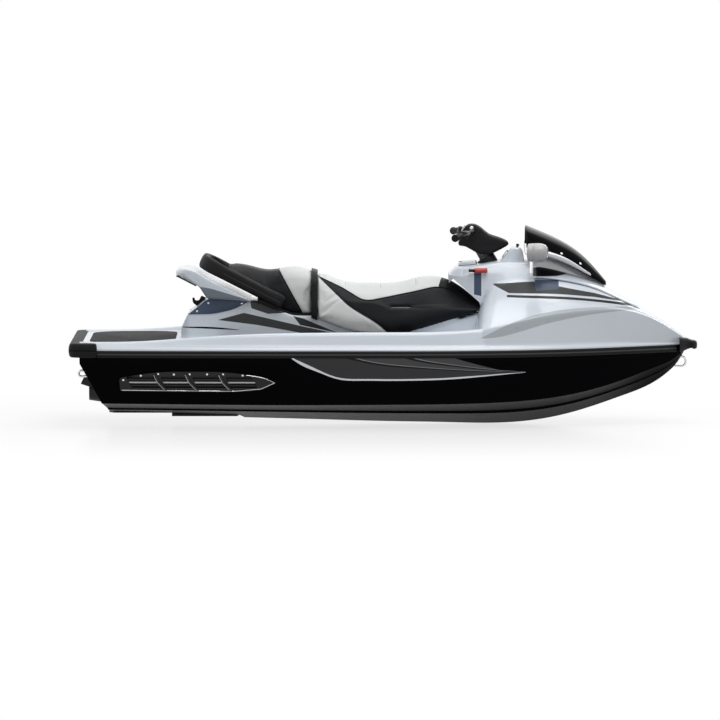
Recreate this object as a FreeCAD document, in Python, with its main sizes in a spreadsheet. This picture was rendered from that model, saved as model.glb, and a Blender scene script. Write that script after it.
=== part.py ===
"""Three-seat personal watercraft: hull and deck, lift-off seat, steering, hood, jet pump.

X points to the bow, Y to port and Z up; the origin is amidships at the waterline.
"""
import FreeCAD, Part
import Sketcher
import math
import os

V = FreeCAD.Vector
doc = FreeCAD.newDocument("PersonalWatercraft")

# ---------------------------------------------------------------- driving sizes
SIZES = (
    # hull and deck
    ("hull_length", 3180),
    ("hull_beam", 1190),
    ("keel_depth", 250),
    ("sheer_height", 170),
    ("deck_inset", 3),
    ("fit_gap", 0.4),
    ("rail_height", 37),
    ("rail_thickness", 12),
    ("flange_height", 45),
    ("transom_rake_top", 100),
    ("transom_rake_run", 165),
    ("bow_bumper_length", 60),
    ("stern_bumper_thickness", 58),
    ("bumper_height", 74),
    # engine bay and storage
    ("bay_rear", -700),
    ("bay_front", 150),
    ("bay_half_width", 200),
    ("bay_floor", -125),
    ("engine_length", 560),
    ("engine_width", 300),
    ("engine_height", 280),
    ("hatch_rear", -470),
    ("hatch_front", 240),
    ("hatch_half_width", 130),
    ("bin_rear", 880),
    ("bin_front", 1190),
    ("bin_half_width", 145),
    ("bin_floor", 235),
    ("bin_rim", 396),
    ("bin_wall", 4),
    ("bin_flange", 14),
    # pedestal and seat
    ("pedestal_half_width", 178),
    ("seat_side_gap", 5),
    ("seat_half_width", 215),
    ("seat_base_thickness", 10),
    ("tail_half_width", 172),
    ("handle_height", 78),
    ("handle_thickness", 40),
    ("handle_reach", 470),
    ("handle_slope", 27),
    # console, steering and hood
    ("console_half_width", 168),
    ("steering_x", 540),
    ("steering_z", 612),
    ("steering_rake", 29.4),
    ("bar_radius", 11.5),
    ("bar_half_length", 372),
    ("grip_radius", 17),
    ("grip_length", 128),
    ("hood_rim", 11),
    ("mirror_radius", 50),
    ("mirror_length", 100),
    ("mirror_half_span", 330),
    # jet pump
    ("pump_height", -78),
    ("pump_bore", 156),
    ("pump_wall", 20),
    ("tunnel_half_width", 142),
    ("tunnel_roof", 75),
    ("impeller_tip_gap", 5),
    ("shaft_radius", 11),
    ("shaft_gap", 0.5),
    ("outlet_radius", 42),
    ("nozzle_radius", 64),
    ("nozzle_wall", 7),
    ("nozzle_length", 118),
    ("pivot_radius", 8),
    ("bucket_radius", 136),
    ("bucket_wall", 7),
    ("bucket_half_width", 105),
    ("ride_plate_thickness", 9),
    ("mat_thickness", 5),
    ("eye_radius", 11),
    ("eye_wall", 9),
    ("eye_thickness", 12),
)


class Size:
    """A number together with the spreadsheet expression that gives it."""

    def __init__(self, number, text):
        self.number = float(number)
        self.text = text

    def __add__(self, other):
        return Size(self.number + float(other), "(%s + %s)" % (self.text, as_text(other)))

    def __radd__(self, other):
        return Size(float(other) + self.number, "(%s + %s)" % (as_text(other), self.text))

    def __sub__(self, other):
        return Size(self.number - float(other), "(%s - %s)" % (self.text, as_text(other)))

    def __rsub__(self, other):
        return Size(float(other) - self.number, "(%s - %s)" % (as_text(other), self.text))

    def __mul__(self, other):
        return Size(self.number * float(other), "(%s * %s)" % (self.text, as_text(other)))

    __rmul__ = __mul__

    def __truediv__(self, other):
        return Size(self.number / float(other), "(%s / %s)" % (self.text, as_text(other)))

    def __neg__(self):
        return Size(-self.number, "(0 - %s)" % self.text)

    def __float__(self):
        return self.number


def as_text(value):
    """The expression text of a Size, or a plain number as text."""
    return value.text if isinstance(value, Size) else "%.6g" % value


class Sheet:
    """The spreadsheet of driving sizes, read by attribute."""

    def __init__(self, rows):
        self.sheet = doc.addObject("Spreadsheet::Sheet", "Sizes")
        for row, (alias, value) in enumerate(rows, start=1):
            self.sheet.set("A%d" % row, alias)
            self.sheet.set("B%d" % row, "%g" % value)
            self.sheet.setAlias("B%d" % row, alias)
        doc.recompute()

    def __getattr__(self, alias):
        return Size(self.sheet.get(alias), "Sizes." + alias)


S = Sheet(SIZES)
NODES = {}


def bind(thing, prop, value):
    """Set a property, by expression where the value comes from the sheet."""
    if isinstance(value, Size):
        thing.setExpression(prop, value.text)
    else:
        setattr(thing, prop, value)


def keep(thing, label):
    """Name a finished object as a sub-part."""
    thing.Label = label
    NODES[label] = thing
    return thing


def new_body(name):
    return doc.addObject("PartDesign::Body", "Body_" + name)


# ---------------------------------------------------------------- sketches
def corner_arc(before, corner, after, radius):
    """Tangent points of a rounded corner, its arc and whether it turns left."""
    back = (before - corner).normalize()
    ahead = (after - corner).normalize()
    half = back.getAngle(ahead) / 2
    reach = radius / math.tan(half)
    centre = corner + (back + ahead).normalize() * (radius / math.sin(half))
    start = corner + back * reach
    end = corner + ahead * reach
    left = back.cross(ahead).z < 0
    first, last = (start, end) if left else (end, start)
    low = math.atan2(first.y - centre.y, first.x - centre.x)
    high = math.atan2(last.y - centre.y, last.x - centre.x)
    if high < low:
        high += 2 * math.pi
    return start, end, Part.ArcOfCircle(Part.Circle(centre, V(0, 0, 1), radius), low, high), left


def hold_point(sketch, index, place, corner):
    """Fix one sketch point to the two coordinates of a corner."""
    for kind, axis, value in (("DistanceX", -2, corner[0]), ("DistanceY", -1, corner[1])):
        number = float(value)
        if abs(number) < 1e-7:
            sketch.addConstraint(Sketcher.Constraint("PointOnObject", index, place, axis))
            continue
        held = sketch.addConstraint(Sketcher.Constraint(kind, -1, 1, index, place, number))
        if isinstance(value, Size):
            sketch.setExpression("Constraints[%d]" % held, value.text)


def new_sketch(body, name, plane, offset=0.0):
    """An empty sketch on one of the body's origin planes, moved along its normal."""
    sketch = body.newObject("Sketcher::SketchObject", name)
    feature = next(f for f in body.Origin.OriginFeatures if f.Role == plane)
    sketch.AttachmentSupport = [(feature, "")]
    sketch.MapMode = "FlatFace"
    if isinstance(offset, Size):
        sketch.setExpression("AttachmentOffset.Base.z", offset.text)
    else:
        sketch.AttachmentOffset = FreeCAD.Placement(V(0, 0, offset), FreeCAD.Rotation())
    return sketch


def draw(sketch, corners, closed=True):
    """Join the corners by lines; a third value rounds that corner."""
    spots = [V(float(c[0]), float(c[1]), 0) for c in corners]
    count = len(spots)
    ends = []
    arcs = []
    for i, corner in enumerate(corners):
        if len(corner) > 2 and float(corner[2]) > 0:
            start, end, arc, left = corner_arc(
                spots[i - 1], spots[i], spots[(i + 1) % count], float(corner[2])
            )
            ends.append((start, end))
            arcs.append((arc, left))
        else:
            ends.append((spots[i], spots[i]))
            arcs.append(None)
    lines = count if closed else count - 1
    for i in range(lines):
        sketch.addGeometry(Part.LineSegment(ends[i][1], ends[(i + 1) % count][0]), False)
    for i, corner in enumerate(corners):
        into, out = (i - 1) % count, i
        if not closed and i in (0, count - 1):
            hold_point(sketch, *((out, 1) if i == 0 else (into, 2)), corner)
            continue
        if arcs[i] is None:
            sketch.addConstraint(Sketcher.Constraint("Coincident", into, 2, out, 1))
            hold_point(sketch, out, 1, corner)
            continue
        arc, left = arcs[i]
        bend = sketch.addGeometry(arc, False)
        tip = sketch.addGeometry(Part.Point(spots[i]), True)
        hold_point(sketch, tip, 1, corner)
        sketch.addConstraint(Sketcher.Constraint("PointOnObject", tip, 1, into))
        sketch.addConstraint(Sketcher.Constraint("PointOnObject", tip, 1, out))
        sketch.addConstraint(Sketcher.Constraint("Tangent", into, 2, bend, 1 if left else 2))
        sketch.addConstraint(Sketcher.Constraint("Tangent", bend, 2 if left else 1, out, 1))
        held = sketch.addConstraint(Sketcher.Constraint("Radius", bend, float(corner[2])))
        if isinstance(corner[2], Size):
            sketch.setExpression("Constraints[%d]" % held, corner[2].text)
    return sketch


def outline(body, name, plane, corners, offset=0.0):
    return draw(new_sketch(body, name, plane, offset), corners)


def mirror_half(points):
    """A closed outline, symmetric about the centreline, from its port half."""
    port = [tuple(p) for p in points]
    starboard = [(-1.0 * p[0],) + tuple(p[1:]) for p in reversed(port)]
    return port + starboard


# ---------------------------------------------------------------- features
NORMAL_SIGN = {"XY_Plane": 1.0, "XZ_Plane": -1.0, "YZ_Plane": 1.0}


def extrude(kind, body, name, plane, corners, low, high):
    """Pad or Pocket an outline between two places along its plane's normal."""
    middle = (low + high) * (0.5 * NORMAL_SIGN[plane])
    sketch = outline(body, name + "_outline", plane, corners, middle)
    feature = body.newObject("PartDesign::" + kind, name)
    feature.Profile = sketch
    feature.SideType = "Symmetric"
    bind(feature, "Length", high - low)
    return feature


def prism(name, plane, corners, low, high):
    body = new_body(name)
    extrude("Pad", body, name + "_pad", plane, corners, low, high)
    return body


def loft(body, name, stations, straight=False):
    """Loft through (place along X, outline) stations, smooth or straight from each to the next."""
    sketches = [
        outline(body, "%s_station_%d" % (name, i), "YZ_Plane", corners, place)
        for i, (place, corners) in enumerate(stations)
    ]
    feature = body.newObject("PartDesign::AdditiveLoft", name)
    feature.Profile = sketches[0]
    feature.Sections = sketches[1:]
    feature.Ruled = straight
    return feature


def revolve(name, corners, centre_x=0.0, centre_z=0.0):
    """Turn an (along X, radius) outline about a line parallel to X."""
    body = new_body(name)
    sketch = outline(body, name + "_profile", "XZ_Plane", corners)
    turn = body.newObject("PartDesign::Revolution", name + "_turn")
    turn.Profile = sketch
    turn.ReferenceAxis = (sketch, ["H_Axis"])
    turn.Angle = 360
    place(body, centre_x, 0.0, centre_z)
    return body


def place(thing, x, y, z, rotation=None):
    """Move an object, bound to the sheet, with an optional turn."""
    if rotation is not None:
        thing.Placement = FreeCAD.Placement(V(float(x), float(y), float(z)), rotation)
    for axis, value in zip("xyz", (x, y, z)):
        if isinstance(value, Size):
            thing.setExpression("Placement.Base." + axis, value.text)
        else:
            base = thing.Placement.Base
            setattr(base, axis, value)
            thing.Placement = FreeCAD.Placement(base, thing.Placement.Rotation)
    return thing


def box(name, x0, x1, y0, y1, z0, z1):
    thing = doc.addObject("Part::Box", name)
    for prop, value in (("Length", x1 - x0), ("Width", y1 - y0), ("Height", z1 - z0)):
        bind(thing, prop, value)
    return place(thing, x0, y0, z0)


ALONG_X = FreeCAD.Rotation(V(0, 1, 0), 90)
ALONG_Y = FreeCAD.Rotation(V(1, 0, 0), -90)
ALONG_Z = FreeCAD.Rotation()


def cylinder(name, radius, length, x, y, z, rotation=ALONG_Z):
    """A cylinder that starts at the point and runs along the turned Z axis."""
    thing = doc.addObject("Part::Cylinder", name)
    bind(thing, "Radius", radius)
    bind(thing, "Height", length)
    return place(thing, x, y, z, rotation)


def fuse(name, shapes):
    thing = doc.addObject("Part::MultiFuse", name)
    thing.Shapes = list(shapes)
    return thing


def cut(name, base, tools):
    thing = doc.addObject("Part::Cut", name)
    thing.Base = base
    thing.Tool = tools[0] if len(tools) == 1 else fuse(name + "_tools", tools)
    return thing


def common(name, shapes):
    thing = doc.addObject("Part::MultiCommon", name)
    thing.Shapes = list(shapes)
    return thing


def round_edges(body, name, radius, wanted):
    """Fillet the tip's edges that the test accepts."""
    doc.recompute()
    tip = body.Tip
    edges = ["Edge%d" % (i + 1) for i, edge in enumerate(tip.Shape.Edges) if wanted(edge)]
    fillet = body.newObject("PartDesign::Fillet", name)
    fillet.Base = (tip, edges)
    bind(fillet, "Radius", radius)
    return fillet


def runs_along(axis):
    """Edge test: straight and parallel to an axis."""

    def test(edge):
        if edge.Curve.TypeId != "Part::GeomLine":
            return False
        return abs(abs(edge.Curve.Direction.dot(axis)) - 1) < 1e-6

    return test


def by_side(build, name):
    """Build a port piece and its starboard twin; build(label, side) gets side +1 or -1."""
    for word, side in (("left", 1.0), ("right", -1.0)):
        keep(build("%s_%s" % (name, word), side), "%s_%s" % (name, word))


# ---------------------------------------------------------------- shared places
HALF_LENGTH = S.hull_length / 2
HALF_BEAM = S.hull_beam / 2
SHEER = S.sheer_height
STERN = -HALF_LENGTH
BOW = HALF_LENGTH
PUMP_FRONT = STERN + 470.0
INTAKE_FRONT = PUMP_FRONT + 640.0
DUCT_HALF_WIDTH = S.pump_bore / 2 + 6.0
TRANSOM_FOOT = S.keel_depth * 0.84
BELOW_KEEL = -400.0
RAIL_LOW = SHEER - S.rail_height

# ---------------------------------------------------------------- hull
# columns: along (share of half length), beam, keel, chine, chine_height, flange
HULL_STATIONS = (
    (-1.0, 0.925, -0.832, 0.765, -0.450, 1.0),
    (-0.8, 0.965, -0.848, 0.795, -0.460, 1.0),
    (-0.6, 0.985, -0.868, 0.810, -0.470, 1.0),
    (-0.4, 0.997, -0.895, 0.820, -0.480, 1.0),
    (-0.2, 1.000, -0.930, 0.820, -0.480, 1.0),
    (0.0, 1.000, -0.965, 0.815, -0.475, 1.0),
    (0.2, 0.982, -0.988, 0.800, -0.465, 1.0),
    (0.4, 0.905, -0.995, 0.745, -0.430, 1.0),
    (0.6, 0.725, -0.815, 0.600, -0.310, 1.0),
    (0.8, 0.435, -0.330, 0.350, 0.020, 1.0),
    (1.0, 0.076, 0.592, 0.050, 0.612, 0.22),
)
KEEL_HALF_FLAT = 0.03
STRAKE_IN, STRAKE_OUT, STRAKE_TOP = 0.47, 0.515, 0.52
CHINE_IN = 0.94


def hull_outline(beam, keel, chine, chine_height, flange, grow):
    """Vee bottom with a spray strake, chine flat, leaning topside and sheer flange."""
    edge = HALF_BEAM * beam + grow
    chine_y = HALF_BEAM * chine + grow
    keel_z = S.keel_depth * keel - grow
    chine_z = S.keel_depth * chine_height - grow
    flange_z = SHEER - S.flange_height * flange
    rise = (chine_z - keel_z) / CHINE_IN

    def bottom(share, height_share):
        return (chine_y * share, keel_z + rise * height_share)

    half = [
        bottom(KEEL_HALF_FLAT, KEEL_HALF_FLAT),
        bottom(STRAKE_IN, STRAKE_IN),
        bottom(STRAKE_OUT, STRAKE_IN),
        bottom(STRAKE_TOP, STRAKE_TOP + 0.03),
        bottom(CHINE_IN, CHINE_IN),
        bottom(1.0, CHINE_IN),
        (chine_y * 1.01, chine_z + (flange_z - chine_z) * 0.15),
        (edge, flange_z),
        (edge, SHEER),
    ]
    return mirror_half(half)


def hull_body(name, grow=0.0):
    """The outer hull form, grown outwards by a clearance."""
    body = new_body(name)
    stations = [
        (HALF_LENGTH * row[0], hull_outline(*row[1:], grow)) for row in HULL_STATIONS
    ]
    loft(body, name + "_form", stations)
    return body


def build_hull():
    """Hull with a raked transom, the pump tunnel, the intake duct and the engine bay."""
    body = hull_body("hull")
    aft = STERN - 60.0
    rake_x = STERN + S.transom_rake_run
    extrude(
        "Pocket", body, "transom_rake", "XZ_Plane",
        [
            (aft, S.transom_rake_top),
            (STERN, S.transom_rake_top),
            (rake_x, -TRANSOM_FOOT),
            (rake_x + 8.0, BELOW_KEEL),
            (aft, BELOW_KEEL),
        ],
        -1.0 * HALF_BEAM - 100.0, HALF_BEAM + 100.0,
    )
    extrude(
        "Pocket", body, "pump_tunnel", "YZ_Plane",
        [
            (-S.tunnel_half_width, BELOW_KEEL),
            (S.tunnel_half_width, BELOW_KEEL),
            (S.tunnel_half_width, S.tunnel_roof, 60.0),
            (-S.tunnel_half_width, S.tunnel_roof, 60.0),
        ],
        aft, PUMP_FRONT,
    )
    extrude(
        "Pocket", body, "intake_duct", "XZ_Plane",
        [
            (PUMP_FRONT - 1.0, S.pump_height + S.pump_bore / 2),
            (PUMP_FRONT + 70.0, S.pump_height + S.pump_bore / 2, 60.0),
            (INTAKE_FRONT, BELOW_KEEL),
            (PUMP_FRONT - 1.0, BELOW_KEEL),
        ],
        -DUCT_HALF_WIDTH, DUCT_HALF_WIDTH,
    )
    extrude(
        "Pocket", body, "engine_bay", "XY_Plane",
        [
            (S.bay_rear, -S.bay_half_width, 40.0),
            (S.bay_front, -S.bay_half_width, 40.0),
            (S.bay_front, S.bay_half_width, 40.0),
            (S.bay_rear, S.bay_half_width, 40.0),
        ],
        S.bay_floor, SHEER + 50.0,
    )
    shaft_bore = cylinder(
        "shaft_bore", S.shaft_radius + 3.0, S.bay_rear - PUMP_FRONT + 20.0,
        PUMP_FRONT - 10.0, 0.0, S.pump_height, ALONG_X,
    )
    return cut("hull_bored", body, [shaft_bore])


keep(build_hull(), "hull")


# ---------------------------------------------------------------- rub rail and bumpers
BOW_BUMPER_ROOT = BOW - 35.5
STERN_BUMPER_ROOT = STERN + 92.0


def sheer_band(name, grow, low, high):
    """A flat band that follows the sheer line, grown sideways."""
    body = new_body(name)
    stations = []
    for row in HULL_STATIONS:
        half_beam = HALF_BEAM * row[1] + grow
        stations.append((HALF_LENGTH * row[0], mirror_half([(half_beam, low), (half_beam, high)])))
    loft(body, name + "_form", stations)
    return body


def build_rub_rail():
    """Rail along both sides, cut off where the bow and stern bumpers start."""
    outer = hull_body("rail_outer", S.rail_thickness)
    inner = hull_body("rail_inner", S.fit_gap)
    band = box(
        "rail_band", STERN_BUMPER_ROOT, BOW_BUMPER_ROOT - 0.5,
        -HALF_BEAM - 50.0, HALF_BEAM + 50.0, RAIL_LOW, SHEER + 20.0,
    )
    return cut("rail_fitted", common("rail_outside", [outer, band]), [inner])


keep(build_rub_rail(), "rub_rail")


def build_bow_bumper():
    """Nose block that closes the rail at the stem."""
    return prism(
        "bow_bumper", "XY_Plane",
        [
            (BOW_BUMPER_ROOT, -HALF_BEAM * 0.20, 6.0),
            (BOW + 18.0, -58.0, 20.0),
            (BOW + S.bow_bumper_length, -30.0, 22.0),
            (BOW + S.bow_bumper_length, 30.0, 22.0),
            (BOW + 18.0, 58.0, 20.0),
            (BOW_BUMPER_ROOT, HALF_BEAM * 0.20, 6.0),
        ],
        RAIL_LOW, RAIL_LOW + S.bumper_height,
    )


def build_stern_bumper():
    """Block across the transom that wraps round both quarters."""
    back = STERN - S.stern_bumper_thickness
    side = HALF_BEAM * 0.955 + S.rail_thickness
    return prism(
        "stern_bumper", "XY_Plane",
        [
            (back, -HALF_BEAM * 0.92, 40.0),
            (back, HALF_BEAM * 0.92, 40.0),
            (STERN + 10.0, side, 40.0),
            (STERN_BUMPER_ROOT, side + 4.0),
            (STERN_BUMPER_ROOT, -side - 4.0),
            (STERN + 10.0, -side, 40.0),
        ],
        RAIL_LOW, RAIL_LOW + S.bumper_height,
    )


def fit_to_shell(name, body):
    """Take away the grown hull and deck edge so that the piece wraps round them."""
    high = RAIL_LOW + S.bumper_height + 20.0
    form = hull_body(name + "_hull_tool", S.fit_gap)
    upper = sheer_band(name + "_deck_tool", S.fit_gap + 0.2, SHEER - 1.0, high)
    return cut(name + "_fitted", cut(name + "_round_hull", body, [form]), [upper])


keep(fit_to_shell("bow_bumper", build_bow_bumper()), "bow_bumper")
keep(fit_to_shell("stern_bumper", build_stern_bumper()), "stern_bumper")

# ---------------------------------------------------------------- deck
# columns: along, beam, rim_inset, rim_height, floor_height
TRAY_STATIONS = (
    (-1.0, 0.925, 40.0, 212.0, 203.0),
    (-0.8, 0.965, 44.0, 216.0, 203.0),
    (-0.6, 0.985, 50.0, 240.0, 203.0),
    (-0.4, 0.997, 52.0, 257.0, 203.0),
    (-0.2, 1.000, 52.0, 262.0, 203.0),
    (0.0, 1.000, 52.0, 264.0, 203.0),
    (0.2, 0.982, 52.0, 268.0, 205.0),
    (0.4, 0.905, 66.0, 290.0, 250.0),
)
RIM_WIDTH = 38.0


def tray_outline(beam, rim_inset, rim_height, floor_height):
    """Side deck, bulwark rim and footwell floor."""
    edge = HALF_BEAM * beam - S.deck_inset
    rim = edge - rim_inset
    return mirror_half([
        (edge, SHEER),
        (edge - 4.0, SHEER + 31.0),
        (rim, rim_height),
        (rim - RIM_WIDTH, rim_height),
        (rim - RIM_WIDTH - 12.0, floor_height),
    ])


# columns: along, beam, knuckle y, z, upper y, z, top y, z
FRONT_STATIONS = (
    (0.3, 0.950, 524.0, 272.0, 300.0, 400.0, 222.0, 490.0),
    (0.4, 0.905, 494.0, 306.0, 318.0, 430.0, 246.0, 524.0),
    (0.5, 0.830, 442.0, 338.0, 316.0, 445.0, 256.0, 530.0),
    (0.6, 0.725, 380.0, 358.0, 294.0, 440.0, 246.0, 512.0),
    (0.7, 0.592, 306.0, 368.0, 252.0, 422.0, 214.0, 468.0),
    (0.8, 0.435, 226.0, 362.0, 188.0, 380.0, 158.0, 392.0),
    (0.9, 0.262, 138.0, 302.0, 108.0, 310.0, 72.0, 314.0),
    (1.0, 0.076, 40.0, 196.0, 30.0, 200.0, 20.0, 202.0),
)


def front_body(name, lift=0.0):
    """Front deck from the console to the stem, lifted by a clearance."""
    body = new_body(name)
    stations = []
    for along, beam, knuckle_y, knuckle_z, upper_y, upper_z, top_y, top_z in FRONT_STATIONS:
        edge = HALF_BEAM * beam - S.deck_inset
        stations.append((HALF_LENGTH * along, mirror_half([
            (edge, SHEER + lift),
            (edge - 3.0, SHEER + 12.0 + lift),
            (knuckle_y, knuckle_z + lift),
            (upper_y, upper_z + lift),
            (top_y, top_z + lift),
        ])))
    loft(body, name + "_form", stations)
    return body


# pedestal top line under the seat, stern to bow; the seat lifts up and aft off it
PEDESTAL_TOP = (
    (-1069.0, 262.0),
    (-1035.0, 335.0),
    (-992.0, 369.0),
    (-932.0, 418.0),
    (-668.0, 405.0),
    (-486.0, 333.0),
    (-380.0, 330.0),
    (-300.0, 375.0),
    (310.0, 375.0),
    (395.0, 311.0),
    (515.0, 350.0),
)

# outline of the console, side view
CONSOLE_OUTLINE = (
    (338.0, 541.0, 8.0),
    (386.0, 588.0, 20.0),
    (520.0, 598.0, 60.0),
    (604.0, 612.0, 30.0),
    (764.0, 612.0, 10.0),
    (764.0, 420.0),
    (600.0, 360.0),
    (517.0, 385.0, 10.0),
)


SEAT_NOSE_HALF = 206.0
HOOD_HINGE = (HALF_LENGTH * 0.849, 350.0)
HOOD_KNUCKLE_RADIUS = 6.0
HOOD_KNUCKLE_HALF = 60.0


def build_deck():
    """Tray, pedestal and front deck in one, cut for the console, seat nose, hatch and bin."""
    tray = new_body("deck_tray")
    loft(tray, "tray_form", [
        (HALF_LENGTH * row[0], tray_outline(*row[1:])) for row in TRAY_STATIONS
    ])
    pedestal = prism(
        "pedestal", "XZ_Plane",
        list(PEDESTAL_TOP) + [(620.0, 350.0), (620.0, 185.0), (-1069.0, 185.0)],
        -S.pedestal_half_width, S.pedestal_half_width,
    )
    round_edges(pedestal, "pedestal_corners", 40.0, lambda edge: (
        runs_along(V(0, 0, 1))(edge) and edge.CenterOfMass.x < 0
    ))
    form = fuse("deck_form", [tray, pedestal, front_body("deck_front")])
    gap = S.fit_gap
    console_seat = prism(
        "console_seat", "XZ_Plane",
        [
            (330.0, 376.0), (330.0, 640.0), (764.0 + gap, 640.0), (764.0 + gap, 420.0 - gap),
            (600.0, 360.0 - gap), (517.0, 385.0 - gap),
        ],
        -S.console_half_width - gap, S.console_half_width + gap,
    )
    nose_seat = prism(
        "seat_nose_space", "XZ_Plane",
        [(330.0, 372.0), (395.0, 311.0), (517.0, 350.5), (523.0, 384.0), (330.0, 545.0)],
        -SEAT_NOSE_HALF, SEAT_NOSE_HALF,
    )
    hatch = box(
        "engine_hatch", S.hatch_rear, S.hatch_front,
        -S.hatch_half_width, S.hatch_half_width, SHEER - 20.0, SHEER + 260.0,
    )
    bin_low = box(
        "bin_lower_space", S.bin_rear - 1.0, S.bin_front + 1.0,
        -S.bin_half_width - 1.0, S.bin_half_width + 1.0, S.bin_floor - gap, S.bin_rim + 10.0,
    )
    bin_top = box(
        "bin_upper_space", S.bin_rear - S.bin_flange - 1.0, S.bin_front + S.bin_flange + 1.0,
        -S.bin_half_width - S.bin_flange - 1.0, S.bin_half_width + S.bin_flange + 1.0,
        S.bin_rim, S.bin_rim + 240.0,
    )
    knuckle_space = cylinder(
        "hood_knuckle_space", HOOD_KNUCKLE_RADIUS + 0.5, 2.0 * HOOD_KNUCKLE_HALF + 2.0,
        HOOD_HINGE[0], -HOOD_KNUCKLE_HALF - 1.0, HOOD_HINGE[1], ALONG_Y,
    )
    return cut("deck_cut", form, [
        console_seat, nose_seat, hatch, bin_low, bin_top, knuckle_space
    ])


keep(build_deck(), "deck")


def build_front_bin():
    """Open storage tub that hangs by its flange under the hood."""
    flange = box(
        "bin_flange_plate", S.bin_rear - S.bin_flange, S.bin_front + S.bin_flange,
        -S.bin_half_width - S.bin_flange, S.bin_half_width + S.bin_flange,
        S.bin_rim + 0.3, S.bin_rim + S.bin_wall + 0.3,
    )
    outside = box(
        "bin_outside", S.bin_rear, S.bin_front, -S.bin_half_width, S.bin_half_width,
        S.bin_floor, S.bin_rim + S.bin_wall + 0.3,
    )
    inside = box(
        "bin_inside", S.bin_rear + S.bin_wall, S.bin_front - S.bin_wall,
        -S.bin_half_width + S.bin_wall, S.bin_half_width - S.bin_wall,
        S.bin_floor + S.bin_wall, S.bin_rim + 40.0,
    )
    return cut("bin_tub", fuse("bin_solid", [flange, outside]), [inside])


keep(build_front_bin(), "front_bin")


LID_REAR, LID_FRONT = 388.0, 480.0
LID_KNUCKLE = (482.0, 602.0)
LID_KNUCKLE_RADIUS = 5.0
COLLAR_RISE = 16.0
STEERING_TURN = FreeCAD.Rotation(V(0, 1, 0), -float(S.steering_rake))


def axis_point(distance):
    """A place on the steering axis, measured up from its lower centre."""
    lean = math.radians(float(S.steering_rake))
    return (
        S.steering_x - distance * math.sin(lean), 0.0, S.steering_z + distance * math.cos(lean)
    )


def build_console():
    """Steering console with the glovebox and the collar that the column turns in."""
    body = prism(
        "console", "XZ_Plane", CONSOLE_OUTLINE, -S.console_half_width, S.console_half_width
    )
    glovebox = box(
        "glovebox_space", LID_REAR + 14.0, LID_FRONT - 14.0, -88.0, 88.0, 536.0, 640.0
    )
    collar = cylinder(
        "steering_collar", 50.0, 60.0 + COLLAR_RISE, *axis_point(-60.0), STEERING_TURN
    )
    return cut("console_open", fuse("console_solid", [body, collar]), [glovebox])


# ---------------------------------------------------------------- seat
# columns: place x, top z, bottom z, crown half width, shoulder half width, drop, base share
FRONT_SEAT_STATIONS = (
    (-351.0, 547.0, 312.0, 118.0, 172.0, 40.0, 1.00),
    (-207.0, 490.0, 255.0, 98.0, 176.0, 42.0, 1.00),
    (-63.0, 483.0, 229.0, 86.0, 174.0, 46.0, 1.00),
    (82.0, 489.0, 230.0, 74.0, 162.0, 50.0, 1.00),
    (226.0, 524.0, 268.0, 64.0, 146.0, 60.0, 0.98),
    (370.0, 488.0, 313.0, 58.0, 132.0, 62.0, 0.95),
    (514.0, 376.0, 357.0, 56.0, 118.0, 10.0, 0.92),
)
REAR_SEAT_STATIONS = (
    (-826.0, 597.0, 548.0, 70.0, 118.0, 22.0, 1.0),
    (-716.0, 576.0, 455.0, 92.0, 140.0, 36.0, 1.0),
    (-606.0, 554.0, 405.0, 104.0, 148.0, 38.0, 1.0),
    (-496.0, 571.0, 350.0, 113.0, 155.0, 38.0, 1.0),
    (-386.0, 558.0, 325.0, 118.0, 158.0, 38.0, 1.0),
)


def seat_outline(top, bottom, crown, shoulder, drop, base_share, widest):
    """Saddle section: skirt, shoulder and crown."""
    base = widest * base_share
    return mirror_half([
        (base, bottom),
        (base, bottom + (top - bottom) * 0.28),
        (shoulder, top - drop),
        (crown, top),
    ])


SEAT_UNDERSIDE = S.seat_base_thickness + 2.0 * S.fit_gap


def seat_cavity(name, raised):
    """Space over the pedestal up to a height over its crest."""
    side = S.pedestal_half_width + S.seat_side_gap
    crest = [(x, z + raised) for x, z in PEDESTAL_TOP[3:]]
    return prism(
        name, "XZ_Plane",
        crest + [(560.0, 350.0 + raised), (560.0, 150.0), (-932.0, 150.0)],
        -side, side,
    )


def build_front_cushion():
    body = new_body("seat_front")
    loft(body, "seat_front_form", [
        (row[0], seat_outline(*row[1:], S.seat_half_width)) for row in FRONT_SEAT_STATIONS
    ], straight=True)
    space = seat_cavity("seat_front_space", SEAT_UNDERSIDE)
    return cut("seat_front_cut", body, [space])


def build_rear_cushion():
    body = new_body("seat_rear")
    loft(body, "seat_rear_form", [
        (row[0], seat_outline(*row[1:], S.tail_half_width)) for row in REAR_SEAT_STATIONS
    ], straight=True)
    space = seat_cavity("seat_rear_space", SEAT_UNDERSIDE)
    return cut("seat_rear_cut", body, [space])


def build_seat_base():
    """Stiff pan under both cushions, lying along the pedestal crest."""
    low = S.fit_gap
    high = S.seat_base_thickness + S.fit_gap
    half = S.pedestal_half_width - 6.0
    line = PEDESTAL_TOP[4:10]
    upper = [(x, z + high) for x, z in line]
    lower = [(x, z + low) for x, z in reversed(line)]
    return prism("seat_base", "XZ_Plane", upper + lower, -half, half)


def build_strap():
    """Passenger strap across the seat between the two cushions."""
    body = new_body("seat_strap")
    rows = ((-385.5, 564.0, 318.0), (-351.5, 555.0, 306.0))
    loft(body, "strap_form", [
        (x, seat_outline(top, bottom, 122.0, 176.0, 40.0, 1.0, S.seat_half_width))
        for x, top, bottom in rows
    ], straight=True)
    space = seat_cavity("strap_space", SEAT_UNDERSIDE)
    return cut("strap_cut", body, [space])


keep(build_console(), "steering_console")
keep(build_front_cushion(), "seat_cushion_front")
keep(build_rear_cushion(), "seat_cushion_rear")
keep(build_seat_base(), "seat_base")
keep(build_strap(), "seat_strap")


HANDLE_FOOT_X = -530.0
HANDLE_FOOT_Z = 395.0
HANDLE_BEND = 120.0


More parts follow.
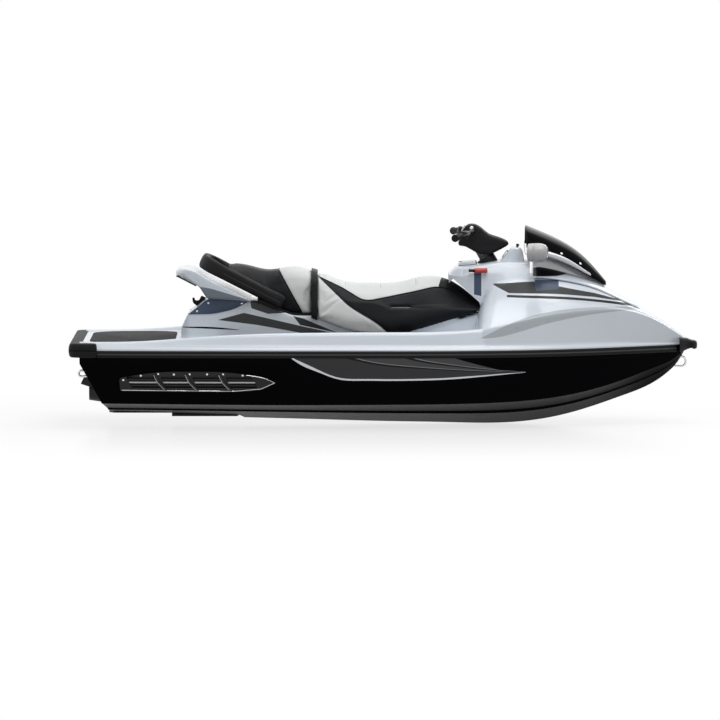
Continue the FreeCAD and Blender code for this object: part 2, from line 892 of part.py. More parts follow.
def build_grab_handle():
    """Padded U loop round the seat tail, tilted up aft about its front ends."""
    body = new_body("grab_handle")
    side = S.tail_half_width + S.fit_gap + S.handle_thickness / 2
    path = draw(new_sketch(body, "handle_path", "XY_Plane"), [
        (0.0, -side), (-S.handle_reach, -side, HANDLE_BEND),
        (-S.handle_reach, side, HANDLE_BEND), (0.0, side),
    ], closed=False)
    half_w = S.handle_thickness / 2
    half_h = S.handle_height / 2
    ring = outline(body, "handle_section", "YZ_Plane", [
        (-side - half_w, -half_h), (-side + half_w, -half_h),
        (-side + half_w, half_h), (-side - half_w, half_h),
    ])
    pipe = body.newObject("PartDesign::AdditivePipe", "handle_pipe")
    pipe.Profile = ring
    pipe.Spine = path
    pipe.SpineTangent = False
    turn = FreeCAD.Rotation(V(0, 1, 0), float(S.handle_slope))
    place(body, HANDLE_FOOT_X, 0.0, HANDLE_FOOT_Z, turn)
    return body


keep(build_grab_handle(), "grab_handle")


# ---------------------------------------------------------------- tail of the deck
def build_tail_fairing():
    """Wing-shaped fairing over the pedestal tail, under the grab handle."""
    half = S.tail_half_width + S.handle_thickness
    return prism(
        "tail_fairing", "XZ_Plane",
        [
            (-1101.0, 552.0, 6.0),
            (-1081.0, 576.0, 10.0),
            (-1010.0, 566.0, 20.0),
            (-845.0, 482.0, 30.0),
            (-700.0, 408.0),
            (-700.0, 407.4),
            (-931.8, 418.5),
            (-966.0, 470.0, 20.0),
            (-990.0, 487.0, 20.0),
            (-1098.0, 534.0, 6.0),
        ],
        -half, half,
    )


keep(build_tail_fairing(), "tail_fairing")


def build_tail_panel(label, side):
    """Dark side panel under the tail fairing, on the pedestal flank."""
    inner = S.pedestal_half_width + S.fit_gap
    outer = inner + 3.0
    low, high = (inner, outer) if side > 0 else (-outer, -inner)
    return prism(
        label, "XZ_Plane",
        [
            (-1033.0, 336.0), (-990.0, 369.0, 12.0), (-932.0, 416.0, 12.0), (-716.0, 402.0, 8.0),
            (-789.0, 363.0, 20.0), (-903.0, 337.0, 30.0),
        ],
        low, high,
    )


by_side(build_tail_panel, "tail_panel")


def build_tow_hook():
    """Hook block on the sloping back of the pedestal."""
    return prism(
        "tow_hook", "XZ_Plane",
        [
            (-990.4, 371.0), (-1010.0, 386.0, 4.0), (-1014.0, 412.0, 4.0), (-1003.0, 414.0, 3.0),
            (-998.0, 398.0, 4.0), (-978.0, 399.0, 4.0), (-966.0, 424.0, 4.0), (-940.0, 411.8),
        ],
        -16.0, 16.0,
    )


keep(build_tow_hook(), "tow_hook")


# ---------------------------------------------------------------- mats
MAT_LOW = 203.0 + 0.8


def build_footwell_mat(label, side):
    """Long mat on the footwell floor of one side."""
    near = S.pedestal_half_width + 14.0
    far = HALF_BEAM - 122.0
    corners = [
        (-880.0, near * side, 30.0), (170.0, near * side, 30.0),
        (170.0, far * side, 60.0), (-880.0, far * side, 60.0),
    ]
    return prism(label, "XY_Plane", corners, MAT_LOW, MAT_LOW + S.mat_thickness)


by_side(build_footwell_mat, "footwell_mat")


def build_platform_mat():
    """Mat on the boarding platform aft of the pedestal."""
    return prism(
        "platform_mat", "XY_Plane",
        [
            (STERN + 40.0, -430.0, 60.0), (STERN + 490.0, -440.0, 40.0),
            (STERN + 490.0, 440.0, 40.0), (STERN + 40.0, 430.0, 60.0),
        ],
        MAT_LOW, MAT_LOW + S.mat_thickness,
    )


keep(build_platform_mat(), "platform_mat")


# ---------------------------------------------------------------- side vents
def build_side_vent(label, side):
    """Long trim panel on the hull side: a frame with slanted struts and slats."""
    reach = HALF_BEAM + 60.0
    low, high = (300.0, reach) if side > 0 else (-reach, -300.0)
    body = prism(
        label, "XZ_Plane",
        [
            (-1384.0, 30.0, 20.0), (-1180.0, 64.0, 40.0), (-830.0, 64.0, 60.0),
            (-640.0, 38.0, 30.0), (-566.0, 6.0, 14.0), (-640.0, -34.0, 40.0),
            (-780.0, -46.0, 40.0), (-1378.0, -42.0, 12.0),
        ],
        low, high,
    )
    windows = (
        (-1348.0, -1190.0), (-1170.0, -1026.0), (-1006.0, -852.0), (-832.0, -690.0),
    )
    lean = 70.0
    for i, (aft, fore) in enumerate(windows):
        for part, (base, top) in enumerate(((-30.0, -2.0), (8.0, 44.0))):
            shift = [(-lean * (z + 30.0) / 74.0) for z in (base, top)]
            extrude(
                "Pocket", body, "%s_window_%d_%d" % (label, i, part), "XZ_Plane",
                [
                    (max(aft + shift[0] + 40.0, aft), base), (fore + shift[0], base),
                    (fore + shift[1], top), (max(aft + shift[1] + 40.0, aft), top),
                ],
                low - 5.0, high + 5.0,
            )
    skin = hull_body(label + "_outer_skin", 9.0)
    inside = hull_body(label + "_inner_skin", S.fit_gap)
    return cut(label + "_fitted", common(label + "_band", [body, skin]), [inside])


by_side(build_side_vent, "side_vent")


# ---------------------------------------------------------------- glovebox and gauges
LID_HALF_WIDTH = 104.0


def build_glovebox_lid():
    """Lid over the glovebox, with a hinge knuckle along its front edge."""
    rear_z, front_z = 589.2, 596.0
    plate = prism(
        "glovebox_lid", "XZ_Plane",
        [
            (LID_REAR, rear_z), (LID_FRONT, front_z), (LID_FRONT, front_z + 9.0),
            (LID_REAR + 4.0, rear_z + 13.0, 8.0),
        ],
        -LID_HALF_WIDTH, LID_HALF_WIDTH,
    )
    knuckle = cylinder(
        "lid_knuckle", LID_KNUCKLE_RADIUS, 2.0 * LID_HALF_WIDTH - 40.0,
        LID_KNUCKLE[0], -LID_HALF_WIDTH + 20.0, LID_KNUCKLE[1], ALONG_Y,
    )
    return fuse("glovebox_lid_hinged", [plate, knuckle])


keep(build_glovebox_lid(), "glovebox_lid")


def build_gauge_cluster():
    """Raised gauge housing on the console ahead of the bars."""
    base = 612.0 + S.fit_gap
    return prism(
        "gauge_cluster", "XZ_Plane",
        [
            (608.0, base), (636.0, 640.0, 10.0), (664.0, 674.0, 8.0), (686.0, 685.0, 8.0),
            (726.0, 672.0, 12.0), (736.0, base),
        ],
        -94.0, 94.0,
    )


keep(build_gauge_cluster(), "gauge_cluster")


# ---------------------------------------------------------------- steering
BAR_CENTRE = (470.0, 0.0, 768.0)
BAR_TILT = FreeCAD.Rotation(V(0, 1, 0), -12.0)
BAR_BEND = (-38.0, 150.0)
BAR_SWEEP = 66.0
BAR_MIDDLE_HALF = 72.0
SWITCH_HALF_DEPTH = 26.0
SWITCH_HALF_HEIGHT = 22.0
SWITCH_BACK = float(S.grip_length) + 8.0
NECK_RADIUS = 34.0
BORE_GAP = 0.2


def bar_sketch(body):
    """Centre line of the bar: straight middle, two rising bends, swept ends."""
    return draw(new_sketch(body, "bar_path", "XY_Plane"), [
        (BAR_BEND[0] - BAR_SWEEP, -S.bar_half_length),
        (BAR_BEND[0], -BAR_BEND[1], 90.0),
        (0.0, -BAR_MIDDLE_HALF, 60.0),
        (0.0, BAR_MIDDLE_HALF, 60.0),
        (BAR_BEND[0], BAR_BEND[1], 90.0),
        (BAR_BEND[0] - BAR_SWEEP, S.bar_half_length),
    ], closed=False)


def build_handlebar():
    """Swept steel bar in a plane that tips down towards the rider."""
    body = new_body("handlebar")
    path = bar_sketch(body)
    ring = new_sketch(body, "bar_ring", "XZ_Plane")
    yaw = math.degrees(math.atan2(BAR_SWEEP, float(S.bar_half_length) - BAR_BEND[1]))
    ring.AttachmentOffset = FreeCAD.Placement(
        V(BAR_BEND[0] - BAR_SWEEP, 0, float(S.bar_half_length)),
        FreeCAD.Rotation(V(0, 1, 0), -yaw),
    )
    ring.setExpression("AttachmentOffset.Base.z", S.bar_half_length.text)
    ring.addGeometry(Part.Circle(V(0, 0, 0), V(0, 0, 1), float(S.bar_radius)), False)
    ring.addConstraint(Sketcher.Constraint("Coincident", 0, 3, -1, 1))
    held = ring.addConstraint(Sketcher.Constraint("Radius", 0, float(S.bar_radius)))
    ring.setExpression("Constraints[%d]" % held, S.bar_radius.text)
    pipe = body.newObject("PartDesign::AdditivePipe", "bar_pipe")
    pipe.Profile = ring
    pipe.Spine = path
    pipe.SpineTangent = False
    return place(body, *BAR_CENTRE, BAR_TILT)


def bar_place(back, side):
    """A place on the outer straight of the bar, back from its end, and the way inboard."""
    end = V(BAR_BEND[0] - BAR_SWEEP, float(S.bar_half_length) * side, 0)
    bend = V(BAR_BEND[0], BAR_BEND[1] * side, 0)
    inboard = (bend - end).normalize()
    spot = V(*BAR_CENTRE) + BAR_TILT.multVec(end + inboard * back)
    return spot, BAR_TILT.multVec(inboard)


def along_bar(name, radius, length, back, side):
    """A cylinder on the bar's line, from a distance back from the end."""
    spot, inboard = bar_place(back, side)
    turn = FreeCAD.Rotation(V(0, 0, 1), inboard)
    return cylinder(name, radius, length, spot.x, spot.y, spot.z, turn)


def build_grip(label, side):
    """Rubber grip with an inner flange, bored for the bar."""
    sleeve = along_bar(label + "_sleeve", S.grip_radius, S.grip_length + 6.0, -6.0, side)
    flange = along_bar(label + "_flange", S.grip_radius + 7.0, 6.0, S.grip_length - 6.0, side)
    bore = along_bar(
        label + "_bore", S.bar_radius + BORE_GAP, S.grip_length + 60.0, -BORE_GAP, side
    )
    return cut(label + "_bored", fuse(label + "_solid", [sleeve, flange]), [bore])


def beside_bar(back, ahead, side):
    """A place in the bar's plane: back from one end of the bar and ahead of it."""
    run = V(BAR_SWEEP, float(S.bar_half_length) - BAR_BEND[1], 0).normalize()
    x = BAR_BEND[0] - BAR_SWEEP + back * run.x + ahead * run.y
    y = -float(S.bar_half_length) + back * run.y - ahead * run.x
    return (x, -side * y)


def build_switch_block(label, side):
    """Switch housing clamped on the bar inboard of the grip."""
    body = new_body(label + "_block")
    start, end = SWITCH_BACK, SWITCH_BACK + 46.0
    reach = SWITCH_HALF_DEPTH
    extrude("Pad", body, label + "_pad", "XY_Plane", [
        beside_bar(back, ahead, side) + (8.0,)
        for back, ahead in ((start, -reach), (end, -reach), (end, reach), (start, reach))
    ], -SWITCH_HALF_HEIGHT, SWITCH_HALF_HEIGHT)
    place(body, *BAR_CENTRE, BAR_TILT)
    bore = along_bar(label + "_bore", S.bar_radius + BORE_GAP, 90.0, start - 10.0, side)
    return cut(label + "_bored", body, [bore])


def build_throttle_lever():
    """Finger lever ahead of the starboard grip, rooted on the switch housing."""
    body = new_body("throttle_lever")
    root = SWITCH_BACK
    face = SWITCH_HALF_DEPTH + float(S.fit_gap)
    corners = [
        (root + 34.0, face, 1.0), (root + 34.0, 38.0, 4.0), (root - 6.0, 42.0, 10.0),
        (root - 70.0, 52.0, 10.0), (root - 112.0, 42.0, 3.0), (root - 112.0, 34.0, 3.0),
        (root - 68.0, 43.0, 10.0), (root - 2.0, 33.0, 6.0), (root + 8.0, face, 1.0),
    ]
    extrude("Pad", body, "lever_pad", "XY_Plane", [
        beside_bar(back, ahead, -1.0) + (radius,) for back, ahead, radius in corners
    ], -5.0, 5.0)
    return place(body, *BAR_CENTRE, BAR_TILT)


def build_steering_neck():
    """Column that turns on the console's collar."""
    foot = axis_point(COLLAR_RISE + float(S.fit_gap))
    return cylinder("neck_column", NECK_RADIUS, 66.0, *foot, STEERING_TURN)


def build_handlebar_pad():
    """Moulded centre cover over the clamp and the top of the column."""
    body = prism(
        "handlebar_pad", "XZ_Plane",
        [
            (388.0, 690.0, 10.0), (424.0, 688.0, 10.0), (452.0, 672.0, 20.0), (496.0, 646.0, 12.0),
            (560.0, 644.0, 14.0), (648.0, 690.0, 12.0), (658.0, 703.0, 8.0), (640.0, 716.0, 12.0),
            (598.0, 733.0, 20.0), (551.0, 746.0, 30.0), (500.0, 790.0, 20.0), (478.0, 804.0, 12.0),
            (440.0, 804.0, 12.0), (416.0, 778.0, 16.0), (392.0, 728.0, 20.0),
        ],
        -58.0, 58.0,
    )
    column_space = cylinder(
        "pad_column_space", NECK_RADIUS + 0.3, 80.0, *axis_point(COLLAR_RISE), STEERING_TURN
    )
    bar_space = cylinder(
        "pad_bar_space", S.bar_radius + 0.4, 200.0, BAR_CENTRE[0], -100.0, BAR_CENTRE[2], ALONG_Y
    )
    return cut("pad_fitted", body, [column_space, bar_space])


keep(build_handlebar(), "handlebar")
by_side(build_grip, "grip")
by_side(build_switch_block, "switch_block")
keep(build_throttle_lever(), "throttle_lever")
keep(build_steering_neck(), "steering_neck")
keep(build_handlebar_pad(), "handlebar_pad")


# ---------------------------------------------------------------- hood, windshield, mirrors
HOOD_REAR = HALF_LENGTH * 0.488
HOOD_FRONT = HALF_LENGTH * 0.847
HOOD_INSET = 8.0
# columns: along, crown height above the front deck
HOOD_STATIONS = (
    (0.4, 94.0),
    (0.5, 74.0),
    (0.6, 46.0),
    (0.7, 28.0),
    (0.8, 19.0),
    (0.9, 12.0),
)


def front_row(along):
    """The front deck's row at a share of the half length."""
    return next(row for row in FRONT_STATIONS if abs(row[0] - along) < 1e-6)


def build_hood():
    """Crowned cover over the bin, with a raised spine that carries the windshield."""
    body = new_body("hood")
    stations = []
    for along, crown in HOOD_STATIONS:
        top_y, top_z = front_row(along)[6:]
        half = top_y - HOOD_INSET
        rim = top_z + S.hood_rim
        stations.append((HALF_LENGTH * along, mirror_half([
            (half, top_z - 8.0),
            (half, rim),
            (half * 0.62, rim + (crown - S.hood_rim) * 0.8),
            (half * 0.16, top_z + crown),
        ])))
    loft(body, "hood_form", stations)
    spine = new_body("hood_spine")
    loft(spine, "spine_form", [
        (HALF_LENGTH * along, mirror_half([
            (half * SPINE_SHARE + 6.0, SPINE_FOOT - along * 382.0),
            (half * SPINE_SHARE, edge_z + 5.0),
        ]))
        for along, half, edge_z, crown_z in WINDSHIELD_STATIONS
    ], straight=True)
    limit = box("hood_limit", HOOD_REAR, HOOD_FRONT, -400.0, 400.0, 200.0, 900.0)
    deck_space = front_body("hood_deck_space", S.fit_gap + 0.1)
    visor_space = visor_body("hood_visor_space", S.fit_gap)
    whole = fuse("hood_whole", [body, spine])
    trimmed = common("hood_trimmed", [whole, limit])
    knuckle = cylinder(
        "hood_knuckle", HOOD_KNUCKLE_RADIUS, 2.0 * HOOD_KNUCKLE_HALF,
        HOOD_HINGE[0], -HOOD_KNUCKLE_HALF, HOOD_HINGE[1], ALONG_Y,
    )
    cover = cut("hood_cover", trimmed, [deck_space, visor_space])
    return fuse("hood_hinged", [cover, knuckle])


# columns: along, half width, edge z, crown z
WINDSHIELD_STATIONS = (
    (0.4680, 214.0, 690.0, 795.0),
    (0.5345, 200.0, 652.0, 752.0),
    (0.6010, 172.0, 602.0, 700.0),
    (0.6675, 126.0, 542.0, 620.0),
    (0.7340, 34.0, 480.0, 500.0),
)
SPINE_SHARE = 0.7
SPINE_FOOT = 738.6


def visor_body(name, grow=0.0):
    """Swept visor form, grown outwards by a clearance."""
    body = new_body(name)
    stations = []
    for along, half, edge_z, crown_z in WINDSHIELD_STATIONS:
        rise = crown_z - edge_z
        stations.append((HALF_LENGTH * along, mirror_half([
            (half + grow, edge_z - grow),
            (half * 0.94 + grow, edge_z + rise * 0.34),
            (half * 0.72 + grow, edge_z + rise * 0.74 + grow * 0.5),
            (half * 0.34 + grow, crown_z + grow),
        ])))
    loft(body, name + "_form", stations, straight=True)
    return body


def build_windshield():
    """Swept visor over the back of the hood."""
    return visor_body("windshield")


BARREL_FRONT = HALF_LENGTH * 0.5345
BARREL_HEIGHT = 668.0
# columns: along, near y, far y, low z, high z
MIRROR_ARM_STATIONS = (
    (0.527, 180.0, 312.0, 648.0, 676.0),
    (0.595, 156.0, 214.0, 612.0, 636.0),
    (0.663, 112.0, 146.0, 552.0, 568.0),
)


def barrel_piece(name, radius, length, start, side):
    """A cylinder on the axis of one mirror barrel, from a place along X."""
    return cylinder(
        name, radius, length, start, S.mirror_half_span * side, BARREL_HEIGHT, ALONG_X
    )


def build_mirror(label, side):
    """Barrel housing on a swept arm that runs forward along the windshield edge."""
    arm = new_body(label + "_arm")
    loft(arm, label + "_arm_form", [
        (HALF_LENGTH * along, [
            (near * side, low), (far * side, low), (far * side, high), (near * side, high)
        ])
        for along, near, far, low, high in MIRROR_ARM_STATIONS
    ], straight=True)
    rear = BARREL_FRONT - S.mirror_length
    barrel = barrel_piece(label + "_barrel", S.mirror_radius, S.mirror_length, rear, side)
    recess = barrel_piece(label + "_recess", S.mirror_radius - 5.0, 8.0, rear - 0.5, side)
    visor_space = visor_body(label + "_visor_space", S.fit_gap)
    return cut(label + "_fitted", fuse(label + "_solid", [arm, barrel]), [recess, visor_space])


def build_mirror_glass(label, side):
    """Round glass in the rear end of one barrel."""
    rear = BARREL_FRONT - S.mirror_length
    return barrel_piece(label + "_disc", S.mirror_radius - 5.4, 4.0, rear + 3.2, side)


keep(build_hood(), "hood")
keep(build_windshield(), "windshield")
by_side(build_mirror, "mirror")
by_side(build_mirror_glass, "mirror_glass")


# ---------------------------------------------------------------- engine and jet pump
ENGINE_FRONT = -60.0


def build_engine():
    """Plain block that stands for the engine."""
    return box(
        "engine_block", ENGINE_FRONT - S.engine_length, ENGINE_FRONT, -S.engine_width / 2,
        S.engine_width / 2, S.bay_floor, S.bay_floor + S.engine_height,
    )


keep(build_engine(), "engine")

PUMP_RADIUS = S.pump_bore / 2 + S.pump_wall
NOZZLE_PIVOT_X = PUMP_FRONT - 332.0
PUMP_BACK = PUMP_FRONT - 320.0
STATOR_FRONT = PUMP_FRONT - 140.0
BUCKET_X = NOZZLE_PIVOT_X - 18.0
HUB_RADIUS = 30.0
BLADE_ROOT = 22.0
VANE_COUNT = 5
BLADE_COUNT = 3
BLADE_PITCH = 42.0
PART_GAP = 0.4


def build_pump_housing():
    """Pump body and outlet cone, with stator vanes, hub and the ears of both pivots."""
    bore = S.pump_bore / 2
    front = PUMP_FRONT - PART_GAP
    shell = revolve("pump_shell", [
        (front, bore), (front, PUMP_RADIUS), (PUMP_FRONT - 210.0, PUMP_RADIUS),
        (PUMP_FRONT - 284.0, S.outlet_radius + 30.0), (PUMP_FRONT - 290.0, S.outlet_radius),
        (PUMP_BACK, S.outlet_radius), (PUMP_BACK, S.outlet_radius - 6.0),
        (PUMP_FRONT - 290.0, S.outlet_radius - 6.0), (PUMP_FRONT - 200.0, bore),
    ], 0.0, S.pump_height)
    hub = revolve("stator_hub", [
        (STATOR_FRONT, S.shaft_radius + S.shaft_gap), (STATOR_FRONT, HUB_RADIUS),
        (STATOR_FRONT - 50.0, HUB_RADIUS),
        (STATOR_FRONT - 110.0, S.shaft_radius + S.shaft_gap + 3.0),
        (STATOR_FRONT - 110.0, S.shaft_radius + S.shaft_gap),
    ], 0.0, S.pump_height)
    vanes = []
    for i in range(VANE_COUNT):
        vane = box("stator_vane_%d" % i, 0.0, 46.0, -2.5, 2.5, HUB_RADIUS - 4.0, bore + 4.0)
        turn = FreeCAD.Rotation(V(1, 0, 0), 360.0 / VANE_COUNT * (i + 0.5))
        offset = turn.multVec(V(0, -2.5, HUB_RADIUS - 4.0))
        place(vane, STATOR_FRONT - 50.0, offset.y, S.pump_height + offset.z, turn)
        vanes.append(vane)
    reach = NOZZLE_PIVOT_X - 22.0
    ears = []
    for low, high in ((S.nozzle_radius + 4.0, S.nozzle_radius + 14.0),
                      (-S.nozzle_radius - 14.0, -S.nozzle_radius - 4.0)):
        ears.append(box(
            "pump_ear_%d" % len(ears), reach, PUMP_FRONT - 265.0, -15.0, 15.0,
            S.pump_height + low, S.pump_height + high,
        ))
    inner = S.nozzle_radius + 18.0
    for low, high in ((inner, inner + 9.0), (-inner - 9.0, -inner)):
        ears.append(box(
            "pump_ear_%d" % len(ears), BUCKET_X - 14.0, PUMP_FRONT - 220.0, low, high,
            S.pump_height - 14.0, S.pump_height + 14.0,
        ))
    pin_length = S.bucket_half_width - inner
    pins = [
        cylinder("bucket_pin_0", S.pivot_radius - 1.0, pin_length, BUCKET_X, inner,
                 S.pump_height, ALONG_Y),
        cylinder("bucket_pin_1", S.pivot_radius - 1.0, pin_length, BUCKET_X,
                 -S.bucket_half_width, S.pump_height, ALONG_Y),
    ]
    holes = cylinder(
        "nozzle_pin_hole", S.pivot_radius + 0.5, 240.0, NOZZLE_PIVOT_X, 0.0,
        S.pump_height - 120.0,
    )
    solid = fuse("pump_solid", [shell, hub] + vanes + ears + pins)
    return cut("pump_drilled", solid, [holes])


def build_nozzle():
    """Steering nozzle on two vertical trunnions round the pump outlet."""
    front = NOZZLE_PIVOT_X + 12.0
    back = front - S.nozzle_length
    shell = revolve("nozzle_shell", [
        (front, S.nozzle_radius - S.nozzle_wall), (front, S.nozzle_radius),
        (front - 26.0, S.nozzle_radius), (back, S.nozzle_radius - 14.0),
        (back, S.nozzle_radius - 14.0 - S.nozzle_wall), (front - 26.0, S.nozzle_radius - S.nozzle_wall),
    ], 0.0, S.pump_height)
    reach = S.nozzle_radius + 14.0
    pins = [
        cylinder("trunnion_top", S.pivot_radius, 18.0, NOZZLE_PIVOT_X, 0.0,
                 S.pump_height + S.nozzle_radius - 4.0),
        cylinder("trunnion_bottom", S.pivot_radius, 18.0, NOZZLE_PIVOT_X, 0.0,
                 S.pump_height - reach),
    ]
    return fuse("nozzle_solid", [shell] + pins)


def build_bucket():
    """Reverse bucket: part of a drum about its own hinge, raised at rest."""
    arm_end = -26.0
    body = new_body("reverse_bucket")
    wall = S.bucket_wall
    half = S.bucket_half_width
    inner = half - wall
    sketch = outline(body, "bucket_section", "XY_Plane", [
        (-S.bucket_radius, -half), (-S.bucket_radius, half), (arm_end, half),
        (arm_end, inner), (-S.bucket_radius + wall, inner), (-S.bucket_radius + wall, -inner),
        (arm_end, -inner), (arm_end, -half),
    ])
    turn = body.newObject("PartDesign::Revolution", "bucket_turn")
    turn.Profile = sketch
    turn.ReferenceAxis = (sketch, ["V_Axis"])
    turn.Angle = 72
    place(body, BUCKET_X, 0.0, S.pump_height, FreeCAD.Rotation(V(0, 1, 0), 18))
    hubs = [
        cylinder("bucket_hub_0", 28.0, wall, BUCKET_X, inner, S.pump_height, ALONG_Y),
        cylinder("bucket_hub_1", 28.0, wall, BUCKET_X, -half, S.pump_height, ALONG_Y),
    ]
    bore = cylinder(
        "bucket_bore", S.pivot_radius - 0.5, 300.0, BUCKET_X, -150.0, S.pump_height, ALONG_Y
    )
    return cut("bucket_bored", fuse("bucket_solid", [body] + hubs), [bore])


def build_impeller():
    """Three pitched blades on a tapered hub."""
    tip = S.pump_bore / 2 - S.impeller_tip_gap
    back = STATOR_FRONT + 6.0
    hub = revolve("impeller_hub", [
        (back, S.shaft_radius + 0.05), (back, HUB_RADIUS), (back + 60.0, HUB_RADIUS - 4.0),
        (back + 84.0, S.shaft_radius + 2.0), (back + 84.0, S.shaft_radius + 0.05),
    ], 0.0, S.pump_height)
    blades = []
    pitch = FreeCAD.Rotation(V(0, 0, 1), BLADE_PITCH)
    for i in range(BLADE_COUNT):
        blade = box("impeller_blade_%d" % i, 0.0, 84.0, -2.5, 2.5, BLADE_ROOT, tip)
        turn = FreeCAD.Rotation(V(1, 0, 0), 360.0 / BLADE_COUNT * i).multiply(pitch)
        offset = turn.multVec(V(-42.0, -2.5, BLADE_ROOT))
        place(blade, back + 34.0 + offset.x, offset.y, S.pump_height + offset.z, turn)
        blades.append(blade)
    solid = fuse("impeller_solid", [hub] + blades)
    bore = revolve("impeller_bore_tool", [
        (back - 60.0, 0.0), (back + 160.0, 0.0), (back + 160.0, S.shaft_radius + 0.05),
        (back - 60.0, S.shaft_radius + 0.05),
    ], 0.0, S.pump_height)
    limit = revolve("impeller_limit", [
        (back, 0.0), (back + 84.0, 0.0), (back + 84.0, tip), (back, tip),
    ], 0.0, S.pump_height)
    return cut("impeller_bored", common("impeller_trimmed", [solid, limit]), [bore])


def build_shaft():
    """Drive shaft from the engine to the stator hub."""
    start = STATOR_FRONT - 80.0
    length = ENGINE_FRONT - S.engine_length - PART_GAP - start
    return cylinder("shaft_rod", S.shaft_radius, length, start, 0.0, S.pump_height, ALONG_X)


def build_ride_plate():
    """Plate that closes the tunnel under the pump."""
    top = S.pump_height - PUMP_RADIUS - PART_GAP
    half = S.tunnel_half_width - PART_GAP
    front = PUMP_FRONT - PART_GAP
    return prism(
        "ride_plate", "XY_Plane",
        [
            (front, -half), (front, half), (PUMP_FRONT - 300.0, half, 40.0),
            (PUMP_FRONT - 330.0, 100.0, 30.0), (PUMP_FRONT - 330.0, -100.0, 30.0),
            (PUMP_FRONT - 300.0, -half, 40.0),
        ],
        top - S.ride_plate_thickness, top,
    )


GRATE_BARS = 5


def build_intake_grate():
    """Flat grate of long bars across the mouth of the intake duct."""
    half = DUCT_HALF_WIDTH - PART_GAP
    back = PUMP_FRONT - PART_GAP
    front = back + 350.0
    body = prism(
        "intake_grate", "XY_Plane",
        [(back, -half), (front, -half, 20.0), (front, half, 20.0), (back, half)],
        -208.0, -200.0,
    )
    pitch = (2 * float(half) - 16.0) / (GRATE_BARS + 1)
    for i in range(GRATE_BARS + 1):
        low = -float(half) + 12.0 + i * pitch
        extrude(
            "Pocket", body, "grate_slot_%d" % i, "XY_Plane",
            [
                (back + 26.0, low), (front - 26.0, low),
                (front - 26.0, low + pitch - 8.0), (back + 26.0, low + pitch - 8.0),
            ],
            -230.0, -180.0,
        )
    return body


keep(build_pump_housing(), "pump_housing")
keep(build_nozzle(), "steering_nozzle")
keep(build_bucket(), "reverse_bucket")
keep(build_impeller(), "impeller")
keep(build_shaft(), "drive_shaft")
keep(build_ride_plate(), "ride_plate")
keep(build_intake_grate(), "intake_grate")


# ---------------------------------------------------------------- fittings
def eye_plate(name, x, y, z, root_x, root_z):
    """Flat lug with a round hole, running back from the hole to a root inside the shell."""
    half = S.eye_thickness / 2
    lug = cylinder(
        name + "_lug", S.eye_radius + S.eye_wall, S.eye_thickness, x, y - half, z, ALONG_Y
    )
    reach = V(root_x - float(x), 0, root_z - float(z))
    turn = FreeCAD.Rotation(V(1, 0, 0), reach)
    arm = doc.addObject("Part::Box", name + "_arm")
    width = 2 * (float(S.eye_radius) + float(S.eye_wall)) - 4.0
    arm.Length, arm.Width, arm.Height = reach.Length, float(S.eye_thickness), width
    arm.Placement = FreeCAD.Placement(V(float(x), float(y) - float(half), float(z)), turn)
    low_side = turn.multVec(V(0, 0, -width / 2))
    arm.Placement.Base = arm.Placement.Base + low_side
    hole = cylinder(
        name + "_hole", S.eye_radius, S.eye_thickness + 20.0, x, y - half - 10.0, z, ALONG_Y
    )
    return cut(name + "_drilled", fuse(name + "_solid", [lug, arm]), [hole])


def build_bow_eye():
    """Tow eye on the stem, fitted to the hull's skin."""
    lug = eye_plate("bow_eye", BOW - 16.0, 0.0, 66.0, 1500.0, 130.0)
    return cut("bow_eye_fitted", lug, [hull_body("bow_eye_skin", S.fit_gap)])


keep(build_bow_eye(), "bow_eye")


def build_stern_eye(label, side):
    """Mooring eye on the raked transom."""
    z = 40.0
    rake = float(S.transom_rake_run) / (float(S.transom_rake_top) + float(TRANSOM_FOOT))
    face_x = float(STERN) + (float(S.transom_rake_top) - z) * rake
    lug = eye_plate(label, face_x - 26.0, 400.0 * side, z, face_x + 40.0, z)
    wedge = prism(
        label + "_space", "XZ_Plane",
        [
            (face_x - 60.0 * rake - 0.4, z + 60.0), (face_x + 60.0 * rake - 0.4, z - 60.0),
            (face_x + 200.0, z - 60.0), (face_x + 200.0, z + 60.0),
        ],
        400.0 * side - 20.0, 400.0 * side + 20.0,
    )
    return cut(label + "_fitted", lug, [wedge])


by_side(build_stern_eye, "stern_eye")


def build_fuel_cap():
    """Filler cap on the port shoulder of the front deck."""
    normal = V(0, 0.817, 0.577)
    turn = FreeCAD.Rotation(V(0, 0, 1), normal)
    base = V(0, 287.0, 486.0) - normal * 30.0
    disc = cylinder("fuel_cap_disc", 40.0, 42.0, HALF_LENGTH * 0.503, base.y, base.z, turn)
    return cut("fuel_cap_fitted", disc, [front_body("fuel_cap_deck_space", 0.7)])


keep(build_fuel_cap(), "fuel_cap")


LANYARD_Y = -(S.console_half_width + S.fit_gap + 14.0)
LANYARD_Z = 566.0

lanyard_cap = cylinder("lanyard_cap_rod", 14.0, 66.0, 474.0, LANYARD_Y, LANYARD_Z, ALONG_X)
lanyard_clip = cylinder("lanyard_clip_rod", 9.0, 32.0, 441.6, LANYARD_Y, LANYARD_Z, ALONG_X)
keep(lanyard_cap, "lanyard_cap")
keep(lanyard_clip, "lanyard_clip")

# ---------------------------------------------------------------- output
def check_and_write():
    doc.recompute()
    for thing in doc.Objects:
        if "Invalid" in thing.State or "Error" in thing.State:
            raise RuntimeError("%s (%s) is %s" % (thing.Name, thing.Label, thing.State))
    os.makedirs("parts", exist_ok=True)
    for label, thing in NODES.items():
        shape = thing.Shape
        if shape.isNull() or not shape.isValid():
            raise RuntimeError("%s has no valid shape" % label)
        shape.exportStep("parts/%s.step" % label)
        print("%-22s %2d solids %9.0f cm3" % (label, len(shape.Solids), shape.Volume / 1000))


check_and_write()
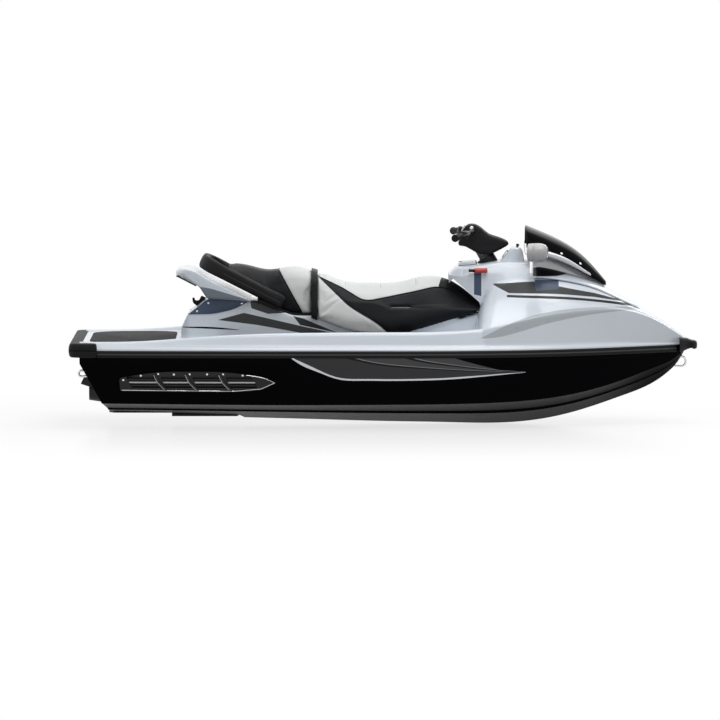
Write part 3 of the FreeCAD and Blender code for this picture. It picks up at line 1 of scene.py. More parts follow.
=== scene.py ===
"""Looks of a sit-on personal watercraft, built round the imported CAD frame.

Everything is in metres in the frame of the CAD model: +X to the bow, +Y to port, +Z up, with the
origin amidships on the still waterline. Each sub-assembly is a class that keeps its own sizes,
builds its meshes and dresses them with finishes.
"""
import sys
import functools
import logging
import math
from dataclasses import dataclass, field
from enum import Enum
from typing import Callable, Optional, Sequence

import bmesh
import bpy
import numpy as np
from mathutils import Matrix, Vector
from mathutils.bvhtree import BVHTree
from mathutils.geometry import delaunay_2d_cdt


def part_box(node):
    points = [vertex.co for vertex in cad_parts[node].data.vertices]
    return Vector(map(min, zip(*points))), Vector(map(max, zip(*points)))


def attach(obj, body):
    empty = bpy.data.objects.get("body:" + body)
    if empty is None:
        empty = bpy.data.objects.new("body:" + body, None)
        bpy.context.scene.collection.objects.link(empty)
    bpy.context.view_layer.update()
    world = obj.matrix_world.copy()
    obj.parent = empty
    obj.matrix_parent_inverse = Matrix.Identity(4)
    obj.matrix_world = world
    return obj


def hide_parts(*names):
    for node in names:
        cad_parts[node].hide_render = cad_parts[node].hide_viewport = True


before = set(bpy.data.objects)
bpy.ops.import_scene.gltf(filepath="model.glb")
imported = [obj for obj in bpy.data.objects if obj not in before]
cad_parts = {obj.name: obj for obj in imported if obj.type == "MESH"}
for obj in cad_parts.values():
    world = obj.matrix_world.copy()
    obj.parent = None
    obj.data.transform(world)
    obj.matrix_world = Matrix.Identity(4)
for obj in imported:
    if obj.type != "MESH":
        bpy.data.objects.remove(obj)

logging.basicConfig(level=logging.INFO, format="%(message)s", stream=sys.stdout)
LOG = logging.getLogger("watercraft")
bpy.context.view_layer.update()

Point2 = tuple[float, float]
Point3 = tuple[float, float, float]
Corner = tuple[float, ...]
Colour = tuple[float, float, float]
Piece = bpy.types.Object
Tree = bpy.types.NodeTree
Plug = bpy.types.NodeSocket

# ------------------------------------------------------------------ driving places from the frame
HULL_LOW, HULL_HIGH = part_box("hull")
STERN = HULL_LOW.x
BOW = HULL_HIGH.x
SHEER = HULL_HIGH.z
KEEL = HULL_LOW.z
HALF_LENGTH = (BOW - STERN) / 2
HALF_BEAM = (HULL_HIGH.y - HULL_LOW.y) / 2

# ------------------------------------------------------------------ values that classes share
SIDES = ((1.0, "left"), (-1.0, "right"))
DOWN = Vector((0, 0, -1))
STEERING_FOOT = Vector((0.540, 0.0, 0.612))
STEERING_RAKE = math.radians(29.4)
STEERING_AXIS = Vector((-math.sin(STEERING_RAKE), 0.0, math.cos(STEERING_RAKE)))
# Half width of the space that the cushions leave for the pedestal and the pan.
SPACE_HALF = 0.183
# Rays start outside the craft, at this distance from its middle planes.
RAY_START = 3.0
# Angles in degrees past which an edge stays sharp, on plain, laid-on and padded pieces.
CREASE = 32.0
FILM_CREASE = 50.0
PADDED_CREASE = 60.0
# Frames that a padded form is given to settle.
CLOTH_FRAMES = 16
# Rings of a rod's rounded start: distance ahead and size, as shares of its radius.
DOME = ((-0.9, 0.3), (-0.6, 0.75), (0.0, 1.0))


# ------------------------------------------------------------------ shader groups
class Socket(Enum):
    """Socket types used by the shared shader groups."""

    NUMBER = "NodeSocketFloat"
    COLOUR = "NodeSocketColor"


def feed(tree: Tree, node: bpy.types.Node, sockets: dict) -> None:
    """Link or set a node's inputs, each named or numbered."""
    for key, value in sockets.items():
        if isinstance(value, Plug):
            tree.links.new(value, node.inputs[key])
        else:
            node.inputs[key].default_value = value


def add_node(tree: Tree, kind: str, sockets: dict, **settings: object) -> bpy.types.Node:
    """Add a shader node.

    Args:
        tree: Tree to add it to.
        kind: Type of the node, without the start that all of them share.
        sockets: A socket to link or a value to set, for each input.
        settings: Properties of the node.

    Returns:
        The new node.
    """
    node = tree.nodes.new("ShaderNode" + kind)
    for title, value in settings.items():
        setattr(node, title, value)
    feed(tree, node, sockets)
    return node


def maths(tree: Tree, value: object, *steps: tuple[str, object]) -> Plug:
    """Run a value through Math nodes.

    Args:
        tree: Tree of the nodes.
        value: The socket or number to start from.
        steps: Operation and operand of each node.

    Returns:
        The last node's value socket.
    """
    for operation, operand in steps:
        value = add_node(tree, "Math", {0: value, 1: operand}, operation=operation).outputs[0]
    return value


def noise(tree: Tree, scale: object, detail: float, stretch: Optional[Vector] = None) -> Plug:
    """Add a noise texture in object space, stretched along axes if asked.

    Returns:
        The factor socket.
    """
    place = add_node(tree, "TexCoord", {}).outputs["Object"]
    if stretch is not None:
        place = add_node(tree, "Mapping", {"Vector": place, "Scale": stretch}).outputs["Vector"]
    sockets = {"Vector": place, "Scale": scale, "Detail": detail}
    return add_node(tree, "TexNoise", sockets).outputs["Fac"]


def seen_directly(tree: Tree) -> Plug:
    """Mask of what the camera sees, also in a reflection or through glass."""
    path = add_node(tree, "LightPath", {}).outputs
    return maths(
        tree, path["Is Camera Ray"], ("MAXIMUM", path["Is Glossy Ray"]),
        ("MAXIMUM", path["Is Transmission Ray"]),
    )


def shader_group(name: str, output: str, **inputs: Optional[float]) -> Callable:
    """Turn a function that adds nodes into one that gives a shared group, built once.

    Args:
        name: Name of the group.
        output: Name of its one output.
        inputs: Default of each input, or None for a colour.

    Returns:
        The decorator.
    """
    def sockets(tree: bpy.types.ShaderNodeTree) -> None:
        for title, default in inputs.items():
            kind = Socket.COLOUR if default is None else Socket.NUMBER
            made = tree.interface.new_socket(name=title, in_out="INPUT", socket_type=kind.value)
            if default is not None:
                made.default_value = default
        kind = Socket.COLOUR if output == "Colour" else Socket.NUMBER
        tree.interface.new_socket(name=output, in_out="OUTPUT", socket_type=kind.value)

    def wrap(draw: Callable) -> Callable[[], bpy.types.ShaderNodeTree]:
        @functools.cache
        def build() -> bpy.types.ShaderNodeTree:
            tree = bpy.data.node_groups.new(name, "ShaderNodeTree")
            sockets(tree)
            result = draw(tree, tree.nodes.new("NodeGroupInput").outputs)
            tree.links.new(result, tree.nodes.new("NodeGroupOutput").inputs[output])
            return tree

        return build

    return wrap


@shader_group("mottle", "Colour", Colour=None, Amount=0.1, Scale=8.0)
def mottle_group(tree: Tree, given: bpy.types.NodeOutputs) -> Plug:
    """Colour that drifts slightly darker and lighter over the surface."""
    value = maths(
        tree, noise(tree, given["Scale"], 5.0), ("SUBTRACT", 0.5), ("MULTIPLY", given["Amount"]),
        ("ADD", 1.0),
    )
    shade_node = add_node(tree, "HueSaturation", {"Value": value, "Color": given["Colour"]})
    return shade_node.outputs["Color"]


@shader_group("handling_marks", "Roughness", Roughness=0.3, Spread=0.1, Scale=20.0)
def handling_group(tree: Tree, given: bpy.types.NodeOutputs) -> Plug:
    """Roughness with fine wipe marks and dull patches, as handled plastic shows."""
    wipes = noise(tree, 9.0, 6.0, Vector((1.0, 4.0, 9.0)))
    return maths(
        tree, noise(tree, given["Scale"], 4.0), ("ADD", wipes), ("SUBTRACT", 1.0),
        ("MULTIPLY", given["Spread"]), ("ADD", given["Roughness"]), ("MAXIMUM", 0.03),
    )


@shader_group("dust", "Mask", Amount=0.1)
def dust_group(tree: Tree, given: bpy.types.NodeOutputs) -> Plug:
    """Mask of light dust on faces that look up."""
    facing = add_node(tree, "NewGeometry", {}).outputs["Normal"]
    parts = add_node(tree, "SeparateXYZ", {0: facing})
    return maths(
        tree, parts.outputs["Z"], ("MAXIMUM", 0.0), ("MULTIPLY", noise(tree, 14.0, 7.0)),
        ("MULTIPLY", given["Amount"]),
    )


@shader_group("edge_wear", "Mask", Width=0.003, Amount=0.5)
def edge_wear_group(tree: Tree, given: bpy.types.NodeOutputs) -> Plug:
    """Mask of rubbed edges: where the rounded normal leaves the face's own."""
    rounded = add_node(tree, "Bevel", {"Radius": given["Width"]}, samples=4).outputs["Normal"]
    plain = add_node(tree, "NewGeometry", {}).outputs["Normal"]
    dot = add_node(tree, "VectorMath", {0: rounded, 1: plain}, operation="DOT_PRODUCT")
    return maths(
        tree, 1.0, ("SUBTRACT", dot.outputs["Value"]), ("MULTIPLY", noise(tree, 60.0, 6.0)),
        ("MULTIPLY", given["Amount"]), ("MINIMUM", 1.0),
    )


@shader_group("hide_grain", "Height", Scale=400.0)
def hide_grain_group(tree: Tree, given: bpy.types.NodeOutputs) -> Plug:
    """Height of pebbled vinyl: cells with soft valleys and a fine second grain."""
    place = add_node(tree, "TexCoord", {}).outputs["Object"]
    sockets = {"Vector": place, "Scale": given["Scale"]}
    cells = add_node(tree, "TexVoronoi", sockets, feature="SMOOTH_F1")
    fine = noise(tree, 900.0, 2.0)
    return maths(tree, fine, ("MULTIPLY", 0.35), ("ADD", cells.outputs["Distance"]))


@shader_group("cast_skin", "Height", Scale=300.0)
def cast_group(tree: Tree, given: bpy.types.NodeOutputs) -> Plug:
    """Height of sand-cast or moulded skin: fine random pits."""
    return noise(tree, given["Scale"], 5.0)


@shader_group("brushed", "Height", Scale=60.0)
def brushed_group(tree: Tree, given: bpy.types.NodeOutputs) -> Plug:
    """Height of a lengthwise brushed or turned surface."""
    return noise(tree, given["Scale"], 2.0, Vector((1.0, 30.0, 30.0)))


@shader_group("tread", "Height", Scale=34.0)
def tread_group(tree: Tree, given: bpy.types.NodeOutputs) -> Plug:
    """Height of a diamond-cut foam mat: two crossed sets of grooves."""
    place = add_node(tree, "TexCoord", {}).outputs["Object"]
    parts = add_node(tree, "SeparateXYZ", {0: place}).outputs
    heights = [
        maths(
            tree, parts["X"], ("ADD", maths(tree, parts["Y"], ("MULTIPLY", slope))),
            ("MULTIPLY", given["Scale"]), ("PINGPONG", 0.5), ("GREATER_THAN", 0.09),
        )
        for slope in (1.7, -1.7)
    ]
    return maths(tree, heights[0], ("MULTIPLY", heights[1]))


# ------------------------------------------------------------------ finishes
class Skin(Enum):
    """Fine surface form of a finish."""

    SMOOTH = "smooth"
    HIDE = "hide grain"
    CAST = "cast skin"
    BRUSHED = "brushed"
    TREAD = "diamond tread"


SKIN_GROUPS: dict[Skin, Callable[[], bpy.types.ShaderNodeTree]] = {
    Skin.HIDE: hide_grain_group,
    Skin.CAST: cast_group,
    Skin.BRUSHED: brushed_group,
    Skin.TREAD: tread_group,
}
COAT_ROUGHNESS = 0.06
MARK_SCALE = 18.0
DUST_COLOUR = (0.46, 0.44, 0.41)


@dataclass(frozen=True)
class Finish:
    """One finish of the craft: its colour, gloss, fine form and wear."""

    name: str
    slot: str
    colour: Colour
    roughness: float
    metallic: float = 0.0
    coat: float = 0.0
    sheen: float = 0.0
    specular: float = 0.5
    skin: Skin = Skin.SMOOTH
    skin_scale: float = 300.0
    skin_depth: float = 0.0001
    mottle: float = 0.06
    mottle_scale: float = 6.0
    spread: float = 0.05
    worn: Optional[Colour] = None
    wear: float = 0.0
    dust: float = 0.0

    @functools.cache
    def material(self) -> bpy.types.Material:
        """The finish's node material, made the first time it is asked for."""
        made = bpy.data.materials.new(self.name)
        made.use_nodes = True
        tree = made.node_tree

        def group(shared: Callable[[], bpy.types.ShaderNodeTree], **values: object) -> Plug:
            return add_node(tree, "Group", values, node_tree=shared()).outputs[0]

        def over(mask: Plug, under: Plug, colour: Colour) -> Plug:
            sockets = {"Factor": mask, "A": under, "B": (*colour, 1.0)}
            return add_node(tree, "Mix", sockets, data_type="RGBA").outputs["Result"]

        colour = group(
            mottle_group, Colour=(*self.colour, 1.0), Amount=self.mottle, Scale=self.mottle_scale,
        )
        if self.worn is not None:
            colour = over(group(edge_wear_group, Amount=self.wear), colour, self.worn)
        if self.dust > 0.0:
            colour = over(group(dust_group, Amount=self.dust), colour, DUST_COLOUR)
        marks = group(
            handling_group, Roughness=self.roughness, Spread=self.spread, Scale=MARK_SCALE,
        )
        shader = tree.nodes["Principled BSDF"]
        feed(tree, shader, {
            "Metallic": self.metallic, "Coat Weight": self.coat, "Coat Roughness": COAT_ROUGHNESS,
            "Sheen Weight": self.sheen, "Specular IOR Level": self.specular,
            "Base Color": colour, "Roughness": marks,
        })
        if self.skin is not Skin.SMOOTH:
            height = group(SKIN_GROUPS[self.skin], Scale=self.skin_scale)
            bump = add_node(tree, "Bump", {"Distance": self.skin_depth, "Height": height})
            feed(tree, shader, {"Normal": bump.outputs["Normal"]})
        return made


WHITE_GEL = Finish(
    "white_gelcoat", "deck_white", (0.725, 0.78, 0.85), 0.22, coat=0.4, mottle=0.05,
    mottle_scale=2.5, spread=0.06,
)
BLACK_GEL = Finish(
    "black_gelcoat", "hull_black", (0.003, 0.003, 0.004), 0.26, specular=0.012, mottle=0.3,
    spread=0.08, dust=0.015,
)
BLUE_GREY = Finish(
    "blue_grey_panel", "panel_grey", (0.062, 0.090, 0.150), 0.30, specular=0.3, mottle=0.12,
)
# Steel grey for stripes and small parts, and for a painted shadow on the pedestal under the seat
# and grab handle.
STEEL_GREY = Finish(
    "steel_grey_stripes_and_painted_shadow", "panel_grey", (0.058, 0.059, 0.061), 0.34, specular=0.2, mottle=0.15,
    mottle_scale=4.0,
)
BLADE_GREY = Finish(
    "blade_grey", "panel_grey", (0.115, 0.115, 0.120), 0.34, specular=0.2, mottle=0.15,
    mottle_scale=4.0,
)
# Grey for painted shade on the lower flanks of the tail wing.
PAINTED_SHADE_GREY = Finish("painted_shade_grey", "panel_grey", (0.20, 0.23, 0.26), 0.32, specular=0.3, mottle=0.1)
BLADE_DARK = Finish(
    "blade_dark", "trim_black", (0.060, 0.060, 0.064), 0.34, specular=0.2, mottle=0.2
)
GRAPHITE = Finish(
    "graphite_stripe", "trim_black", (0.022, 0.023, 0.025), 0.32, specular=0.25, mottle=0.3,
)
# Pale grey for painted shade in the swoosh on the bow flanks and for painted highlight lines on
# the hull blades.
PALE_GREY_SHADE_AND_HIGHLIGHT = Finish("pale_grey_painted_shade_and_highlight", "panel_grey", (0.46, 0.50, 0.54), 0.28, coat=0.2)
SILVER_LINE = Finish("silver_line", "silver_paint", (0.62, 0.64, 0.66), 0.25, metallic=0.75)
# Black for painted lines and seams, and for painted shade in the hood recess, along the pedestal's
# foot and behind the side vents.
BLACK_LINE = Finish("black_line", "trim_black", (0.006, 0.006, 0.007), 0.3, specular=0.15)
CHROME = Finish(
    "bright_trim", "eye_steel", (0.72, 0.73, 0.75), 0.12, metallic=1.0, spread=0.06,
)
MIRROR_GREY = Finish(
    "mirror_grey", "silver_paint", (0.47, 0.475, 0.47), 0.28, coat=0.4, mottle=0.05
)
# Silver for mouldings, and for painted highlights on the vent struts and slats.
SILVER = Finish(
    "silver_moulding_and_painted_highlight", "silver_paint", (0.56, 0.57, 0.59), 0.26, metallic=0.35, coat=0.4,
)
RUBBER = Finish(
    "rail_rubber", "bumper_rubber", (0.008, 0.008, 0.009), 0.55, specular=0.15, skin=Skin.CAST,
    skin_scale=420.0, skin_depth=0.00012, worn=(0.07, 0.07, 0.07), wear=0.5, dust=0.05,
)
RAIL_INSERT = Finish(
    "rail_insert", "bumper_rubber", (0.050, 0.052, 0.055), 0.42, specular=0.3, skin=Skin.CAST,
    skin_scale=420.0,
)
BLACK_PLASTIC = Finish(
    "moulded_black", "trim_black", (0.007, 0.007, 0.008), 0.42, specular=0.18, skin=Skin.CAST,
    skin_scale=650.0, skin_depth=0.00010, worn=(0.08, 0.08, 0.083), wear=0.4, dust=0.05,
)
BLACK_VINYL = Finish(
    "black_vinyl", "seat_vinyl", (0.006, 0.007, 0.009), 0.44, specular=0.12, skin=Skin.HIDE,
    skin_scale=520.0, skin_depth=0.00030, mottle=0.3, dust=0.04,
)
WHITE_VINYL = Finish(
    "white_vinyl", "seat_vinyl", (0.72, 0.74, 0.73), 0.46, sheen=0.05, skin=Skin.HIDE,
    skin_scale=520.0, skin_depth=0.00030, mottle=0.10, dust=0.15,
)
THREAD = Finish("seat_thread", "seat_vinyl", (0.045, 0.046, 0.048), 0.7, mottle=0.3)
PALE_THREAD = Finish("pale_thread", "seat_vinyl", (0.42, 0.43, 0.43), 0.7, mottle=0.3)
BOOT_GREY = Finish(
    "boot_grey", "bumper_rubber", (0.13, 0.135, 0.14), 0.55, specular=0.3, skin=Skin.CAST,
    skin_scale=420.0,
)
PADDING = Finish(
    "handle_padding", "handle_padding", (0.007, 0.007, 0.008), 0.55, specular=0.18, skin=Skin.HIDE,
    skin_scale=380.0, skin_depth=0.0004, dust=0.05,
)
MAT_FOAM = Finish(
    "mat_foam", "mat_rubber", (0.016, 0.016, 0.017), 0.75, specular=0.2, skin=Skin.TREAD,
    skin_scale=34.0, skin_depth=0.0012, dust=0.10,
)
VISOR = Finish(
    "visor_black", "visor_black", (0.003, 0.003, 0.004), 0.12, specular=0.02, spread=0.05,
    dust=0.0,
)
MIRROR_FACE = Finish(
    "mirror_face", "mirror_face", (0.85, 0.86, 0.88), 0.03, metallic=1.0, spread=0.02
)
CAST_ALLOY = Finish(
    "cast_alloy", "pump_alloy", (0.40, 0.41, 0.42), 0.42, metallic=0.9, skin=Skin.CAST,
    skin_scale=260.0, skin_depth=0.0004, worn=(0.62, 0.62, 0.63), wear=0.8, spread=0.15, dust=0.1,
)
PUMP_BLACK = Finish(
    "pump_black", "pump_alloy", (0.022, 0.023, 0.025), 0.4, specular=0.3, skin=Skin.CAST,
    skin_scale=260.0, skin_depth=0.0003, worn=(0.25, 0.25, 0.26), wear=0.6, dust=0.05,
)
STEEL = Finish(
    "turned_steel", "steel", (0.58, 0.58, 0.60), 0.24, metallic=1.0, skin=Skin.BRUSHED,
    skin_scale=40.0, skin_depth=0.0001,
)
BRIGHT_STEEL = Finish("polished_steel", "eye_steel", (0.70, 0.70, 0.72), 0.14, metallic=1.0)
ENGINE_PAINT = Finish(
    "engine_paint", "pump_alloy", (0.10, 0.105, 0.11), 0.5, metallic=0.3, skin=Skin.CAST,
    skin_scale=220.0, skin_depth=0.0006, worn=(0.5, 0.5, 0.5), wear=0.9, dust=0.3,
)
VENT_BLACK = Finish(
    "vent_black", "trim_black", (0.006, 0.006, 0.007), 0.2, specular=0.3, spread=0.08
)
RED_PLASTIC = Finish(
    "lanyard_red", "lanyard_red", (0.55, 0.035, 0.025), 0.35, coat=0.2, mottle=0.1
)
BIN_PLASTIC = Finish(
    "bin_plastic", "bin_plastic", (0.09, 0.09, 0.092), 0.6, skin=Skin.CAST, skin_scale=300.0,
)
GAUGE_GLASS = Finish(
    "gauge_glass", "trim_black", (0.012, 0.015, 0.018), 0.05, coat=1.0, spread=0.02
)


# ------------------------------------------------------------------ shapes
def soft_corners(corners: Sequence[Corner], closed: bool = True, steps: int = 4) -> list[Point2]:
    """Round the corners of an outline that carry a radius.

    Args:
        corners: (a, b) or (a, b, radius) for each corner.
        closed: Whether the last corner joins the first.
        steps: Number of pieces in each round.

    Returns:
        The points of the rounded outline, the same number for the same kinds of corner.
    """
    count = len(corners)
    points: list[Point2] = []
    for i, corner in enumerate(corners):
        here = Vector(corner[:2])
        inside = closed or 0 < i < count - 1
        if len(corner) < 3 or not inside or corner[2] <= 0:
            points.append((here.x, here.y))
            continue
        back = Vector(corners[i - 1][:2]) - here
        ahead = Vector(corners[(i + 1) % count][:2]) - here
        reach = min(corner[2], back.length * 0.48, ahead.length * 0.48)
        start = here + back.normalized() * reach
        end = here + ahead.normalized() * reach
        for k in range(steps + 1):
            t = k / steps
            spot = start * (1 - t) ** 2 + here * 2 * t * (1 - t) + end * t * t
            points.append((spot.x, spot.y))
    return points


@dataclass(frozen=True)
class Stations:
    """A table of values at places along an axis, read off a smooth curve through them."""

    rows: tuple[tuple[float, ...], ...]

    def read(self, place: float) -> list[float]:
        """Values at one place, from the natural cubic through the rows.

        Args:
            place: Where to read, in the first column's units.

        Returns:
            The other columns' values there.
        """
        xs, ys, bends = station_bends(self.rows)
        i = int(np.clip(np.searchsorted(xs, place) - 1, 0, len(xs) - 2))
        step = xs[i + 1] - xs[i]
        a = (xs[i + 1] - place) / step
        b = (place - xs[i]) / step
        cubic = (a ** 3 - a) * bends[i] + (b ** 3 - b) * bends[i + 1]
        return list(a * ys[i] + b * ys[i + 1] + cubic * step * step / 6)

    def places(
        self, spacing: float, start: Optional[float] = None, end: Optional[float] = None
    ) -> list[float]:
        """Evenly spaced places between two ends.

        Args:
            spacing: Rough distance between places.
            start: First place, or the table's first.
            end: Last place, or the table's last.

        Returns:
            The places, both ends included.
        """
        low = self.rows[0][0] if start is None else start
        high = self.rows[-1][0] if end is None else end
        count = max(2, round((high - low) / spacing) + 1)
        return [float(x) for x in np.linspace(low, high, count)]


@functools.cache
def station_bends(
    rows: tuple[tuple[float, ...], ...]
) -> tuple[np.ndarray, np.ndarray, np.ndarray]:
    """Second derivatives of the natural cubic through a table.

    Returns:
        The places, the values and their second derivatives.
    """
    table = np.array(rows, float)
    xs, ys = table[:, 0], table[:, 1:]
    count = len(xs)
    matrix = np.eye(count)
    right = np.zeros_like(ys)
    for i in range(1, count - 1):
        before, after = xs[i] - xs[i - 1], xs[i + 1] - xs[i]
        matrix[i, i - 1:i + 2] = (before / 6, (before + after) / 3, after / 6)
        right[i] = (ys[i + 1] - ys[i]) / after - (ys[i] - ys[i - 1]) / before
    return xs, ys, np.linalg.solve(matrix, right)


def new_object(name: str, data: bpy.types.ID) -> Piece:
    """Add an object with the given data to the scene."""
    made = bpy.data.objects.new(name, data)
    bpy.context.scene.collection.objects.link(made)
    return made


def new_piece(
    name: str, points: Sequence[Sequence[float]], faces: Sequence[Sequence[int]],
    crease: float = CREASE
) -> Piece:
    """Make a mesh object with smooth faces and sharp creases.

    Args:
        name: Name of the object.
        points: Vertex places in metres.
        faces: Vertex numbers of each face.
        crease: Angle in degrees past which an edge stays sharp.

    Returns:
        The new object, linked to the scene.
    """
    mesh = bpy.data.meshes.new(name)
    mesh.from_pydata([tuple(p) for p in points], [], [tuple(f) for f in faces])
    work = bmesh.new()
    work.from_mesh(mesh)
    bmesh.ops.remove_doubles(work, verts=work.verts, dist=1e-6)
    bmesh.ops.recalc_face_normals(work, faces=work.faces)
    work.to_mesh(mesh)
    work.free()
    piece = new_object(name, mesh)
    shade(piece, crease)
    return piece


def shade(piece: Piece, crease: float = CREASE) -> None:
    """Shade smoothly, with edges sharper than the crease angle kept sharp."""
    mesh = piece.data
    mesh.polygons.foreach_set("use_smooth", [True] * len(mesh.polygons))
    mesh.set_sharp_from_angle(angle=math.radians(crease))
    mesh.update()


def apply_modifiers(piece: Piece) -> Piece:
    """Replace a piece's mesh by the result of its modifiers, and return the piece."""
    graph = bpy.context.evaluated_depsgraph_get()
    graph.update()
    made = bpy.data.meshes.new_from_object(piece.evaluated_get(graph))
    old = piece.data
    piece.modifiers.clear()
    piece.data = made
    bpy.data.meshes.remove(old)
    return piece


def skin_rows(
    name: str, rows: Sequence[Sequence[Sequence[float]]], around: bool = True, caps: bool = True,
    crease: float = CREASE,
) -> Piece:
    """Stretch a skin over rows of points.

    Args:
        name: Name of the object.
        rows: Rows of places, each row of the same length.
        around: Whether each row closes on itself.
        caps: Whether the first and last rows are closed by a face.
        crease: Angle in degrees past which an edge stays sharp.

    Returns:
        The new object.
    """
    width = len(rows[0])
    points = [place for row in rows for place in row]
    faces: list[tuple[int, ...]] = []
    for i in range(len(rows) - 1):
        for j in range(width if around else width - 1):
            k = (j + 1) % width
            faces.append((i * width + j, i * width + k, (i + 1) * width + k, (i + 1) * width + j))
    if caps:
        faces.append(tuple(reversed(range(width))))
        faces.append(tuple((len(rows) - 1) * width + j for j in range(width)))
    return new_piece(name, points, faces, crease)


def both_sides(half: Sequence[Point2]) -> list[Point2]:
    """A port half outline followed by its starboard mirror image, as one loop."""
    return list(half) + [(-y, z) for y, z in reversed(half)]


def section_row(x: float, half: Sequence[Point2]) -> list[Point3]:
    """The whole section at one station, from its port half outline."""
    return [(x, y, z) for y, z in both_sides(half)]


def rectangle(a0: float, b0: float, a1: float, b1: float, radius: float = 0.0) -> list[Corner]:
    """Corners of a rectangle that all carry one radius."""
    return [(a0, b0, radius), (a1, b0, radius), (a1, b1, radius), (a0, b1, radius)]


def quarter_round(steps: int, first: int = 0) -> list[Point2]:
    """Steps round a quarter circle of radius one, as distances from its two sides.

    Args:
        steps: Number of steps in the quarter.
        first: The step to start from.

    Returns:
        A pair (1 - cosine, 1 - sine) for each of the steps.
    """
    turns = [math.pi / 2 * (k + first) / steps for k in range(steps)]
    return [(1 - math.cos(turn), 1 - math.sin(turn)) for turn in turns]


def circle(count: int) -> list[Point2]:
    """Cosine and sine of even turns round a circle."""
    turns = [2 * math.pi * k / count for k in range(count)]
    return [(math.cos(turn), math.sin(turn)) for turn in turns]


def squared_ring(count: int, across: float, upward: float) -> list[Point2]:
    """Points round a squared oval with a half width and half height of one.

    Args:
        count: Number of points.
        across: Power that squares it sideways, below one.
        upward: Power that squares it in height, below one.

    Returns:
        The points, from the end of its width.
    """
    return [
        (math.copysign(abs(c) ** across, c), math.copysign(abs(s) ** upward, s))
        for c, s in circle(count)
    ]


class Face(Enum):
    """The plane that an outline is drawn on, and the axis that it is pulled along."""

    SIDE = "XZ along Y"
    TOP = "XY along Z"
    END = "YZ along X"


def lay(plane: Face, a: float, b: float, depth: float) -> Point3:
    """The place of outline point (a, b) at a depth on a plane."""
    if plane is Face.SIDE:
        return (a, depth, b)
    if plane is Face.TOP:
        return (a, b, depth)
    return (depth, a, b)


def slab(
    name: str, plane: Face, corners: Sequence[Corner], low: float, high: float,
    soft: float = 0.0, segments: int = 3, crease: float = CREASE,
) -> Piece:
    """Pull an outline into a plate or block with softened edges.

    Args:
        name: Name of the object.
        plane: Plane of the outline.
        corners: Corners with optional radii.
        low: Lowest place along the pull.
        high: Highest place along the pull.
        soft: Width of the edge rounding.
        segments: Pieces in the edge rounding.
        crease: Angle in degrees past which an edge stays sharp.

    Returns:
        The new object.
    """
    outline = soft_corners(corners)
    rows = [[lay(plane, a, b, depth) for a, b in outline] for depth in (low, high)]
    piece = skin_rows(name, rows, crease=crease)
    if soft > 0:
        soften(piece, soft, segments, 40.0)
    return piece


def soften(piece: Piece, width: float, segments: int = 3, angle: float = 30.0) -> Piece:
    """Round a piece's edges that are sharper than an angle, and return the piece."""
    bevel = piece.modifiers.new("soft_edges", "BEVEL")
    bevel.width = width
    bevel.segments = segments
    bevel.limit_method = "ANGLE"
    bevel.angle_limit = math.radians(angle)
    bevel.use_clamp_overlap = True
    apply_modifiers(piece)
    shade(piece, 40.0)
    return piece


def combine(piece: Piece, tools: Sequence[Piece], operation: str) -> Piece:
    """Join or cut a piece with tool shapes, remove the tools, and return the piece."""
    for tool in tools:
        step = piece.modifiers.new("combine", "BOOLEAN")
        step.operation = operation
        step.solver = "EXACT"
        step.object = tool
    apply_modifiers(piece)
    for tool in tools:
        bpy.data.objects.remove(tool)
    return piece


def carve(piece: Piece, tools: Sequence[Piece], crease: float = CREASE) -> Piece:
    """Take tool shapes away from a piece, shade what is left, and return it."""
    combine(piece, tools, "DIFFERENCE")
    shade(piece, crease)
    return piece


def join(name: str, pieces: Sequence[Piece]) -> Piece:
    """Join pieces that keep their own materials into one object.

    Args:
        name: Name of the joined object.
        pieces: The objects to join; they are removed.

    Returns:
        The joined object.
    """
    work = bmesh.new()
    materials: list[Optional[bpy.types.Material]] = []
    for piece in pieces:
        start = len(work.faces)
        work.from_mesh(piece.data)
        work.faces.ensure_lookup_table()
        own = list(piece.data.materials)
        for face in work.faces[start:]:
            material = own[face.material_index] if own else None
            if material not in materials:
                materials.append(material)
            face.material_index = materials.index(material)
    mesh = bpy.data.meshes.new(name)
    work.to_mesh(mesh)
    work.free()
    for material in materials:
        mesh.materials.append(material)
    joined = new_object(name, mesh)
    for piece in pieces:
        bpy.data.objects.remove(piece)
    return joined


def turned(
    name: str, profile: Sequence[Corner], origin: Vector, axis: Vector, sides: int = 40,
    crease: float = CREASE, closed: bool = False,
) -> Piece:
    """Turn a profile round an axis.

    Args:
        name: Name of the object.
        profile: (distance along the axis, radius) with optional corner radii.
        origin: Where the axis starts.
        axis: Direction of the axis.
        sides: Number of flats round the axis.
        crease: Angle in degrees past which an edge stays sharp.
        closed: Whether the profile is a loop, as for a ring.

    Returns:
        The new object.
    """
    along = axis.normalized()
    aside = along.orthogonal().normalized()
    third = along.cross(aside)
    outline = soft_corners(profile, closed=closed)
    rows = []
    for reach, radius in outline + (outline[:1] if closed else []):
        wide = max(radius, 1e-5)
        rows.append([
            tuple(origin + along * reach + (aside * c + third * s) * wide) for c,
            s in circle(sides)
        ])
    return skin_rows(name, rows, around=True, caps=not closed, crease=crease)


def span_at(spots: Sequence[Vector], i: int) -> Vector:
    """From the point before one point of a path to the point after it."""
    return spots[min(i + 1, len(spots) - 1)] - spots[max(i - 1, 0)]


def smooth_path(points: Sequence[Sequence[float]], count: int) -> list[Vector]:
    """Evenly read points on a smooth curve through given ones.

    Args:
        points: Places that the curve passes through.
        count: Number of points to return.

    Returns:
        The points along the curve.
    """
    spots = [Vector(p) for p in points]
    runs = [0.0]
    for before, after in zip(spots, spots[1:]):
        runs.append(runs[-1] + (after - before).length)
    table = Stations(tuple((run, *spot) for run, spot in zip(runs, spots)))
    return [Vector(table.read(run)) for run in np.linspace(0.0, runs[-1], count)]


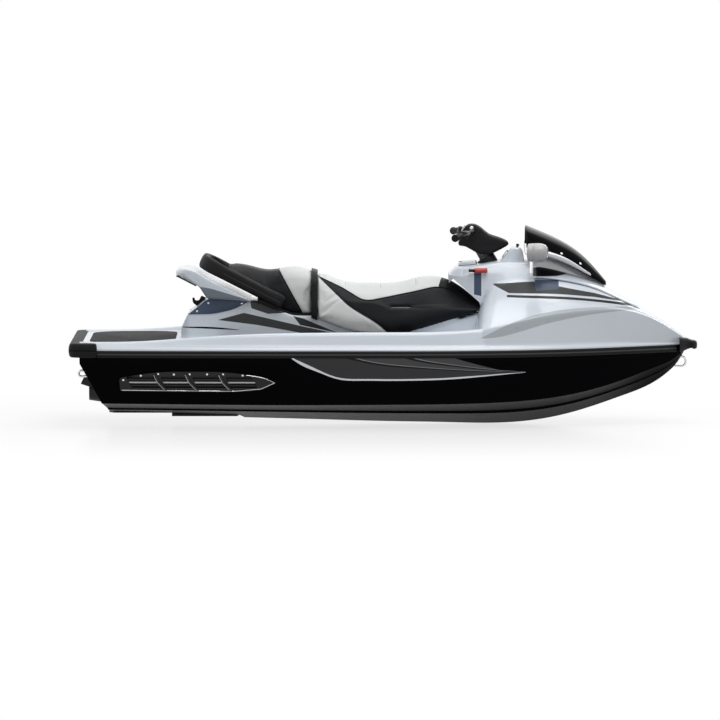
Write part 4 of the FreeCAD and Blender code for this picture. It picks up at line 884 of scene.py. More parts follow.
def rod(
    name: str, path: Sequence[Sequence[float]], radius: float | Sequence[float], sides: int = 12,
    flatten: float = 1.0, round_ends: bool = True,
) -> Piece:
    """Run a round or oval section along a path.

    Args:
        name: Name of the object.
        path: Centre places, in order.
        radius: Radius, or one for each place.
        sides: Number of sides of the section.
        flatten: Height of the section as a share of its width.
        round_ends: Whether the ends are domed.

    Returns:
        The new object.
    """
    spots = [Vector(p) for p in path]
    sizes = [radius] * len(spots) if isinstance(radius, (int, float)) else list(radius)
    rows = []
    side = None
    for i, spot in enumerate(spots):
        ahead = span_at(spots, i).normalized()
        if side is None:
            guide = Vector((0, 0, 1)) if abs(ahead.z) < 0.9 else Vector((0, 1, 0))
            side = ahead.cross(guide).normalized()
        else:
            side = (side - ahead * side.dot(ahead)).normalized()
        upward = side.cross(ahead)
        rings = [(0.0, 1.0)]
        if round_ends and i == 0:
            rings = DOME
        elif round_ends and i == len(spots) - 1:
            rings = [(-push, share) for push, share in reversed(DOME)]
        arms = [side * c + upward * (s * flatten) for c, s in circle(sides)]
        for push, share in rings:
            centre = spot + ahead * push * sizes[i]
            rows.append([tuple(centre + arm * sizes[i] * share) for arm in arms])
    return skin_rows(name, rows, crease=50.0)


def surface_of(*pieces: Piece) -> BVHTree:
    """A search tree over the faces of pieces, in the shared frame."""
    points: list[Vector] = []
    faces: list[tuple[int, ...]] = []
    for piece in pieces:
        start = len(points)
        points += [v.co.copy() for v in piece.data.vertices]
        faces += [tuple(start + i for i in p.vertices) for p in piece.data.polygons]
    return BVHTree.FromPolygons(points, faces)


def touch(
    tree: BVHTree, a: float, b: float, side: float = 1.0, plane: Face = Face.SIDE
) -> tuple[Optional[Vector], Optional[Vector]]:
    """Where a line square to a plane first meets a surface.

    Args:
        tree: The surface.
        a: First coordinate on the plane.
        b: Second coordinate on the plane.
        side: Side of the plane's axis that the line comes from.
        plane: The plane.

    Returns:
        The place and the outward normal there, or None for both.
    """
    heading = Vector(lay(plane, 0.0, 0.0, -side))
    start = Vector(lay(plane, a, b, RAY_START * side))
    hit, normal, _, _ = tree.ray_cast(start, heading)
    if hit is not None and normal.dot(heading) >= 0:
        normal = -normal
    return hit, normal


def extent(outline: Sequence[Point2]) -> tuple[list[float], list[float]]:
    """Lowest and highest values of an outline's two coordinates."""
    return [min(p[i] for p in outline) for i in (0, 1)], [
        max(p[i] for p in outline) for i in (0, 1)
    ]


def inside_outline(outline: Sequence[Point2], a: float, b: float) -> bool:
    """Whether point (a, b) is inside a closed outline."""
    inside = False
    for i, (x1, y1) in enumerate(outline):
        x2, y2 = outline[i - 1]
        if (y1 > b) != (y2 > b) and a < (x2 - x1) * (b - y1) / (y2 - y1) + x1:
            inside = not inside
    return inside


def film(
    name: str, corners: Sequence[Corner], target: BVHTree, side: float, lift: float,
    pitch: float = 0.016, plane: Face = Face.SIDE, thick: float = 0.0,
) -> Piece:
    """Lay a thin shape on a surface, as a stripe, a sewn panel or a moulded plate.

    Args:
        name: Name of the object.
        corners: Outline corners with optional radii, seen square to the plane.
        target: The surface to lie on.
        side: +1 to come from the positive side of the plane's axis, -1 from the other.
        lift: Height over the surface.
        pitch: Distance between the points inside the shape.
        plane: The plane that the outline is drawn on.
        thick: Depth of the rim down into the surface, or none.

    Returns:
        The new object.
    """
    outline = soft_corners(corners)
    loop: list[Vector] = []
    for i, here in enumerate(outline):
        there = outline[(i + 1) % len(outline)]
        run = math.dist(here, there)
        pieces = max(1, round(run / pitch))
        loop += [Vector(here).lerp(Vector(there), k / pieces) for k in range(pieces)]
    edges = [(i, (i + 1) % len(loop)) for i in range(len(loop))]
    lows, highs = extent(outline)
    spots = list(loop)
    for a in np.arange(lows[0] + pitch / 2, highs[0], pitch):
        for b in np.arange(lows[1] + pitch / 2, highs[1], pitch):
            near = min((p - Vector((a, b))).length_squared for p in loop)
            if near > (pitch * 0.4) ** 2 and inside_outline(outline, a, b):
                spots.append(Vector((a, b)))
    flat, _, faces, *_ = delaunay_2d_cdt(spots, edges, [tuple(range(len(loop)))], 1, 1e-6)
    touches = [touch(target, spot.x, spot.y, side, plane) for spot in flat]
    kept = [f for f in faces if all(touches[i][0] is not None for i in f)]
    points = [Vector() if hit is None else hit + normal * lift for hit, normal in touches]
    if thick > 0:
        rim_start = len(points)
        points += [p if n is None else p - n * thick for p, (_, n) in zip(points, touches)]
        count: dict[tuple[int, int], int] = {}
        for f in kept:
            for i, j in zip(f, f[1:] + f[:1]):
                key = (min(i, j), max(i, j))
                count[key] = count.get(key, 0) + 1
        rims = [key for key, times in count.items() if times == 1]
        kept += [(i, j, j + rim_start, i + rim_start) for i, j in rims]
    piece = new_piece(name, points, kept, FILM_CREASE)
    drop_loose(piece)
    return piece


def ribbon(points: Sequence[Point2], widths: Sequence[float], count: int = 0) -> list[Point2]:
    """Outline of a painted line whose width changes along it.

    Args:
        points: Places along its middle.
        widths: Width at each place.
        count: Number of places to smooth it to, or none.

    Returns:
        The closed outline.
    """
    spots = [Vector((a, b, w)) for (a, b), w in zip(points, widths)]
    if count:
        spots = smooth_path(spots, count)
    above, below = [], []
    for i, spot in enumerate(spots):
        run = span_at(spots, i).to_2d().normalized()
        half = max(spot.z, 0.0004) / 2
        above.append((spot.x - run.y * half, spot.y + run.x * half))
        below.append((spot.x + run.y * half, spot.y - run.x * half))
    return above + below[::-1]


def inlay(
    piece: Piece, corners: Sequence[Corner], finish: Finish, side: float = 1.0,
    plane: Face = Face.SIDE, within: float = 10.0,
) -> None:
    """Cut an outline into a skin and paint the faces inside it with another finish.

    Args:
        piece: The skin, which already has its own finish.
        corners: Outline corners with optional radii, seen square to the plane.
        finish: The finish inside the outline.
        side: +1 for the half on the positive side of the plane's axis, -1 for the other.
        plane: The plane that the outline is drawn on.
        within: Furthest depth from the plane that is painted.
    """
    material = finish.material()
    if material.name not in piece.data.materials:
        piece.data.materials.append(material)
    index = list(piece.data.materials).index(material)
    outline = soft_corners(corners)
    across = Vector(lay(plane, 0.0, 0.0, side))
    first = Vector(lay(plane, 1.0, 0.0, 0.0))
    second = Vector(lay(plane, 0.0, 1.0, 0.0))
    lows, highs = extent(outline)

    def crosses(face: bmesh.types.BMFace, low: Sequence[float], high: Sequence[float]) -> bool:
        spans = [[v.co.dot(axis) for v in face.verts] for axis in (first, second)]
        return all(min(s) <= h and max(s) >= l for s, l, h in zip(spans, low, high))

    work = bmesh.new()
    work.from_mesh(piece.data)
    active = {
        face for face in work.faces
        if face.normal.dot(across) > 0.02 and 0 < face.calc_center_median().dot(across) < within
        and crosses(face, lows, highs)
    }
    for a, b in zip(outline, outline[1:] + outline[:1]):
        near = [face for face in active if crosses(face, *extent((a, b)))]
        run = Vector((b[0] - a[0], b[1] - a[1]))
        if not near or run.length < 1e-6:
            continue
        active.difference_update(near)
        geometry = {item for face in near for item in (*face.verts, *face.edges)} | set(near)
        cut = bmesh.ops.bisect_plane(
            work, geom=list(geometry), dist=1e-6, plane_co=lay(plane, *a, 0.0),
            plane_no=lay(plane, -run.y, run.x, 0.0),
        )
        active.update(item for item in cut["geom"] if isinstance(item, bmesh.types.BMFace))
    for face in active:
        middle = face.calc_center_median()
        if inside_outline(outline, middle.dot(first), middle.dot(second)):
            face.material_index = index
    work.to_mesh(piece.data)
    work.free()


def drop_loose(piece: Piece) -> None:
    """Remove vertices that no face uses."""
    work = bmesh.new()
    work.from_mesh(piece.data)
    loose = [v for v in work.verts if not v.link_faces]
    bmesh.ops.delete(work, geom=loose, context="VERTS")
    work.to_mesh(piece.data)
    work.free()
    shade(piece, FILM_CREASE)


def line_on(
    name: str, points: Sequence[Point2], target: BVHTree, side: float, radius: float,
    lift: float = 0.0, plane: Face = Face.SIDE, pitch: float = 0.014, flatten: float = 0.6,
    bends: bool = True,
) -> Piece:
    """Run a bead, seam or groove line along a surface.

    Args:
        name: Name of the object.
        points: Places of the line, seen square to the plane.
        target: The surface to lie on.
        side: Side of the plane's axis that it is on.
        radius: Radius of the bead.
        lift: Height of its centre over the surface.
        plane: The plane that the points are drawn on.
        pitch: Distance between points of the bead.
        flatten: Height of the bead as a share of its width.
        bends: Whether the line curves smoothly through the points.

    Returns:
        The new object.
    """
    run = sum(math.dist(a, b) for a, b in zip(points, points[1:]))
    count = max(4, round(run / pitch))
    if bends and len(points) > 2:
        flat = [(p.x, p.y) for p in smooth_path([(a, b, 0.0) for a, b in points], count)]
    else:
        flat = []
        for a, b in zip(points, points[1:]):
            parts = max(1, round(math.dist(a, b) / pitch))
            flat += [tuple(Vector(a).lerp(Vector(b), k / parts)) for k in range(parts)]
        flat.append(tuple(points[-1]))
    touches = [touch(target, a, b, side, plane) for a, b in flat]
    path = [hit + normal * lift for hit, normal in touches if hit is not None]
    return rod(name, path, radius, sides=8, flatten=flatten)


def button(
    name: str, centre: Vector, normal: Vector, radius: float, height: float, dish: float = 0.3
) -> Piece:
    """A round screw head or cap with a domed rim and a small socket."""
    return turned(
        name,
        [(-height, radius * 0.9), (height * 0.4, radius, radius * 0.3),
         (height, radius * 0.55, radius * 0.2), (height, radius * 0.36),
         (height * (1 - dish), radius * 0.3), (height * (1 - dish), 0.0)],
        centre, normal, sides=20,
    )


def painted(piece: Piece, finish: Finish) -> Piece:
    """Give a piece its finish before it is joined to others, and return it."""
    piece.data.materials.clear()
    piece.data.materials.append(finish.material())
    return piece


# ------------------------------------------------------------------ shared ways of a sub-assembly
@dataclass
class Assembly:
    """A group of pieces that ride on one CAD body."""

    body: str = field(default="hull_unit", init=False)

    def place(self, piece: Piece, finish: Finish, node: str = "") -> Piece:
        """Dress a piece, set it on the body and report it.

        Args:
            piece: The object to place.
            finish: Its finish, unless it already carries materials.
            node: CAD node that it replaces, or none.

        Returns:
            The piece.
        """
        if not piece.data.materials:
            piece.data.materials.append(finish.material())
        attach(piece, self.body)
        if node:
            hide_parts(node)
        LOG.info("%s: %s, %d faces", type(self).__name__, piece.name, len(piece.data.polygons))
        return piece

    def assemble(
        self, name: str, parts: Sequence[Piece], finish: Finish, node: str, crease: float = 0.0
    ) -> Piece:
        """Join painted parts into one piece and place it.

        Args:
            name: Name of the whole.
            parts: The painted parts; they are removed.
            finish: The finish for the whole, used only if it carries no materials of its own.
            node: CAD node that it replaces.
            crease: Angle in degrees past which an edge stays sharp, or none to leave the shading.

        Returns:
            The joined piece.
        """
        whole = join(name, parts)
        if crease > 0:
            shade(whole, crease)
        return self.place(whole, finish, node)

    def dress(self, node: str, finish: Finish, crease: float = 35.0) -> None:
        """Give a CAD node its finish and smooth shading."""
        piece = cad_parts[node]
        for place in piece.material_slots:
            place.material = finish.material()
        shade(piece, crease)
        LOG.info("%s: dressed %s", type(self).__name__, node)

    def build(self) -> None:
        """Make and place every piece."""
        raise NotImplementedError


# ------------------------------------------------------------------ hull
HULL_TABLE = Stations((
    (-1.0, 0.925, -0.832, 0.765, -0.450, 1.0),
    (-0.8, 0.965, -0.848, 0.795, -0.460, 1.0),
    (-0.6, 0.985, -0.868, 0.810, -0.470, 1.0),
    (-0.4, 0.997, -0.895, 0.820, -0.480, 1.0),
    (-0.2, 1.000, -0.930, 0.820, -0.480, 1.0),
    (0.0, 1.000, -0.965, 0.815, -0.475, 1.0),
    (0.2, 0.982, -0.988, 0.800, -0.465, 1.0),
    (0.4, 0.905, -0.995, 0.745, -0.430, 1.0),
    (0.6, 0.725, -0.815, 0.600, -0.310, 1.0),
    (0.8, 0.435, -0.400, 0.350, 0.000, 1.0),
    (0.9, 0.262, -0.115, 0.200, 0.220, 0.70),
    (0.945, 0.180, 0.100, 0.130, 0.330, 0.50),
    (0.975, 0.124, 0.310, 0.085, 0.450, 0.35),
    (0.991, 0.092, 0.480, 0.062, 0.550, 0.26),
    (1.0, 0.076, 0.592, 0.050, 0.612, 0.22),
))


@dataclass
class Hull(Assembly):
    """Vee hull with spray strakes and chines, and the openings cut in it."""

    keel_depth: float = 0.250
    flange: float = 0.045
    spacing: float = 0.022
    tunnel_half: float = 0.142
    tunnel_roof: float = 0.075
    pump_front: float = STERN + 0.470
    bay: tuple[float, float, float, float] = (-0.700, 0.150, 0.200, -0.125)
    rake_run: float = 0.165
    parting: float = 0.011

    def half_section(self, values: Sequence[float]) -> list[Point2]:
        """Port half of a section from keel to sheer.

        Args:
            values: Beam, keel, chine, chine height and flange shares.

        Returns:
            Points (y, z) from the keel up.
        """
        beam, keel, chine, chine_height, flange = values
        edge = HALF_BEAM * beam
        chine_y = HALF_BEAM * chine
        keel_z = self.keel_depth * keel
        chine_z = self.keel_depth * chine_height
        flange_z = SHEER - self.flange * flange
        rise = (chine_z - keel_z) / 0.94
        small = min(1.0, chine_y / 0.2)
        tall = flange_z - chine_z
        return soft_corners([
            (0.0, keel_z),
            (chine_y * 0.03, keel_z + rise * 0.03, 0.02 * small),
            (chine_y * 0.47, keel_z + rise * 0.47, 0.004 * small),
            (chine_y * 0.515, keel_z + rise * 0.47, 0.003 * small),
            (chine_y * 0.52, keel_z + rise * 0.55, 0.008 * small),
            (chine_y * 0.94, keel_z + rise * 0.94, 0.004 * small),
            (chine_y, keel_z + rise * 0.94, 0.004 * small),
            (chine_y * 1.01, chine_z + tall * 0.15, 0.010 * small),
            (chine_y * 0.45 + edge * 0.55, chine_z + tall * 0.62, 0.05 * small),
            (edge - 0.010 * small, flange_z - 0.012 * small, 0.010 * small),
            (edge, flange_z, 0.003 * small),
            (edge, SHEER),
        ], closed=False, steps=3)

    def form(self, name: str) -> Piece:
        """The closed outer form of the hull."""
        rows = []
        for share in HULL_TABLE.places(self.spacing / HALF_LENGTH):
            half = self.half_section(HULL_TABLE.read(share))
            rows.append(section_row(share * HALF_LENGTH, half[1:]))
        return skin_rows(name, rows, crease=28.0)

    def tools(self) -> list[Piece]:
        """Solids for the raked transom, pump tunnel, intake duct and engine bay."""
        foot = -self.keel_depth * 0.84
        rear, front, half, floor = self.bay
        duct, roof, below, clear = 0.084, 0.0, -0.4, STERN - 0.06
        return [
            slab("transom_tool", Face.SIDE, [
                (clear, 0.100), (STERN, 0.100), (STERN + self.rake_run, foot),
                (STERN + self.rake_run + 0.008, below), (clear, below),
            ], -HALF_BEAM - 0.1, HALF_BEAM + 0.1),
            slab("tunnel_tool", Face.END, [
                (-self.tunnel_half, below), (self.tunnel_half, below),
                (self.tunnel_half, self.tunnel_roof, 0.06),
                (-self.tunnel_half, self.tunnel_roof, 0.06),
            ], clear, self.pump_front),
            slab("duct_tool", Face.SIDE, [
                (self.pump_front - 0.001, roof), (self.pump_front + 0.070, roof, 0.06),
                (self.pump_front + 0.640, below), (self.pump_front - 0.001, below),
            ], -duct, duct),
            slab(
                "bay_tool", Face.TOP, rectangle(rear, -half, front, half, 0.04), floor,
                SHEER + 0.05
            ),
        ]

    def build(self) -> None:
        """Build the hull, cut its openings and paint its flanks."""
        skin = self.form("hull_skin")
        carve(skin, self.tools(), crease=28.0)
        self.place(skin, BLACK_GEL, "hull")
        for side in (1.0, -1.0):
            self.blades(skin, side)

    def blades(self, skin: Piece, side: float) -> None:
        """Paint the grey blades on one flank, with a silver border, black parting lines and
        painted highlights above them.
        """
        border = [
            (-0.490, 0.138), (-0.425, 0.100), (-0.363, 0.072), (-0.300, 0.044), (-0.240, 0.024),
            (-0.120, 0.017), (0.013, 0.016), (0.150, 0.017), (0.297, 0.021), (0.410, 0.028),
            (0.514, 0.036), (0.625, 0.045), (0.735, 0.052),
        ]
        crest = [(0.600, 0.066), (0.500, 0.092), (0.410, 0.118), (0.335, 0.142)]
        first = [
            (-0.212, 0.142), (-0.080, 0.108), (0.108, 0.085), (0.300, 0.071), (0.500, 0.060),
            (0.735, 0.052)
        ]
        second = [
            (0.090, 0.142), (0.200, 0.114), (0.297, 0.099), (0.430, 0.081), (0.600, 0.062),
            (0.735, 0.052)
        ]
        inlay(skin, [*border, *crest], BLADE_GREY, side)
        inlay(skin, [*border, *reversed(first[:-1])], BLADE_DARK, side)
        for line in (first, second):
            widths = [self.parting * (1 - 0.8 * k / (len(line) - 1)) for k in range(len(line))]
            inlay(skin, ribbon(line, widths, 20), BLACK_LINE, side)
            # Painted highlight: a thin pale line just above each black parting line.
            raised = [(x, z + 0.9 * wide) for (x, z), wide in zip(line, widths)]
            inlay(skin, ribbon(raised, [w * 0.35 for w in widths], 20), PALE_GREY_SHADE_AND_HIGHLIGHT, side)
        widths = [0.004, 0.016, 0.013] + [0.009] * 7 + [0.007, 0.005, 0.001]
        inlay(skin, ribbon(border, widths, 40), SILVER_LINE, side)

    def side_surface(self) -> BVHTree:
        """Search tree over the plain outer form."""
        form = self.form("hull_ray_form")
        tree = surface_of(form)
        bpy.data.objects.remove(form)
        return tree


# ------------------------------------------------------------------ deck
TRAY_TABLE = Stations((
    (-1.0, 0.925, 0.040, 0.212, 0.203),
    (-0.8, 0.965, 0.044, 0.216, 0.203),
    (-0.6, 0.985, 0.050, 0.240, 0.203),
    (-0.4, 0.997, 0.052, 0.257, 0.203),
    (-0.2, 1.000, 0.052, 0.262, 0.203),
    (0.0, 1.000, 0.052, 0.264, 0.203),
    (0.2, 0.982, 0.052, 0.268, 0.205),
    (0.4, 0.905, 0.066, 0.290, 0.250),
))
FRONT_TABLE = Stations((
    (0.3, 0.950, 0.524, 0.272, 0.300, 0.400, 0.222, 0.490),
    (0.4, 0.905, 0.494, 0.306, 0.318, 0.430, 0.246, 0.524),
    (0.5, 0.830, 0.442, 0.338, 0.316, 0.445, 0.256, 0.530),
    (0.6, 0.725, 0.380, 0.358, 0.294, 0.440, 0.246, 0.512),
    (0.7, 0.592, 0.306, 0.368, 0.252, 0.422, 0.214, 0.468),
    (0.8, 0.435, 0.226, 0.362, 0.188, 0.380, 0.158, 0.392),
    (0.9, 0.262, 0.138, 0.302, 0.108, 0.310, 0.072, 0.314),
    (1.0, 0.076, 0.040, 0.196, 0.030, 0.200, 0.020, 0.202),
))
PEDESTAL_TOP: tuple[Corner, ...] = (
    (-1.069, 0.262), (-1.035, 0.335, 0.02), (-0.992, 0.369, 0.02), (-0.932, 0.418, 0.03),
    (-0.668, 0.405, 0.05), (-0.486, 0.333, 0.03), (-0.380, 0.330, 0.03), (-0.300, 0.375, 0.03),
    (0.310, 0.375, 0.02), (0.395, 0.311, 0.02), (0.515, 0.350, 0.02), (0.620, 0.352),
)


def front_half(values: Sequence[float], drop: float = 0.0) -> list[Point2]:
    """Port half of a front deck section, from the sheer up to the middle.

    Args:
        values: Beam share, then the knuckle, upper and top points.
        drop: Distance down and inwards from the skin.

    Returns:
        Points (y, z) from the sheer to the crown.
    """
    beam, knuckle_y, knuckle_z, upper_y, upper_z, top_y, top_z = values
    edge = HALF_BEAM * beam - 0.003 - drop
    small = min(1.0, edge / 0.3)
    return soft_corners([
        (edge, SHEER),
        (edge - 0.002 * small, SHEER + 0.007, 0.004 * small),
        (edge - 0.020 * small, SHEER + 0.022 * small + 0.002, 0.014 * small),
        (knuckle_y - drop, knuckle_z - drop, 0.012 * small),
        (
            (knuckle_y * 0.45 + upper_y * 0.55) - drop,
            (knuckle_z * 0.45 + upper_z * 0.55) - drop - 0.012 * small, 0.05 * small
        ),
        (upper_y - drop, upper_z - drop, 0.045 * small),
        (top_y - drop, top_z - drop, 0.040 * small),
        (0.0, top_z - drop + 0.006 * small),
    ], closed=False, steps=4)


@dataclass
class Deck(Assembly):
    """Side decks, footwells, pedestal and front deck in white gelcoat."""

    spacing: float = 0.022
    rim_width: float = 0.038
    pedestal_half: float = 0.178
    bulkhead: float = 0.477
    bulkhead_round: float = 0.075
    lean: float = 0.26
    lean_foot: float = 0.28
    lean_run: float = 0.32
    hatch: Point3 = (-0.470, 0.240, 0.130)
    bin_space: tuple[float, float, float, float, float] = (0.879, 1.191, 0.146, 0.2346, 0.396)

    def tray(self) -> Piece:
        """The open tray of side decks and footwell floor."""
        rows = []
        for share in TRAY_TABLE.places(self.spacing / HALF_LENGTH):
            beam, inset, rim_z, floor = TRAY_TABLE.read(share)
            edge = HALF_BEAM * beam - 0.003
            rim = edge - inset
            half = soft_corners([
                (edge, SHEER), (edge - 0.002, SHEER + 0.007, 0.004),
                (edge - 0.022, SHEER + 0.022, 0.012), (rim + 0.006, rim_z - 0.010, 0.008),
                (rim - 0.008, rim_z, 0.010), (rim - self.rim_width, rim_z, 0.014),
                (rim - self.rim_width - 0.012, floor, 0.014), (0.0, floor),
            ], closed=False, steps=4)
            rows.append(section_row(share * HALF_LENGTH, half[:-1]))
        return skin_rows("deck_tray", rows, crease=40.0)

    def pedestal(self) -> Piece:
        """The seat pedestal, flared at its foot and rounded along its top."""
        line = soft_corners(PEDESTAL_TOP, closed=False, steps=5)
        fine = [line[0]]
        for before, after in zip(line, line[1:]):
            parts = max(1, round((after[0] - before[0]) / 0.03))
            fine += [
                tuple(Vector(before).lerp(Vector(after), k / parts)) for k in range(1, parts + 1)
            ]
        floor = 0.200
        rows = []
        for x, top in fine:
            tuck = 0.040 * (1 - min(1.0, max(0.0, (x + 1.069) / 0.05))) ** 2
            side = self.pedestal_half - tuck
            half = soft_corners([
                (side + 0.013, floor), (side + 0.0125, floor + 0.004, 0.003),
                (side, floor + 0.018, 0.012), (side, top, min(0.018, (top - floor) * 0.3)),
                (0.0, top),
            ], closed=False, steps=4)
            rows.append(section_row(x, half[:-1]))
        return skin_rows("deck_pedestal", rows, crease=40.0)

    def front(self) -> Piece:
        """The front deck, with a rounded aft face towards the footwells."""
        rows = []
        reach = self.bulkhead_round
        for ahead, inset in quarter_round(6):
            x = self.bulkhead + reach * ahead
            half = front_half(FRONT_TABLE.read(x / HALF_LENGTH), reach * inset * 0.8)
            rows.append(section_row(x, half))
        start = (self.bulkhead + reach) / HALF_LENGTH
        for share in FRONT_TABLE.places(self.spacing / HALF_LENGTH, start, 1.0):
            rows.append(section_row(share * HALF_LENGTH, front_half(FRONT_TABLE.read(share))))
        rows = [[(self.slanted(x, z), y, z) for x, y, z in row] for row in rows]
        return skin_rows("deck_front", rows, crease=30.0)

    def slanted(self, x: float, z: float) -> float:
        """Lean the bulkhead forward with height, fading out along the deck."""
        fade = max(0.0, 1.0 - (x - self.bulkhead) / self.lean_run)
        return x + self.lean * max(0.0, z - self.lean_foot) * fade

    def build(self) -> None:
        """Build the deck, cut its openings and paint its stripes."""
        skin = self.tray()
        for part in (self.pedestal(), self.front()):
            combine(skin, [part], "UNION")
        rear, front, half = self.hatch
        x0, x1, side, floor, rim = self.bin_space
        flange = 0.014
        tools = [
            slab("hatch_tool", Face.TOP, rectangle(rear, -half, front, half, 0.03), 0.150, 0.45),
            slab("bin_tool", Face.TOP, rectangle(x0, -side, x1, side, 0.01), floor, rim + 0.01),
            slab("bin_rim_tool", Face.TOP, rectangle(
                x0 - flange, -side - flange, x1 + flange, side + flange, 0.012
            ), rim, rim + 0.24),
            slab("nose_tool", Face.SIDE, [
                (0.330, 0.372), (0.395, 0.311), (0.517, 0.3505), (0.523, 0.384), (0.330, 0.545),
            ], -0.206, 0.206),
        ]
        carve(skin, tools, crease=32.0)
        skin.name = "deck_skin"
        self.place(skin, WHITE_GEL, "deck")
        for side in (1.0, -1.0):
            self.stripes(skin, side)

    def stripes(self, skin: Piece, side: float) -> None:
        """Paint one side's grey stripes on the bow flank and pedestal, with painted shade among
        them.
        """
        # Partly the pale grey swoosh under the lettering, partly painted shade of the bow flank.
        inlay(skin, [
            (0.495, 0.231), (0.620, 0.294, 0.3), (0.750, 0.342, 0.3), (0.900, 0.370, 0.3),
            (1.060, 0.382, 0.3), (1.260, 0.380, 0.3), (1.430, 0.366), (1.200, 0.357, 0.3),
            (1.036, 0.340, 0.3), (0.847, 0.305, 0.3), (0.720, 0.268, 0.3), (0.593, 0.236, 0.2),
        ], PALE_GREY_SHADE_AND_HIGHLIGHT, side)
        inlay(skin, [
            (0.560, 0.499), (0.778, 0.515), (0.906, 0.490, 0.1), (1.100, 0.452), (1.300, 0.396),
            (1.100, 0.432), (0.906, 0.452, 0.1), (0.650, 0.455),
        ], STEEL_GREY, side)
        inlay(skin, [
            (0.785, 0.523), (0.912, 0.519), (0.912, 0.474, 0.01), (0.792, 0.466, 0.01),
        ], BLUE_GREY, side)
        line = [
            (0.640, 0.440), (0.800, 0.436), (0.960, 0.428), (1.120, 0.412), (1.300, 0.383),
            (1.370, 0.368)
        ]
        inlay(skin, ribbon(line, [0.012, 0.013, 0.013, 0.012, 0.009, 0.001], 24), GRAPHITE, side)
        # Painted shadow: a black line where the pedestal meets the side deck's rim.
        seam = ribbon(
            [(-1.064, 0.268), (-0.900, 0.264), (-0.763, 0.254)], [0.004, 0.010, 0.002], 16
        )
        for corners, finish in (
            ([(-0.876, 0.306), (-0.739, 0.344, 0.01), (-0.442, 0.275), (-0.254, 0.2345),
              (-0.438, 0.238), (-0.668, 0.280)], STEEL_GREY),
            ([(-0.480, 0.327), (-0.424, 0.313), (-0.245, 0.238), (-0.443, 0.280)], GRAPHITE),
            # Painted shadow under the grab handle and the seat.
            ([(-0.706, 0.404), (-0.631, 0.402), (-0.500, 0.346), (-0.610, 0.338),
              (-0.700, 0.368)], STEEL_GREY),
            (seam, BLACK_LINE),
        ):
            inlay(skin, corners, finish, side, within=self.pedestal_half + 0.010)


# ------------------------------------------------------------------ hood, windshield, mirrors
HOOD_TABLE = Stations((
    (0.4, 0.094), (0.5, 0.074), (0.6, 0.046), (0.7, 0.028), (0.8, 0.019), (0.9, 0.012),
))
VISOR_TABLE = Stations((
    (0.744, 0.214, 0.690, 0.795),
    (0.850, 0.200, 0.652, 0.752),
    (0.956, 0.172, 0.602, 0.700),
    (1.062, 0.126, 0.542, 0.620),
    (1.168, 0.034, 0.480, 0.500),
))


